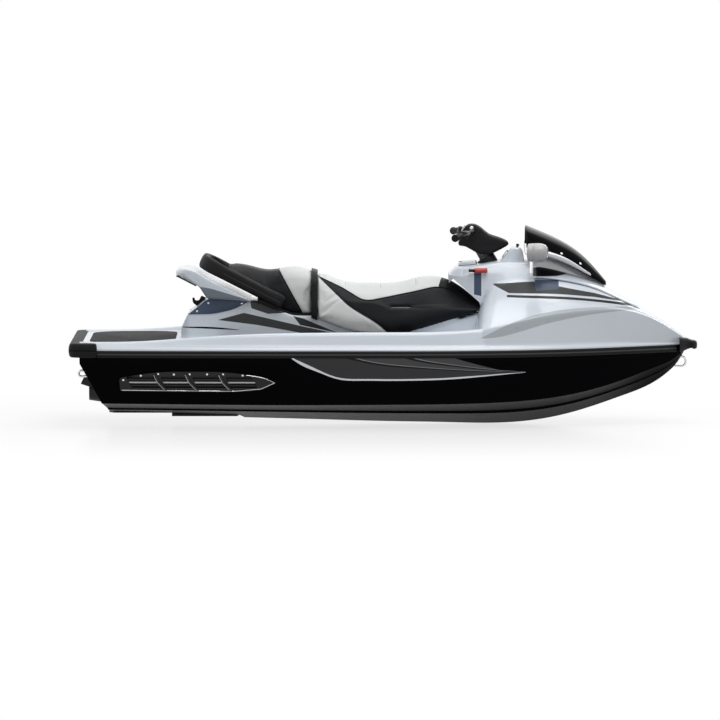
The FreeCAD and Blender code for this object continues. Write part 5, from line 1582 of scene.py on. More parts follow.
@dataclass
class Hood(Assembly):
    """Front cover with its spine, smoked windshield and barrel mirrors."""

    body: str = field(default="hood_unit", init=False)
    rear: float = 0.776
    front: float = 1.347
    rim: float = 0.011
    inset: float = 0.008
    spacing: float = 0.018
    visor_wall: float = 0.004
    barrel_x: float = 0.850
    barrel_length: float = 0.100
    barrel_radius: float = 0.050
    barrel_span: float = 0.330
    barrel_z: float = 0.668
    barrel_turn: float = math.radians(12.0)
    arm_taper: float = 1.05
    visor_screws: tuple[Point2, ...] = ((0.93, 0.655), (1.03, 0.600))

    def cover_half(self, x: float) -> list[Point2]:
        """Port half of the hood section, from its rim up to the crown."""
        share = x / HALF_LENGTH
        top_y, top_z = FRONT_TABLE.read(share)[5:]
        crown = HOOD_TABLE.read(share)[0]
        half = top_y - self.inset
        rim = top_z + self.rim
        return soft_corners([
            (half - 0.002, top_z + 0.001),
            (half, top_z + 0.004, 0.003),
            (half - 0.001, rim, 0.008),
            (half * 0.62, rim + (crown - self.rim) * 0.8, 0.05),
            (half * 0.16, top_z + crown, 0.03),
            (0.0, top_z + crown + 0.002),
        ], closed=False, steps=5)

    def cover(self) -> Piece:
        """The crowned cover over the storage bin."""
        rows = []
        ends, reach, gap = 5, 0.03, 0.004
        places = [self.rear + gap + reach * ahead for ahead, _ in quarter_round(ends)]
        places += list(np.arange(self.rear + gap + reach, self.front - reach, self.spacing))
        places += [self.front - gap - reach * back for _, back in quarter_round(ends, 1)]
        for x in places:
            near = min(x - self.rear, self.front - x)
            sink = 0.0 if near > reach else 0.012 * (1 - near / reach) ** 2
            half = self.cover_half(x)
            low = half[0][1]
            rows.append([(x, y, max(low, z - sink)) for y, z in both_sides(half)])
        return skin_rows("hood_cover", rows, crease=35.0)

    def spine(self) -> Piece:
        """The raised ridge that carries the windshield."""
        rows = []
        visor_rear = VISOR_TABLE.rows[0][0]
        for x in np.linspace(self.rear + 0.006, 1.16, 24):
            half, edge, _ = VISOR_TABLE.read(x)
            foot = 0.56 - (x - visor_rear) * 0.24
            top = edge + 0.004
            side = soft_corners([
                (half * 0.7 + 0.010, foot), (half * 0.70, top - 0.03, 0.02),
                (half * 0.66, top, 0.012), (0.0, top),
            ], closed=False, steps=4)
            rows.append([(x, y, max(z, foot)) for y, z in both_sides(side[:-1])])
        return skin_rows("hood_spine", rows, crease=40.0)

    def visor(self) -> Piece:
        """The swept smoked windshield as a thin skin."""
        rows = []
        for x in np.linspace(VISOR_TABLE.rows[0][0], VISOR_TABLE.rows[-1][0], 40):
            half, edge, crown = VISOR_TABLE.read(x)
            rise = crown - edge
            side = soft_corners([
                (half, edge), (half * 0.97, edge + rise * 0.30, 0.04),
                (half * 0.74, edge + rise * 0.76, 0.05), (half * 0.34, crown, 0.05), (0.0, crown),
            ], closed=False, steps=5)
            loop = list(side) + [(-y, z) for y, z in reversed(side[:-1])]
            rows.append([(x, y, z) for y, z in loop])
        piece = skin_rows("windshield", rows, around=False, caps=False, crease=60.0)
        wall = piece.modifiers.new("wall", "SOLIDIFY")
        wall.thickness = self.visor_wall
        wall.offset = -1.0
        apply_modifiers(piece)
        shade(piece, 50.0)
        return soften(piece, 0.0012, 2, 50.0)

    def mirror(self, side: float, word: str) -> None:
        """One barrel mirror on its swept arm.

        Args:
            side: +1 for port, -1 for starboard.
            word: The side in words.
        """
        centre = Vector((self.barrel_x, side * self.barrel_span, self.barrel_z))
        aft = Vector((-math.cos(self.barrel_turn), -side * math.sin(self.barrel_turn), 0.0))
        length, radius = self.barrel_length, self.barrel_radius
        shell = turned("mirror_barrel_" + word, [
            (0.003, 0.0), (0.003, radius * 0.42, 0.002), (-0.002, radius * 0.48, 0.002),
            (0.000, radius * 0.60, 0.006), (0.004, radius * 0.62, 0.002),
            (0.004, radius * 0.68, 0.002), (0.008, radius * 0.80, 0.012),
            (0.024, radius * 0.94, 0.02), (0.048, radius, 0.03), (length * 0.70, radius * 0.985),
            (length * 0.72, radius * 0.955), (length * 0.74, radius * 0.955),
            (length * 0.76, radius * 0.975), (length - 0.003, radius * 0.945, 0.002),
            (length, radius * 0.91, 0.001), (length, radius * 0.88, 0.001),
            (length - 0.003, radius * 0.865), (length - 0.003, 0.0),
        ], centre, aft, sides=48)
        rows = []
        table = Stations((
            (0.838, 0.180, 0.318, 0.645, 0.677), (0.946, 0.150, 0.216, 0.606, 0.637),
            (1.054, 0.108, 0.148, 0.550, 0.568),
        ))
        for x in np.linspace(0.800, 1.085, 22):
            near, far, low, high = table.read(x)
            if x > self.arm_taper:
                far -= (far - near) * 0.5 * (x - self.arm_taper) / 0.04
            middle = (low + high) / 2
            thick = (high - low) * 0.5
            rows.append([
                (
                    x, side * ((near + far) / 2 + (far - near) / 2 * share_y),
                    middle + thick * share_z
                )
                for share_y, share_z in squared_ring(24, 0.7, 0.8)
            ])
        arm = skin_rows("mirror_arm_" + word, rows, crease=60.0)
        parts = [painted(shell, MIRROR_GREY), painted(arm, SILVER)]
        self.assemble("mirror_" + word, parts, SILVER, "mirror_" + word, 35.0)
        glass = turned("mirror_face_" + word, [
            (0.0, 0.0), (0.0, radius - 0.0062), (0.0012, radius - 0.0062, 0.0005),
            (0.0022, radius - 0.009, 0.001), (0.003, 0.0),
        ], centre + aft * (length - 0.0035), aft, sides=48)
        self.place(glass, MIRROR_FACE, "mirror_glass_" + word)

    def build(self) -> None:
        """Build the cover with painted shade in its recess, the windshield, screws and mirrors."""
        cover = self.cover()
        spine = self.spine()
        self.place(cover, WHITE_GEL, "hood")
        # Painted shade: a black patch on each side of the cover where the recess by the mirror
        # arms lies in shade.
        for side in (1.0, -1.0):
            inlay(cover, [
                (0.770, 0.540), (0.770, 0.580), (0.880, 0.590, 0.02), (0.975, 0.550),
                (0.900, 0.540),
            ], BLACK_LINE, side)
        self.place(spine, SILVER)
        visor = self.visor()
        tree = surface_of(visor)
        self.place(visor, VISOR, "windshield")
        for side, word in SIDES:
            self.mirror(side, word)
            for i, (x, z) in enumerate(self.visor_screws):
                hit, outward = touch(tree, x, z, side)
                if hit is not None:
                    head = button("visor_screw_%s_%d" % (word, i), hit, outward, 0.0075, 0.003)
                    self.place(head, CHROME)


# ------------------------------------------------------------------ console and gauges
@dataclass
class Console(Assembly):
    """Steering console with its collar, gauge housing and stop switch."""

    half: float = 0.168
    collar_rise: float = 0.016
    top_line: tuple[Point2, ...] = (
        (0.338, 0.541), (0.362, 0.570), (0.392, 0.5885), (0.450, 0.5935), (0.520, 0.598),
        (0.560, 0.606), (0.604, 0.612), (0.680, 0.612), (0.764, 0.612),
    )

    def tub(self) -> Piece:
        """The console body, flared into the front deck at its sides."""
        rows = []
        places = [0.338, 0.341, 0.347, 0.356, 0.368, 0.384] + list(np.linspace(0.40, 0.764, 24))
        xs, zs = zip(*self.top_line)
        for x in places:
            top = float(np.interp(x, xs, zs))
            foot = 0.36 if x > 0.5 else 0.386 + (0.517 - x) * 0.87
            flare = 0.075 * max(0.0, min(1.0, (x - 0.44) / 0.2)) ** 1.5
            tuck = 0.035 * max(0.0, (0.40 - x) / 0.062) ** 2
            side = self.half - tuck
            half = soft_corners([
                (side + flare, foot), (side + flare * 0.5, foot + (top - foot) * 0.45, 0.05),
                (side - 0.002, top - 0.052, 0.02), (side - 0.032, top - 0.004, 0.030), (0.05, top),
                (0.0, top + 0.0005),
            ], closed=False, steps=4)
            rows.append(section_row(x, half))
        return skin_rows("console_body", rows, crease=40.0)

    def build(self) -> None:
        """Build the console with its openings, collar and instruments."""
        body = self.tub()
        space = rectangle(0.402, -0.088, 0.466, 0.088, 0.012)
        carve(body, [slab("glove_tool", Face.TOP, space, 0.536, 0.64)], crease=38.0)
        painted(body, WHITE_GEL)
        for side in (1.0, -1.0):
            inlay(body, [
                (0.470, 0.440), (0.508, 0.432), (0.508, 0.566, 0.004), (0.470, 0.570, 0.004),
            ], BLUE_GREY, side)
        collar = turned("console_collar", [
            (-0.03, 0.050), (self.collar_rise - 0.004, 0.050, 0.003),
            (self.collar_rise, 0.046, 0.002), (self.collar_rise, 0.0),
        ], STEERING_FOOT, STEERING_AXIS, sides=40)
        parts = [body, painted(collar, BLACK_PLASTIC)]
        self.assemble("console", parts, WHITE_GEL, "steering_console", 36.0)
        self.gauges()
        self.lanyard()

    def gauges(self) -> None:
        """White instrument housing with a dark hooded face and two round dials."""
        base = 0.6105
        outline = [
            (0.608, base), (0.634, 0.640, 0.02), (0.660, 0.672, 0.012), (0.684, 0.685, 0.014),
            (0.726, 0.674, 0.02), (0.737, base),
        ]
        middle, half = 0.674, 0.094
        ends = [(-half, 0.82), (-half + 0.004, 0.93), (-half + 0.014, 0.985), (-half + 0.03, 1.0)]
        rows = []
        for y, shrink in ends + [(-y, shrink) for y, shrink in reversed(ends)]:
            rows.append([
                (middle + (x - middle) * shrink, y, base + (z - base) * shrink)
                for x, z in soft_corners(outline)
            ])
        housing = painted(skin_rows("gauge_housing", rows, crease=40.0), WHITE_GEL)
        tree = surface_of(housing)
        face = film(
            "gauge_face", rectangle(0.616, -0.078, 0.662, 0.078, 0.02), tree, 1.0, 0.0012, 0.012,
            Face.TOP, thick=0.0025,
        )
        parts = [housing, painted(face, GAUGE_GLASS)]
        for side in (-1.0, 1.0):
            hit, normal = touch(tree, 0.638, side * 0.040, plane=Face.TOP)
            ring = turned("dial_ring", [
                (0.0, 0.026), (0.0, 0.023), (0.003, 0.023, 0.001), (0.0035, 0.0245, 0.001),
                (0.003, 0.026, 0.001),
            ], hit + normal * 0.0008, normal, sides=40, closed=True)
            parts.append(painted(ring, CHROME))
        self.assemble("gauge_cluster_housing", parts, WHITE_GEL, "gauge_cluster")
        knob = turned("gauge_knob", [
            (-0.004, 0.0), (-0.004, 0.006), (0.006, 0.006, 0.001), (0.007, 0.0088, 0.001),
            (0.015, 0.0084, 0.002), (0.017, 0.0),
        ], Vector((0.700, 0.0, 0.6815)), Vector((0.2, 0.0, 1.0)).normalized(), sides=20)
        self.place(knob, BLACK_PLASTIC)

    def lanyard(self) -> None:
        """Stop switch on the starboard side of the console, with its red cap."""
        y, z, forward = -0.1824, 0.566, Vector((1, 0, 0))
        low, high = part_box("lanyard_cap")
        length = high.x - low.x
        cap = turned("stop_cap", [
            (0.0, 0.0), (0.0, 0.011, 0.002), (0.004, 0.0136, 0.002), (0.040, 0.0136, 0.002),
            (0.042, 0.0118), (0.047, 0.0118), (0.049, 0.0138, 0.001), (0.062, 0.0138, 0.003),
            (length, 0.009, 0.002), (length, 0.0),
        ], Vector((low.x, y, z)), forward, sides=32)
        self.place(cap, RED_PLASTIC, "lanyard_cap")
        low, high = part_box("lanyard_clip")
        length = high.x - low.x
        clip = turned("stop_clip", [
            (0.0, 0.0), (0.0, 0.007, 0.002), (0.006, 0.0088, 0.002), (0.010, 0.0070, 0.001),
            (0.014, 0.0088, 0.001), (0.018, 0.0070, 0.001), (0.022, 0.0088, 0.001),
            (length, 0.0088, 0.002), (length, 0.0),
        ], Vector((low.x, y, z)), forward, sides=24)
        self.place(clip, BLACK_PLASTIC, "lanyard_clip")


@dataclass
class Glovebox(Assembly):
    """Hinged lid over the small-items box."""

    body: str = field(default="glovebox_unit", init=False)

    def build(self) -> None:
        """Build the lid with its latch and hinge knuckle."""
        low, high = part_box("glovebox_lid")
        rear, front, half = low.x, 0.480, high.y
        outline = [
            (rear, -half, 0.022), (front, -half, 0.010), (front, half, 0.010), (rear, half, 0.022)
        ]
        rows = []
        for rise, inset in ((0.0, 0.0), (0.008, 0.0), (0.0108, 0.0012), (0.0122, 0.0048)):
            ring = [
                (rear + (x - rear) * (1 - inset / 0.05) + inset, y * (1 - inset / half))
                for x, y in soft_corners(outline, steps=6)
            ]
            rows.append([(x, y, 0.5892 + (x - rear) * 0.0735 + rise) for x, y in ring])
        lid = skin_rows("glovebox_cover", rows, crease=35.0)
        latch = slab("glovebox_latch", Face.TOP, [
            (rear + 0.006, -0.022, 0.006), (rear + 0.022, -0.022, 0.004),
            (rear + 0.022, 0.022, 0.004), (rear + 0.006, 0.022, 0.006),
        ], 0.600, 0.6045, soft=0.0015)
        knuckle = turned("glovebox_knuckle", [
            (0.0, 0.0), (0.0, 0.005, 0.001), (0.164, 0.005, 0.001), (0.164, 0.0),
        ], Vector((0.482, -0.082, 0.602)), Vector((0, 1, 0)), sides=20)
        parts = [
            painted(lid, WHITE_GEL), painted(latch, STEEL_GREY), painted(knuckle, BLACK_PLASTIC),
        ]
        self.assemble("glovebox_door", parts, WHITE_GEL, "glovebox_lid", 35.0)


# ------------------------------------------------------------------ saddle
FRONT_SADDLE = Stations((
    (-0.351, 0.547, 0.312, 0.118, 0.172, 0.040, 1.00),
    (-0.207, 0.490, 0.255, 0.098, 0.176, 0.042, 1.00),
    (-0.063, 0.483, 0.229, 0.086, 0.174, 0.046, 1.00),
    (0.082, 0.489, 0.230, 0.074, 0.162, 0.050, 1.00),
    (0.226, 0.524, 0.268, 0.064, 0.146, 0.060, 0.98),
    (0.370, 0.488, 0.313, 0.058, 0.132, 0.062, 0.95),
    (0.514, 0.376, 0.357, 0.056, 0.118, 0.010, 0.92),
))
REAR_SADDLE = Stations((
    (-0.826, 0.597, 0.548, 0.070, 0.118, 0.022, 1.0),
    (-0.716, 0.576, 0.455, 0.092, 0.140, 0.036, 1.0),
    (-0.606, 0.554, 0.405, 0.104, 0.148, 0.038, 1.0),
    (-0.496, 0.571, 0.350, 0.113, 0.155, 0.038, 1.0),
    (-0.386, 0.558, 0.325, 0.118, 0.158, 0.038, 1.0),
))
STRAP_TABLE = Stations((
    (-0.3855, 0.5655, 0.318, 0.122, 0.1775, 0.040, 1.0),
    (-0.3515, 0.5565, 0.306, 0.122, 0.1775, 0.040, 1.0),
))


def swell(
    piece: Piece, held: Callable[[Vector], bool], voxel: float, cap: float, pressure: float = 4.0
) -> None:
    """Puff a padded form with cloth pressure, keeping its hidden faces where they are.

    Args:
        piece: The closed form; its mesh is replaced.
        held: Whether a point of the form stays in place.
        voxel: Size of the even mesh that the cloth is cut to.
        cap: Farthest that any point may move.
        pressure: Air pressure inside.
    """
    even = piece.modifiers.new("even", "REMESH")
    even.mode = "VOXEL"
    even.voxel_size = voxel
    apply_modifiers(piece)
    smooth = piece.modifiers.new("relax", "LAPLACIANSMOOTH")
    smooth.iterations = 2
    smooth.lambda_factor = 0.4
    apply_modifiers(piece)
    rest = [v.co.copy() for v in piece.data.vertices]
    group = piece.vertex_groups.new(name="held")
    group.add([i for i, place in enumerate(rest) if held(place)], 1.0, "REPLACE")
    cloth = piece.modifiers.new("pressure", "CLOTH")
    cloth.settings.use_pressure = True
    cloth.settings.uniform_pressure_force = pressure
    cloth.settings.effector_weights.gravity = 0.0
    cloth.settings.vertex_group_mass = "held"
    cloth.settings.quality = 4
    cloth.collision_settings.use_collision = False
    cloth.point_cache.frame_start = 1
    cloth.point_cache.frame_end = CLOTH_FRAMES
    scene = bpy.context.scene
    for step in range(1, CLOTH_FRAMES + 1):
        scene.frame_set(step)
    apply_modifiers(piece)
    scene.frame_set(1)
    for vertex, start in zip(piece.data.vertices, rest):
        moved = vertex.co - start
        if moved.length > cap:
            vertex.co = start + moved.normalized() * cap
    piece.vertex_groups.clear()
    piece.data.update()


def pinch(piece: Piece, lines: Sequence[Sequence[Vector]], width: float, depth: float) -> None:
    """Press sewn channels into a padded mesh along lines.

    Args:
        piece: The mesh to press.
        lines: Places along each channel.
        width: Half width of the channel.
        depth: Depth at its middle.
    """
    tree = BVHTree.FromPolygons(
        [
            p for line in lines for p in line
            for p in (p, p + Vector((0, 0, 1e-4)), p + Vector((1e-4, 0, 0)))
        ],
        [(3 * i, 3 * i + 1, 3 * i + 2) for i in range(sum(len(line) for line in lines))],
    )
    normals = [v.normal.copy() for v in piece.data.vertices]
    for vertex, normal in zip(piece.data.vertices, normals):
        spot, _, _, near = tree.find_nearest(vertex.co, width)
        if spot is not None:
            share = 1 - (near / width) ** 2
            vertex.co = vertex.co - normal * depth * share * share
    piece.data.update()


@dataclass
class Saddle(Assembly):
    """Two vinyl cushions, the strap between them and the padded grab handle."""

    body: str = field(default="seat_unit", init=False)
    front_half: float = 0.215
    rear_half: float = 0.172
    voxel: float = 0.0075
    spacing: float = 0.012
    most_swell: float = 0.006
    channel: Point2 = (0.011, 0.0035)
    cross_seams: tuple[float, ...] = (-0.205, -0.02, 0.165)
    cross_half: float = 0.10
    handle_half: Point2 = (0.0192, 0.0380)
    tail_line: tuple[Point2, Point2] = ((-0.560, 0.574), (-0.429, 0.340))
    side_panel: tuple[Corner, ...] = (
        (-0.346, 0.531, 0.006), (-0.224, 0.474, 0.03), (-0.120, 0.413, 0.04),
        (-0.077, 0.409, 0.03), (0.013, 0.425, 0.05), (0.150, 0.452, 0.05), (0.262, 0.478, 0.05),
        (0.330, 0.470, 0.05), (0.420, 0.420, 0.05), (0.500, 0.368, 0.02), (0.465, 0.338, 0.03),
        (0.256, 0.279, 0.05), (0.100, 0.233, 0.04), (0.028, 0.232, 0.02), (-0.031, 0.288, 0.04),
        (-0.187, 0.380, 0.05), (-0.261, 0.452, 0.04),
    )

    def section(self, values: Sequence[float], widest: float) -> list[Point2]:
        """Full loop of a cushion section."""
        top, bottom, crown, shoulder, drop, share = values
        base = widest * share
        height = top - bottom
        soft = min(1.0, height / 0.12)
        half = soft_corners([
            (0.0, bottom), (base - 0.003, bottom, 0.010 * soft),
            (base, bottom + height * 0.10, 0.02 * soft),
            (base - 0.001, bottom + height * 0.28, 0.05 * soft),
            (shoulder, top - drop, 0.045 * soft), (crown, top - 0.001, 0.05 * soft),
            (0.0, top + 0.003 * soft),
        ], closed=False, steps=5)
        return both_sides(half[1:-1])

    def form(self, name: str, table: Stations, widest: float, start: float, end: float) -> Piece:
        """A cushion's closed form, rounded at both ends."""
        ends, reach, deep = 4, 0.012, 0.012 * 0.7
        places = [(start + reach * ahead, deep * inset) for ahead, inset in quarter_round(ends)]
        places += [(x, 0.0) for x in table.places(self.spacing, start + reach, end - reach)]
        places += [(end - reach * back, deep * inset) for inset, back in quarter_round(ends, 1)]
        piece = skin_rows(name, [self.station(table, x, widest, inset) for x, inset in places])
        crest = [(x, z + 0.0118) for x, z, *_ in PEDESTAL_TOP[3:11]]
        below = crest + [(0.56, 0.36), (0.56, 0.10), (-0.932, 0.10)]
        return carve(piece, [slab(name + "_space", Face.SIDE, below, -SPACE_HALF, SPACE_HALF)])

    def station(self, table: Stations, x: float, widest: float, inset: float) -> list[Point3]:
        """One row of a cushion, drawn in by an inset at its top and sides."""
        values = table.read(x)
        values[0] -= inset
        return [(x, y, z) for y, z in self.section(values, widest - inset)]

    def hidden(self, place: Vector) -> bool:
        """Whether a point lies on the cushion's underside or its ends."""
        top = np.interp(place.x, [p[0] for p in PEDESTAL_TOP], [p[1] for p in PEDESTAL_TOP])
        return abs(place.y) < 0.186 and place.z < top + 0.016

    def across(self, tree: BVHTree, x: float, half: float, lift: float = 0.0) -> list[Vector]:
        """Places over the top of a cushion from side to side at one station."""
        touches = [touch(tree, x, y, plane=Face.TOP) for y in np.linspace(-half, half, 40)]
        return [hit + normal * lift for hit, normal in touches if hit is not None]

    def along_side(self, tree: BVHTree, line: Sequence[Point2], side: float) -> list[Vector]:
        """Places on a cushion's flank under a side-view line."""
        spots = []
        for a, b in zip(line, line[1:]):
            parts = max(2, round(math.dist(a, b) / 0.006))
            for k in range(parts):
                x, z = Vector(a).lerp(Vector(b), k / parts)
                hit, _ = touch(tree, x, z, side)
                if hit is not None:
                    spots.append(hit)
        return spots

    def front_cushion(self) -> None:
        """The rider's cushion: white crown, black flanks and nose, piped seams."""
        piece = self.form("saddle_front", FRONT_SADDLE, self.front_half, -0.350, 0.513)
        swell(piece, self.hidden, self.voxel, self.most_swell)
        tree = surface_of(piece)
        border = soft_corners(self.side_panel, steps=4)
        channels = [self.along_side(tree, border + border[:1], side) for side in (1.0, -1.0)]
        channels += [self.across(tree, x, self.cross_half) for x in self.cross_seams]
        pinch(piece, channels, *self.channel)
        shade(piece, PADDED_CREASE)
        tree = surface_of(piece)
        painted(piece, WHITE_VINYL)
        inlay(piece, [
            (0.268, -0.170), (0.290, -0.090, 0.03), (0.306, 0.0, 0.08), (0.290, 0.090, 0.03),
            (0.268, 0.170), (0.300, 0.240), (0.540, 0.240), (0.540, -0.240), (0.300, -0.240),
        ], BLACK_VINYL, 1.0, Face.TOP)
        parts = [piece]
        for side in (1.0, -1.0):
            inlay(piece, self.side_panel, BLACK_VINYL, side)
            seam = line_on(
                "saddle_piping", border + border[:1], tree, side, 0.0026, 0.0010, bends=False,
                pitch=0.006, flatten=0.9
            )
            parts.append(painted(seam, BLACK_VINYL))
        for x in self.cross_seams:
            path = self.across(tree, x, self.cross_half, lift=0.0006)
            parts.append(painted(rod("saddle_seam", path, 0.0011, sides=6), PALE_THREAD))
        whole = self.assemble(
            "saddle_front_cushion", parts, WHITE_VINYL, "seat_cushion_front", PADDED_CREASE,
        )

    def rear_cushion(self) -> None:
        """The passenger's cushion: white front part and black tail."""
        piece = self.form("saddle_rear", REAR_SADDLE, self.rear_half, -0.825, -0.3865)
        swell(piece, self.hidden, self.voxel, self.most_swell)
        (x0, z0), (x1, z1) = self.tail_line
        run = Vector((x1 - x0, 0.0, z1 - z0)).normalized()
        across = Vector((0.0, 1.0, 0.0)).cross(run)
        tree = surface_of(piece)
        line = [(x0 + run.x * d, z0 + run.z * d) for d in np.linspace(-0.03, 0.30, 30)]
        channels = [self.along_side(tree, line, side) for side in (1.0, -1.0)]
        channels.append(self.across(tree, x0 + 0.004, 0.12))
        pinch(piece, channels, *self.channel)
        painted(piece, WHITE_VINYL)
        work = bmesh.new()
        work.from_mesh(piece.data)
        every = work.verts[:] + work.edges[:] + work.faces[:]
        bmesh.ops.bisect_plane(work, geom=every, dist=1e-5, plane_co=(x0, 0, z0), plane_no=across)
        forward = across if across.x > 0 else -across
        for face in work.faces:
            offset = face.calc_center_median() - Vector((x0, 0, z0))
            face.material_index = 1 if offset.dot(forward) < 0 else 0
        work.to_mesh(piece.data)
        work.free()
        piece.data.materials.append(BLACK_VINYL.material())
        tree = surface_of(piece)
        parts = [piece]
        for side in (1.0, -1.0):
            seam = line_on(
                "tail_piping", line, tree, side, 0.0030, 0.0010, bends=False, pitch=0.008,
                flatten=0.9
            )
            parts.append(painted(seam, BLACK_VINYL))
        over = self.across(tree, x0 + 0.004, 0.135, lift=0.0010)
        parts.append(
            painted(rod("tail_cross_piping", over, 0.0030, sides=8, flatten=0.9), BLACK_VINYL)
        )
        whole = self.assemble(
            "saddle_rear_cushion", parts, BLACK_VINYL, "seat_cushion_rear", PADDED_CREASE
        )

    def strap(self) -> None:
        """The passenger strap, a flat band drawn over the cushions."""
        rows = [
            self.station(STRAP_TABLE, x, self.front_half - 0.001, inset)
            for x, inset in (
                (-0.3850, 0.004), (-0.3838, 0.001), (-0.3815, 0.0), (-0.3555, 0.0),
                (-0.3532, 0.001), (-0.3520, 0.004),
            )
        ]
        piece = skin_rows("saddle_strap", rows)
        below = rectangle(-0.42, 0.3446, -0.32, 0.1)
        carve(piece, [slab("strap_space", Face.SIDE, below, -SPACE_HALF, SPACE_HALF)], 45.0)
        tree = surface_of(piece)
        parts = [painted(piece, BLACK_VINYL)]
        for x in (-0.3790, -0.3580):
            path = self.across(tree, x, 0.15, lift=0.0002)
            parts.append(painted(rod("strap_stitch", path, 0.0008, sides=6), THREAD))
        self.assemble("saddle_strap_band", parts, BLACK_VINYL, "seat_strap")

    def handle(self) -> None:
        """The padded U-shaped grab handle, with end caps and a lower welt."""
        side = self.rear_half + 0.0004 + 0.020
        reach, bend = 0.470, 0.120
        straight = reach - bend
        leg = [Vector((x, -side, 0)) for x in np.linspace(0.0, -straight, 26)[:-1]]
        for k in range(17):
            turn = math.pi / 2 * k / 16
            out, back = bend * math.sin(turn), bend * (1 - math.cos(turn))
            leg.append(Vector((-straight - out, back - side, 0)))
        ends = np.linspace(bend - side, side - bend, 14)[1:-1]
        path = leg + [Vector((-reach, y, 0)) for y in ends]
        path += [Vector((p.x, -p.y, 0)) for p in reversed(leg)]
        turn = Matrix.Translation((-0.530, 0, 0.395)) @ Matrix.Rotation(math.radians(27), 4, "Y")
        rows = []
        for i, spot in enumerate(path):
            ahead = span_at(path, i).normalized()
            outward = Vector((ahead.y, -ahead.x, 0))
            end = min(i, len(path) - 1 - i)
            shrink = (0.80, 0.93, 0.985)[end] if end < 3 else 1.0
            wide, tall = self.handle_half[0] * shrink, self.handle_half[1] * shrink
            rows.append([
                turn @ (spot + outward * (wide * a) + Vector((0, 0, tall * b)))
                for a, b in squared_ring(28, 0.62, 0.62)
            ])
        piece = skin_rows("grab_padding", rows)
        swell(piece, lambda place: place.x > -0.545, 0.006, 0.003, 3.0)
        tree = surface_of(piece)
        parts = [painted(piece, PADDING)]
        for flank in (1.0, -1.0):
            lift = Vector((0, flank * 0.0003, 0))
            line = [
                turn @ Vector((x, flank * side, -0.004)) for x in np.linspace(-0.02, -straight, 30)
            ]
            hits = [touch(tree, spot.x, spot.z, flank)[0] for spot in line]
            welt = rod(
                "grab_welt", [hit + lift for hit in hits if hit is not None], 0.0013, sides=6
            )
            parts.append(painted(welt, THREAD))
        whole = self.assemble("grab_handle_padding", parts, PADDING, "grab_handle", PADDED_CREASE)

    def build(self) -> None:
        """Build the cushions, strap and handle, and dress the pan."""
        self.front_cushion()
        self.rear_cushion()
        self.strap()
        self.handle()
        self.dress("seat_base", BLACK_PLASTIC)


# ------------------------------------------------------------------ tail
@dataclass
class Tail(Assembly):
    """Wing fairing behind the saddle, the side panels under it and the tow hook."""

    half: float = 0.212
    panel_faces: Point2 = (0.1785, 0.1814)
    panel_screws: tuple[Point2, ...] = ((-0.985, 0.352), (-0.925, 0.395), (-0.750, 0.393))
    outline: tuple[Corner, ...] = (
        (-1.101, 0.552, 0.006), (-1.081, 0.576, 0.014), (-1.010, 0.566, 0.05),
        (-0.845, 0.482, 0.08), (-0.701, 0.409, 0.004), (-0.9315, 0.4195, 0.01),
        (-0.966, 0.470, 0.03), (-0.990, 0.487, 0.03), (-1.098, 0.534, 0.008),
    )

    def wing(self) -> Piece:
        """The white wing, its aft edge swept forward at the sides."""
        points = soft_corners(self.outline, steps=4)
        rows = []
        ends = [(-1.0, 0.05), (-0.996, 0.018), (-0.985, 0.007), (-0.96, 0.0015)]
        shares = ends + [(share, 0.0) for share in np.linspace(-0.93, 0.93, 31)]
        for share, inset in shares + [(-share, inset) for share, inset in reversed(ends)]:
            y = self.half * share
            row = []
            for x, z in points:
                aft = max(0.0, (-0.96 - x) / 0.14)
                sweep = 0.050 * aft * abs(share) ** 3
                middle = np.interp(x, (-1.1, -0.97, -0.93, -0.70), (0.553, 0.505, 0.46, 0.4085))
                drawn_in = 0.002 if inset else 0.0
                row.append((x + sweep + drawn_in, y, middle + (z - middle) * (1 - inset * 8)))
            rows.append(row)
        return skin_rows("tail_wing", rows, crease=45.0)

    def build(self) -> None:
        """Build the wing, panels and hook."""
        wing = self.wing()
        self.place(wing, WHITE_GEL, "tail_fairing")
        # Painted shade: a grey patch on the lower part of each wing flank.
        for side in (1.0, -1.0):
            inlay(wing, [
                (-0.970, 0.482), (-0.920, 0.476, 0.03), (-0.820, 0.446, 0.03), (-0.718, 0.414),
                (-0.930, 0.419), (-0.964, 0.462, 0.02),
            ], PAINTED_SHADE_GREY, side)
        under = slab("tail_wing_underside", Face.SIDE, [
            (-1.097, 0.5325, 0.003), (-1.085, 0.529, 0.003), (-0.992, 0.481, 0.01),
            (-0.985, 0.487, 0.01), (-1.090, 0.538, 0.002),
        ], -0.150, 0.150, soft=0.0015)
        self.place(under, BLACK_PLASTIC)
        for side, word in SIDES:
            low, high = sorted(side * face for face in self.panel_faces)
            panel = slab("tail_panel_plate_" + word, Face.SIDE, [
                (-1.033, 0.336), (-0.990, 0.369, 0.012), (-0.932, 0.416, 0.012),
                (-0.716, 0.402, 0.008), (-0.789, 0.363, 0.03), (-0.903, 0.337, 0.04),
            ], low, high, soft=0.0009, segments=2)
            self.place(panel, BLUE_GREY, "tail_panel_" + word)
            for i, (x, z) in enumerate(self.panel_screws):
                spot = Vector((x, side * self.panel_faces[1], z))
                name = "tail_screw_%s_%d" % (word, i)
                self.place(button(name, spot, Vector((0, side, 0)), 0.006, 0.0018), STEEL)
        hook = slab("tow_hook_block", Face.SIDE, [
            (-0.9904, 0.371), (-1.010, 0.386, 0.006), (-1.014, 0.412, 0.004),
            (-1.003, 0.414, 0.004), (-0.998, 0.398, 0.005), (-0.978, 0.399, 0.005),
            (-0.966, 0.424, 0.005), (-0.940, 0.4118),
        ], -0.0158, 0.0158, soft=0.003)
        self.place(hook, BLACK_PLASTIC, "tow_hook")


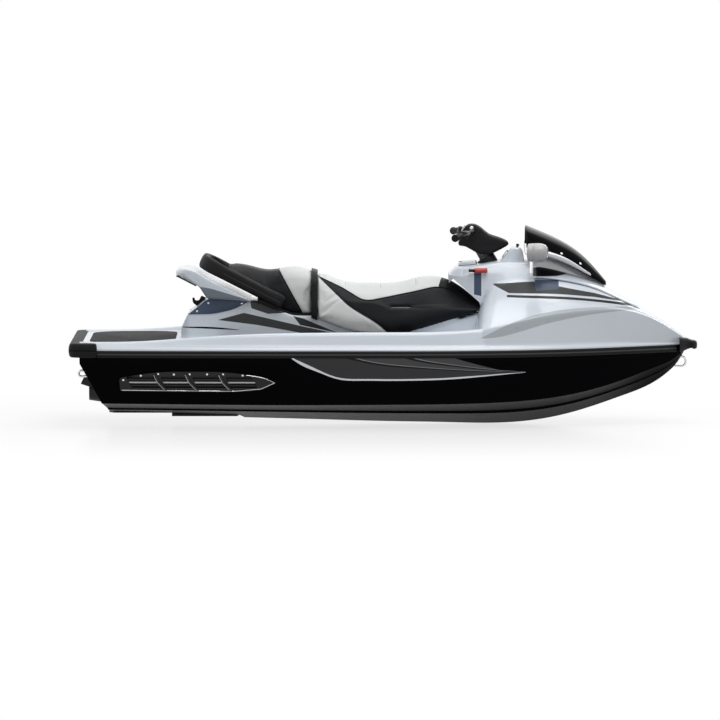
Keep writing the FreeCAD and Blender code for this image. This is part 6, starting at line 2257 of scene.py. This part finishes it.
# ------------------------------------------------------------------ steering
@dataclass
class Steering(Assembly):
    """Handlebar with grips, switch housings, throttle lever, padded cover and column boot."""

    body: str = field(default="steering_unit", init=False)
    centre: Point3 = (0.470, 0.0, 0.768)
    tilt: float = math.radians(-12.0)
    bend: tuple[float, float] = (-0.038, 0.150)
    sweep: float = 0.066
    half_length: float = 0.372
    bar_radius: float = 0.0115
    grip_radius: float = 0.017
    switch_back: float = 0.136
    pad_outline: tuple[Corner, ...] = (
        (0.388, 0.690, 0.012), (0.424, 0.688, 0.012), (0.452, 0.672, 0.02), (0.496, 0.646, 0.015),
        (0.560, 0.644, 0.016), (0.648, 0.690, 0.015), (0.658, 0.703, 0.008), (0.640, 0.716, 0.014),
        (0.598, 0.733, 0.03), (0.551, 0.746, 0.04), (0.500, 0.790, 0.03), (0.478, 0.804, 0.016),
        (0.440, 0.804, 0.016), (0.416, 0.778, 0.02), (0.392, 0.728, 0.03),
    )

    def bar_frame(self) -> Matrix:
        """Placement of the bar's own plane."""
        return Matrix.Translation(self.centre) @ Matrix.Rotation(self.tilt, 4, "Y")

    def bar_spot(self, back: float, ahead: float, up: float, side: float) -> Vector:
        """A place by the outer part of the bar: back from its end, ahead of it and above it."""
        end = Vector((self.bend[0] - self.sweep, self.half_length * side, 0.0))
        inner = Vector((self.bend[0], self.bend[1] * side, 0.0))
        inboard = (inner - end).normalized()
        forward = Vector((abs(inboard.y), -inboard.x * math.copysign(1.0, inboard.y), 0.0))
        return self.bar_frame() @ (end + inboard * back + forward * ahead + Vector((0, 0, up)))

    def bar(self) -> None:
        """The swept tube."""
        flat = [
            (self.bend[0] - self.sweep, -self.half_length), (self.bend[0], -self.bend[1], 0.09),
            (0.0, -0.072, 0.06), (0.0, 0.072, 0.06), (self.bend[0], self.bend[1], 0.09),
            (self.bend[0] - self.sweep, self.half_length),
        ]
        path = [
            self.bar_frame() @ Vector((x, y, 0)) for x,
            y in soft_corners(flat, closed=False, steps=8)
        ]
        piece = rod("steering_bar", path, self.bar_radius, sides=24, round_ends=False)
        self.place(piece, BLACK_PLASTIC, "handlebar")

    def grip(self, side: float, word: str) -> None:
        """A ribbed rubber grip with an inner flange and a domed end."""
        start = self.bar_spot(0.0, 0.0, 0.0, side)
        axis = (self.bar_spot(0.1, 0.0, 0.0, side) - start).normalized()
        radius = self.grip_radius
        profile: list[Corner] = [
            (-0.006, 0.0), (-0.006, radius * 0.7, 0.003), (-0.004, radius + 0.003, 0.002),
            (0.002, radius + 0.003, 0.001), (0.004, radius - 0.0012, 0.001),
        ]
        for k in range(17):
            place = 0.010 + k * 0.0062
            profile += [
                (place, radius - 0.0014), (place + 0.0012, radius), (place + 0.0042, radius),
                (place + 0.0052, radius - 0.0014),
            ]
        profile += [
            (0.1205, radius - 0.001), (0.122, radius + 0.0065, 0.002),
            (0.1275, radius + 0.0065, 0.002), (0.128, 0.012),
        ]
        piece = turned("grip_rubber_" + word, profile, start, axis, sides=36, crease=40.0)
        self.place(piece, RUBBER, "grip_" + word)

    def switch(self, side: float, word: str) -> None:
        """A clamp housing with buttons on its rear face."""
        rows = []
        start, end = self.switch_back, self.switch_back + 0.046
        for back, inset in (
            (start, 0.005), (start + 0.0015, 0.0015), (start + 0.005, 0.0),
            (end - 0.005, 0.0), (end - 0.0015, 0.0015), (end, 0.005),
        ):
            section = soft_corners([
                (-0.026 + inset, -0.020 + inset, 0.009), (0.024 - inset, -0.022 + inset, 0.010),
                (0.026 - inset, 0.016 - inset, 0.012), (-0.020 + inset, 0.022 - inset, 0.010),
            ], steps=5)
            rows.append([self.bar_spot(back, a, b, side) for a, b in section])
        housing = skin_rows("switch_body", rows, crease=45.0)
        parts = [painted(housing, BLACK_PLASTIC)]
        aft = (
            self.bar_spot(0.1, -0.1, 0.0, side) - self.bar_spot(0.1, 0.0, 0.0, side)
        ).normalized()
        finishes = (RED_PLASTIC, GRAPHITE) if side > 0 else (GRAPHITE, STEEL_GREY)
        for k, finish in enumerate(finishes):
            spot = self.bar_spot(start + 0.014 + 0.019 * k, -0.0225, 0.002 - 0.004 * k, side)
            cap = turned("switch_button", [
                (-0.004, 0.0065), (0.002, 0.0065, 0.0008), (0.0032, 0.0055, 0.0008), (0.0028, 0.0),
            ], spot, aft, sides=20)
            parts.append(painted(cap, finish))
        line = [
            self.bar_spot(start + 0.001 + 0.044 * k / 5, -0.0262, -0.006, side) for k in range(6)
        ]
        parts.append(painted(rod("switch_split", line, 0.0007, sides=6), BLACK_LINE))
        name, node = "switch_housing_" + word, "switch_block_" + word
        self.assemble(name, parts, BLACK_PLASTIC, node, 42.0)

    def lever(self) -> None:
        """The throttle lever, a curved finger blade with a rolled tip."""
        rows = []
        for back, ahead, wide, tall in (
            (0.170, 0.0262, 0.0055, 0.0049), (0.164, 0.034, 0.0052, 0.0049),
            (0.135, 0.0375, 0.0045, 0.0049), (0.100, 0.0445, 0.0040, 0.0049),
            (0.066, 0.0475, 0.0040, 0.0049), (0.044, 0.0430, 0.0038, 0.0049),
            (0.026, 0.0385, 0.0022, 0.0049 * 0.6),
        ):
            rows.append([
                self.bar_spot(back, ahead + wide * a, tall * b, -1.0)
                for a, b in squared_ring(16, 0.7, 0.5)
            ])
        piece = skin_rows("throttle_finger", rows, crease=60.0)
        self.place(piece, BLACK_PLASTIC, "throttle_lever")

    def neck(self) -> None:
        """The column with a corrugated boot over it."""
        foot = STEERING_FOOT + STEERING_AXIS * 0.0164
        profile: list[Corner] = [(0.0, 0.0), (0.0, 0.0338, 0.001), (0.006, 0.0338, 0.001)]
        for k in range(5):
            place = 0.010 + k * 0.0095
            profile += [(place, 0.0295, 0.002), (place + 0.0048, 0.0336, 0.002)]
        profile += [(0.060, 0.0300, 0.002), (0.066, 0.0300), (0.066, 0.0)]
        piece = turned("column_boot", profile, foot, STEERING_AXIS, sides=40, crease=60.0)
        self.place(piece, BOOT_GREY, "steering_neck")

    def cover(self) -> None:
        """The padded cover over the clamp, its silver rear strip and its two bright bolts."""
        points = soft_corners(self.pad_outline, steps=5)
        middle = Vector((0.510, 0.725))
        rows = []
        half = 0.0575
        ends = [(-1.0, 0.012), (-0.985, 0.006), (-0.94, 0.0022), (-0.85, 0.0003), (-0.5, 0.0)]
        for share, inset in [*ends, (0.0, -0.0002), *((-s, inset) for s, inset in reversed(ends))]:
            row = []
            for a, b in points:
                arm = Vector((a, b)) - middle
                spot = middle + arm * (1 - inset / max(arm.length, 0.02))
                row.append((spot.x, half * share, spot.y))
            rows.append(row)
        pad = skin_rows("bar_pad", rows, crease=60.0)
        swell(pad, lambda place: place.z < 0.70 and abs(place.y) < 0.04, 0.004, 0.002, 3.0)
        tree = surface_of(pad)
        parts = [painted(pad, PADDING)]
        for side in (1.0, -1.0):
            seam = line_on("pad_seam", [
                (0.402, 0.706), (0.440, 0.712), (0.500, 0.704), (0.570, 0.700), (0.636, 0.702),
            ], tree, side, 0.0011, 0.0002)
            parts.append(painted(seam, BLACK_LINE))
        whole = self.assemble(
            "handlebar_pad_cover", parts, PADDING, "handlebar_pad", PADDED_CREASE
        )
        rows = []
        ends = [(-0.0440, 0.003), (-0.0425, 0.0008), (-0.040, 0.0)]
        for y, inset in ends + [(-y, inset) for y, inset in reversed(ends)]:
            section = soft_corners([
                (0.3975 + inset, 0.712 + inset, 0.003), (0.3995, 0.724, 0.01),
                (0.4175, 0.7755, 0.01), (0.4330 - inset, 0.7990 - inset, 0.003),
                (0.4365, 0.7985 - inset, 0.002), (0.4215, 0.772, 0.01),
                (0.4045, 0.716 + inset, 0.003),
            ])
            rows.append([(x - 0.0085, y * 1.2, z) for x, z in section])
        strip = skin_rows("pad_rear_strip", rows, crease=40.0)
        self.place(strip, SILVER)
        for side in (1.0, -1.0):
            spot = Vector((0.4585, side * 0.0570, 0.783))
            self.place(button("pad_bolt", spot, Vector((0, side, 0)), 0.011, 0.004), BRIGHT_STEEL)

    def build(self) -> None:
        """Build every steering piece."""
        self.bar()
        for side, word in SIDES:
            self.grip(side, word)
            self.switch(side, word)
        self.lever()
        self.neck()
        self.cover()


# ------------------------------------------------------------------ rails, bumpers, mats
@dataclass
class Rails(Assembly):
    """Rub rail with its grey insert, and the rubber bumpers at both ends."""

    low: float = SHEER - 0.037
    depth: float = 0.012
    rail_start: float = STERN + 0.092
    rail_end: float = BOW - 0.036

    def rail_rows(self, side: float, section: Sequence[Point2]) -> list[list[Point3]]:
        """Rows of a band that follows the sheer.

        Args:
            side: +1 for port, -1 for starboard.
            section: Points (outward, z).

        Returns:
            Rows of places.
        """
        rows = []
        for x in np.arange(self.rail_start, self.rail_end + 0.001, 0.022):
            beam = HULL_TABLE.read(x / HALF_LENGTH)[0] * HALF_BEAM
            rows.append([(x, side * (beam + out), z) for out, z in section])
        return rows

    def rail(self, side: float, word: str) -> None:
        """One rail strip with its insert bead."""
        low, top, deep = self.low, SHEER, self.depth
        outline = soft_corners([
            (0.0003, low), (deep - 0.004, low, 0.003), (deep, low + 0.007, 0.003),
            (deep, low + 0.0125), (deep - 0.0022, low + 0.0135), (deep - 0.0022, low + 0.0235),
            (deep, low + 0.0245), (deep, top - 0.007, 0.003), (deep - 0.004, top, 0.003),
            (0.0003, top),
        ], steps=3)
        rubber = skin_rows("rub_rail_band", self.rail_rows(side, outline), crease=45.0)
        bead = soft_corners([
            (deep - 0.003, low + 0.0138), (deep + 0.0002, low + 0.0146, 0.002),
            (deep + 0.0002, low + 0.0224, 0.002), (deep - 0.003, low + 0.0232),
        ], steps=4)
        insert = skin_rows("rub_rail_insert", self.rail_rows(side, bead), crease=45.0)
        parts = [painted(rubber, RUBBER), painted(insert, RAIL_INSERT)]
        self.assemble("rub_rail_" + word, parts, RUBBER, "rub_rail", 45.0)

    def block(
        self, name: str, outline: Sequence[Corner], low: float, high: float, depth: float,
        groove: float,
    ) -> Piece:
        """A bumper block with a rounded face and a groove along it."""
        points = soft_corners(outline, steps=6)
        half = (high - low) / 2

        def swelling(z: float) -> float:
            """How far the rounded face has drawn back at this height."""
            reach = min(abs(z - low - half) / half, 1.0)
            return depth * (1 - math.sqrt(1 - reach * reach) ** 0.7)

        heights = [low + half * (1 + math.sin(math.pi * (k / 12 - 0.5))) for k in range(13)]
        levels = [(z, swelling(z)) for z in heights]
        for lift, cut in ((-0.003, 0), (-0.0015, 0.0035), (0.0015, 0.0035), (0.003, 0)):
            levels.append((groove + lift, swelling(groove) + cut))
        rows = []
        for z, inset in sorted(levels):
            row = []
            for i, (x, y) in enumerate(points):
                ahead, behind = points[(i + 1) % len(points)], points[i - 1]
                run = Vector((ahead[0] - behind[0], ahead[1] - behind[1])).normalized()
                row.append((x + run.y * inset, y - run.x * inset, z))
            rows.append(row)
        return skin_rows(name, rows, crease=40.0)

    def bow(self) -> None:
        """Nose bumper with moulded ribs and a hooked arm up to the deck."""
        stations = Stations((
            (-0.0355, 0.119, 0.1330, 0.2070), (-0.022, 0.104, 0.1340, 0.2065),
            (-0.010, 0.089, 0.1370, 0.2040), (0.004, 0.073, 0.1420, 0.2000),
            (0.018, 0.060, 0.1460, 0.1945), (0.030, 0.053, 0.1480, 0.1900),
            (0.040, 0.047, 0.1440, 0.1880), (0.048, 0.040, 0.1430, 0.1870),
            (0.055, 0.030, 0.1460, 0.1840), (0.059, 0.018, 0.1540, 0.1760),
            (0.060, 0.008, 0.1610, 0.1690),
        ))
        rows = []
        start, end = stations.rows[0][0], stations.rows[-1][0]
        for k, reach in enumerate(np.linspace(start, end, 49)):
            wide, low, high = stations.read(reach)
            step = 0.0016 if 0.004 < reach < 0.036 and k % 2 else 0.0
            wide, low, high = wide - step, low + step, high - step
            soft = min(wide, (high - low) / 2) * 0.8
            loop = soft_corners(rectangle(-wide, low, wide, high, soft), steps=6)
            rows.append([(BOW + reach, y, z) for y, z in loop])
        piece = skin_rows("bow_bumper_rubber", rows, crease=50.0)
        shade(piece, 42.0)
        self.place(piece, RUBBER, "bow_bumper")

    def stern(self) -> None:
        """Stern bumper round the transom and both quarters."""
        low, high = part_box("stern_bumper")
        back = STERN - 0.058
        side = HALF_BEAM * 0.955 + 0.012
        block = self.block("stern_bumper_rubber", [
            (back, -HALF_BEAM * 0.92, 0.045), (back, HALF_BEAM * 0.92, 0.045),
            (STERN + 0.010, side, 0.045), (STERN + 0.092, side + 0.0035),
            (STERN + 0.092, side - 0.060), (STERN + 0.018, side - 0.110, 0.03),
            (STERN + 0.018, 0.110 - side, 0.03), (STERN + 0.092, 0.060 - side),
            (STERN + 0.092, -side - 0.0035), (STERN + 0.010, -side, 0.045),
        ], low.z, high.z, 0.016, low.z + 0.037)
        self.place(block, RUBBER, "stern_bumper")

    def build(self) -> None:
        """Build both rails and both bumpers."""
        for side, word in SIDES:
            self.rail(side, word)
        self.bow()
        self.stern()


@dataclass
class Mats(Assembly):
    """Foam mats of the footwells and the boarding platform."""

    low: float = 0.2038
    high: float = 0.2088

    def mat(self, name: str, corners: Sequence[Corner], node: str) -> None:
        """One mat with a bevelled edge and a smooth border."""
        points = soft_corners(corners, steps=6)
        middle = Vector([sum(p[i] for p in points) / len(points) for i in (0, 1)])
        wide = abs(points[0][0] - middle.x)
        rows = []
        for z, inset in ((self.low, 0.0), (self.high - 0.0015, 0.0), (self.high, 0.0025)):
            row = []
            for x, y in points:
                arm = Vector((x, y)) - middle
                spot = middle + Vector((arm.x * (1 - inset / wide), arm.y * (1 - inset * 3)))
                row.append((spot.x, spot.y, z))
            rows.append(row)
        piece = skin_rows(name, rows, crease=40.0)
        self.place(piece, MAT_FOAM, node)

    def build(self) -> None:
        """Build the three mats."""
        near, far = 0.192, HALF_BEAM - 0.122
        for side, word in SIDES:
            self.mat("footwell_foam_" + word, [
                (-0.880, near * side, 0.03), (0.170, near * side, 0.03), (0.170, far * side, 0.06),
                (-0.880, far * side, 0.06),
            ], "footwell_mat_" + word)
        self.mat("platform_foam", [
            (STERN + 0.045, -0.330, 0.08), (STERN + 0.150, -0.425, 0.12),
            (STERN + 0.400, -0.440, 0.06), (STERN + 0.490, -0.370, 0.05),
            (STERN + 0.490, 0.370, 0.05), (STERN + 0.400, 0.440, 0.06),
            (STERN + 0.150, 0.425, 0.12), (STERN + 0.045, 0.330, 0.08),
        ], "platform_mat")


# ------------------------------------------------------------------ side vents
@dataclass
class SideVents(Assembly):
    """Black vent mouldings low on the quarters: frame, painted-shade backing, struts with painted
    highlights, slats toned by painted light, bright trim lines and bolts.
    """

    outline: tuple[Corner, ...] = (
        (-1.384, 0.030, 0.02), (-1.180, 0.064, 0.10), (-0.830, 0.064, 0.10), (-0.640, 0.038, 0.04),
        (-0.566, 0.006, 0.01), (-0.640, -0.034, 0.03), (-0.780, -0.046, 0.06),
        (-1.378, -0.042, 0.02),
    )
    windows: tuple[tuple[float, float], ...] = (
        (-1.348, -1.190), (-1.170, -1.026), (-1.006, -0.852), (-0.832, -0.690),
    )
    slant: float = -0.028
    window_low: float = -0.026
    window_high: float = 0.034
    bolts: tuple[Point2, ...] = (
        (-1.362, 0.018), (-1.270, 0.042), (-1.180, 0.051), (-1.098, 0.049), (-1.016, 0.050),
        (-0.925, 0.050), (-0.842, 0.050), (-0.740, 0.044),
    )
    proud: float = 0.0088

    def plate(self, hull: BVHTree, side: float) -> Piece:
        """The moulded frame with four slanted windows through it."""
        body = film(
            "vent_plate", self.outline, hull, side, lift=self.proud, pitch=0.014, thick=self.proud
        )
        tools = []
        for start, end in self.windows:
            tools.append(slab("vent_window", Face.SIDE, [
                (start - self.slant, self.window_low, 0.010),
                (end - self.slant, self.window_low, 0.010), (end, self.window_high, 0.012),
                (start, self.window_high, 0.012),
            ], *sorted((side * 0.3, side * 0.8))))
        solid = body.modifiers.new("thickness", "SOLIDIFY")
        solid.thickness = 0.004
        solid.offset = -1.0
        apply_modifiers(body)
        return carve(body, tools, crease=35.0)

    def build(self) -> None:
        """Build both mouldings."""
        hull = HULL.side_surface()
        middle = (self.window_low + self.window_high) / 2
        for side, word in SIDES:
            parts = [painted(self.plate(hull, side), VENT_BLACK)]
            # Painted shade: a black sheet on the hull behind the frame, standing for the dark
            # inside of the vents.
            back = film("vent_back_painted_shade", [
                (-1.372, 0.022, 0.02), (-1.180, 0.052, 0.10), (-0.830, 0.052, 0.10),
                (-0.650, 0.028, 0.03), (-0.600, 0.004, 0.01), (-0.650, -0.026, 0.02),
                (-0.780, -0.038, 0.06), (-1.366, -0.034, 0.02),
            ], hull, side, lift=0.0014)
            parts.append(painted(back, BLACK_LINE))
            for start, end in self.windows:
                # Painted light: three copies of one slat per window, black above, silver in the
                # middle as a painted highlight, graphite below.
                for rise, finish in ((0.016, VENT_BLACK), (0.0, SILVER), (-0.016, GRAPHITE)):
                    drop = (self.window_high - middle - rise) / (
                        self.window_high - self.window_low
                    )
                    lean = -self.slant * drop
                    slat = film("vent_slat_painted_light", rectangle(
                        start + lean - 0.004, middle + rise - 0.0035,
                        end + lean + 0.004, middle + rise + 0.0035,
                    ), hull, side, lift=0.0050, pitch=0.02, thick=0.004)
                    parts.append(painted(slat, finish))
            for before, after in zip(self.windows, self.windows[1:]):
                high_x = (before[1] + after[0]) / 2
                line = [
                    (high_x - 0.014, self.window_high + 0.012), (high_x + 0.002, 0.010),
                    (high_x - self.slant + 0.012, self.window_low - 0.006),
                ]
                strut = line_on("vent_strut", line, hull, side, 0.0085, self.proud)
                parts.append(painted(strut, VENT_BLACK))
                # Painted highlight: a silver line along the aft side of each strut.
                strut_highlight = [(x - 0.008, z) for x, z in line]
                edge = line_on("vent_strut_painted_highlight", strut_highlight, hull, side, 0.0022, self.proud + 0.0022)
                parts.append(painted(edge, SILVER))
            rim = line_on("vent_low_line", [
                (-1.372, -0.036), (-0.780, -0.040), (-0.645, -0.028), (-0.575, 0.004),
            ], hull, side, 0.0032, self.proud, bends=False)
            parts.append(painted(rim, CHROME))
            crest = line_on("vent_top_line", [
                (-0.720, 0.046), (-0.660, 0.037), (-0.610, 0.023), (-0.575, 0.006),
            ], hull, side, 0.0030, self.proud)
            parts.append(painted(crest, CHROME))
            for x, z in self.bolts:
                hit, outward = touch(hull, x, z, side)
                spot = hit + outward * (self.proud - 0.0005)
                parts.append(
                    painted(button("vent_bolt", spot, outward, 0.0062, 0.0022), BRIGHT_STEEL)
                )
            self.assemble("side_vent_trim_" + word, parts, SILVER, "side_vent_" + word, 35.0)


# ------------------------------------------------------------------ jet pump
@dataclass
class JetPump(Assembly):
    """Finishes of the pump, shaft, grate and ride plate, and the ride plate's screws."""

    def build(self) -> None:
        """Dress the pump nodes and add the screws."""
        for node, finish in (
            ("pump_housing", CAST_ALLOY), ("steering_nozzle", PUMP_BLACK),
            ("reverse_bucket", PUMP_BLACK), ("impeller", STEEL), ("drive_shaft", STEEL),
            ("ride_plate", PUMP_BLACK), ("intake_grate", PUMP_BLACK),
        ):
            self.dress(node, finish)
        low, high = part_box("ride_plate")
        screws = []
        for x in (low.x + 0.03, (low.x + high.x) / 2, high.x - 0.03):
            for y in (-0.118, 0.118):
                screw = button("plate_screw", Vector((x, y, low.z)), DOWN, 0.007, 0.0018)
                screws.append(painted(screw, STEEL))
        self.place(join("ride_plate_screws", screws), STEEL)


# ------------------------------------------------------------------ smaller fittings
@dataclass
class Fittings(Assembly):
    """Engine, front bin, tow eyes and fuel cap."""

    def engine(self) -> None:
        """A boxy marine engine: sump, crankcase, fins, head, plenum, exhaust, hoses, mounts."""
        low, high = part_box("engine")
        wide = (high.y - low.y) / 2
        sump = soften(slab("engine_sump", Face.SIDE, [
            (low.x + 0.03, low.z + 0.02, 0.03), (low.x + 0.12, low.z, 0.03),
            (high.x - 0.12, low.z, 0.03), (high.x - 0.03, low.z + 0.02, 0.03),
            (high.x - 0.03, low.z + 0.085), (low.x + 0.03, low.z + 0.085),
        ], -wide * 0.78, wide * 0.78), 0.006)
        crank = soften(slab("engine_crankcase", Face.SIDE, [
            (low.x, low.z + 0.083), (high.x, low.z + 0.083), (high.x, low.z + 0.165, 0.02),
            (low.x, low.z + 0.165, 0.02),
        ], -wide * 0.9, wide * 0.9), 0.008)
        parts = [painted(sump, ENGINE_PAINT), painted(crank, ENGINE_PAINT)]
        for k in range(9):
            x = low.x + 0.09 + k * 0.048
            fin = soften(slab("engine_fin", Face.SIDE, [
                (x, low.z + 0.16), (x + 0.022, low.z + 0.16), (x + 0.022, high.z - 0.055, 0.004),
                (x, high.z - 0.055, 0.004),
            ], -wide * 0.42, wide * 0.60), 0.0015, 2)
            parts.append(painted(fin, CAST_ALLOY))
        head = soften(slab("engine_head", Face.SIDE, [
            (low.x + 0.08, high.z - 0.06), (high.x - 0.08, high.z - 0.06),
            (high.x - 0.08, high.z, 0.02), (low.x + 0.08, high.z, 0.02),
        ], -wide * 0.38, wide * 0.55), 0.006)
        parts.append(painted(head, CAST_ALLOY))
        plenum = rod("engine_plenum", [
            (low.x + 0.06, -wide * 0.72, high.z - 0.045),
            (low.x + 0.30, -wide * 0.74, high.z - 0.042),
            (high.x - 0.05, -wide * 0.72, high.z - 0.045),
        ], wide * 0.27, sides=24)
        parts.append(painted(plenum, BLACK_PLASTIC))
        exhaust = rod("engine_exhaust", smooth_path([
            (high.x - 0.08, wide * 0.78, high.z - 0.10),
            (low.x + 0.25, wide * 0.80, high.z - 0.09), (low.x + 0.06, wide * 0.76, high.z - 0.11),
            (low.x + 0.045, wide * 0.6, low.z + 0.19),
        ], 20), wide * 0.19, sides=20)
        parts.append(painted(exhaust, CAST_ALLOY))
        for k in range(3):
            x = low.x + 0.15 + 0.13 * k
            hose = rod("engine_runner", smooth_path([
                (x, -wide * 0.60, high.z - 0.05), (x + 0.01, -wide * 0.47, high.z - 0.065),
                (x + 0.01, -wide * 0.36, high.z - 0.085),
            ], 8), 0.018, sides=16)
            parts.append(painted(hose, BLACK_PLASTIC))
            cap = turned("plug_cap", [
                (-0.004, 0.016), (0.006, 0.016, 0.002), (0.009, 0.013, 0.002), (0.009, 0.008),
                (0.0095, 0.0),
            ], Vector((x, wide * 0.08, high.z - 0.0098)), Vector((0, 0, 1)), sides=24)
            parts.append(painted(cap, BLACK_PLASTIC))
        for x in (low.x + 0.08, high.x - 0.08):
            for side in (-1.0, 1.0):
                foot = soften(slab("engine_mount", Face.TOP, [
                    (x - 0.03, side * wide * 0.74), (x + 0.03, side * wide * 0.74),
                    (x + 0.03, side * wide, 0.01), (x - 0.03, side * wide, 0.01),
                ], low.z + 0.06, low.z + 0.078), 0.003)
                parts.append(painted(foot, RUBBER))
        self.assemble("engine_assembly", parts, ENGINE_PAINT, "engine", 35.0)

    def bin(self) -> None:
        """The front storage bin, a tub with a flange."""
        low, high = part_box("front_bin")
        outside = [
            (low.z, 0.024), (low.z + 0.01, 0.0145), (high.z - 0.02, 0.0105),
            (high.z - 0.004, 0.010), (high.z - 0.004, 0.0),
        ]
        inside = [(high.z, 0.0), (high.z, 0.013), (low.z + 0.012, 0.019), (low.z + 0.005, 0.026)]
        rows = []
        for z, inset in outside + inside:
            corners = rectangle(
                low.x + inset, low.y + inset, high.x - inset, high.y - inset, 0.035
            )
            rows.append([(x, y, z) for x, y in soft_corners(corners, steps=6)])
        self.place(skin_rows("storage_bin", rows, crease=38.0), BIN_PLASTIC, "front_bin")

    def eye(self, node: str) -> None:
        """A tow eye: a rod bent to a loop on a base plate."""
        low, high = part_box(node)
        middle = (low + high) / 2
        ahead = 1.0 if middle.x > 0 else -1.0
        reach = high.x - low.x
        radius = 0.0058
        foot = low.x if ahead > 0 else high.x
        tip = foot + ahead * (reach - radius)
        half = (high.z - low.z) / 2 - radius
        lower = [
            (foot, -1.0), (foot + ahead * reach * 0.35, -1.0),
            (tip - ahead * half * 0.4, -0.92), (tip, -0.45),
        ]
        path = [
            (x, middle.y, middle.z + half * share)
            for x, share in lower + [(x, -share) for x, share in reversed(lower)]
        ]
        loop = rod("tow_eye_loop", smooth_path(path, 36), radius, sides=16, round_ends=False)
        self.place(loop, BRIGHT_STEEL, node)

    def fuel_cap(self) -> None:
        """The knurled filler cap in its collar."""
        centre = Vector((0.800, 0.287, 0.486))
        normal = Vector((0.0, 0.817, 0.577)).normalized()
        cap = turned("filler_cap", [
            (-0.004, 0.0395), (0.0015, 0.0395, 0.001), (0.0025, 0.036, 0.001),
            (0.0035, 0.0345, 0.001), (0.0095, 0.0335, 0.001), (0.0118, 0.031, 0.002),
            (0.0105, 0.026, 0.002), (0.0095, 0.015), (0.0100, 0.0),
        ], centre, normal, sides=48)
        parts = [painted(cap, BLACK_PLASTIC)]
        along = Vector((1, 0, 0))
        across = normal.cross(along).normalized()
        for c, s in circle(24):
            arm = along * c + across * s
            ends = [
                centre + arm * 0.0343 + normal * 0.004, centre + arm * 0.0338 + normal * 0.0095
            ]
            parts.append(painted(rod("cap_knurl", ends, 0.0011, sides=6), BLACK_PLASTIC))
        line = [centre + across * reach + normal * 0.0100 for reach in (-0.024, 0.0, 0.024)]
        parts.append(painted(rod("cap_grip", line, 0.0045, flatten=0.5), BLACK_PLASTIC))
        self.assemble("fuel_filler_cap", parts, BLACK_PLASTIC, "fuel_cap", 35.0)

    def build(self) -> None:
        """Build every small fitting."""
        self.engine()
        self.bin()
        for node in ("bow_eye", "stern_eye_left", "stern_eye_right"):
            self.eye(node)
        self.fuel_cap()


# ------------------------------------------------------------------ studio
@dataclass
class Studio:
    """White surroundings, a faintly glossy floor under the keel, soft lamps and the camera."""

    target: Vector = field(default_factory=lambda: Vector((-0.129, 0.0, 0.083)))
    distance: float = 40.0
    elevation: float = math.radians(4.0)
    lens: float = 378.9
    surround: float = 0.40
    bounce: float = 0.30
    whiteness: float = 0.72

    def floor(self) -> None:
        """The pale floor the keel rests over."""
        reach, level = 400.0, KEEL - 0.003
        corners = rectangle(-reach, -reach, reach, reach)
        sheet = new_piece("studio_floor", [(x, y, level) for x, y, _ in corners], [(0, 1, 2, 3)])
        material = bpy.data.materials.new("studio_floor")
        material.use_nodes = True
        tree = material.node_tree
        seen = seen_directly(tree)
        colours = {0: seen, 6: (*(self.bounce,) * 3, 1.0), 7: (0.95, 0.95, 0.95, 1.0)}
        base = add_node(tree, "Mix", colours, data_type="RGBA").outputs[2]
        lit = tree.nodes["Principled BSDF"]
        feed(tree, lit, {"Roughness": 0.22, "Base Color": base})
        plain = add_node(tree, "Emission", {"Strength": 1.0})
        place = add_node(tree, "TexCoord", {}).outputs["Object"]
        flat = {0: place, 1: (0.5, 1.0, 0.0)}
        spot = add_node(tree, "VectorMath", flat, operation="MULTIPLY").outputs["Vector"]
        away = add_node(tree, "VectorMath", {0: spot}, operation="LENGTH").outputs["Value"]
        fade = add_node(tree, "MapRange", {
            "From Min": 0.8, "From Max": 2.6, "To Min": self.whiteness, "To Max": 1.0,
            "Value": away,
        }, interpolation_type="SMOOTHSTEP").outputs["Result"]
        share = maths(tree, seen, ("MULTIPLY", fade))
        blend = add_node(tree, "MixShader", {0: share, 1: lit.outputs[0], 2: plain.outputs[0]})
        feed(tree, tree.nodes["Material Output"], {"Surface": blend.outputs[0]})
        sheet.data.materials.append(material)

    def world(self) -> None:
        """White seen directly and in reflections, a softer white as the light."""
        world = bpy.data.worlds.new("studio_world")
        bpy.context.scene.world = world
        world.use_nodes = True
        tree = world.node_tree
        strength = maths(
            tree, seen_directly(tree), ("MULTIPLY", 1.0 - self.surround), ("ADD", self.surround),
        )
        feed(tree, tree.nodes["Background"], {
            "Color": (1.0, 1.0, 1.0, 1.0), "Strength": strength,
        })

    def lamp(self, name: str, place: Vector, size: tuple[float, float], power: float) -> None:
        """A soft rectangular lamp aimed at the craft."""
        light = bpy.data.lights.new(name, "AREA")
        light.shape = "RECTANGLE"
        light.size, light.size_y = size
        light.energy = power
        lamp = new_object(name, light)
        lamp.location = place
        lamp.rotation_euler = (self.target - place).to_track_quat("-Z", "Y").to_euler()

    def camera(self) -> None:
        """The long-lens side view."""
        lens = bpy.data.cameras.new("studio_camera")
        lens.lens = self.lens
        lens.sensor_width = 36.0
        lens.clip_end = 200.0
        view = new_object("studio_camera", lens)
        away = Vector((0.0, -math.cos(self.elevation), math.sin(self.elevation)))
        view.location = self.target + away * self.distance
        view.rotation_euler = (-away).to_track_quat("-Z", "Y").to_euler()
        bpy.context.scene.camera = view

    def build(self) -> None:
        """Set the whole studio."""
        bpy.context.scene.view_settings.view_transform = "Standard"
        self.floor()
        self.world()
        self.lamp("key_lamp", Vector((0.9, -2.9, 5.4)), (4.5, 3.0), 115.0)
        self.lamp("top_lamp", Vector((0.5, 0.5, 5.5)), (6.0, 3.0), 110.0)
        self.lamp("rim_lamp", Vector((2.5, 4.0, 3.0)), (3.0, 3.0), 50.0)
        self.camera()


HULL = Hull()
DECK = Deck()


def main() -> None:
    for assembly in (
        HULL, DECK, Hood(), Console(), Glovebox(), Saddle(), Tail(), Steering(), Rails(), Mats(),
        SideVents(), JetPump(), Fittings(),
    ):
        LOG.info("building %s", type(assembly).__name__)
        assembly.build()
    Studio().build()


if __name__ == "__main__":
    main()
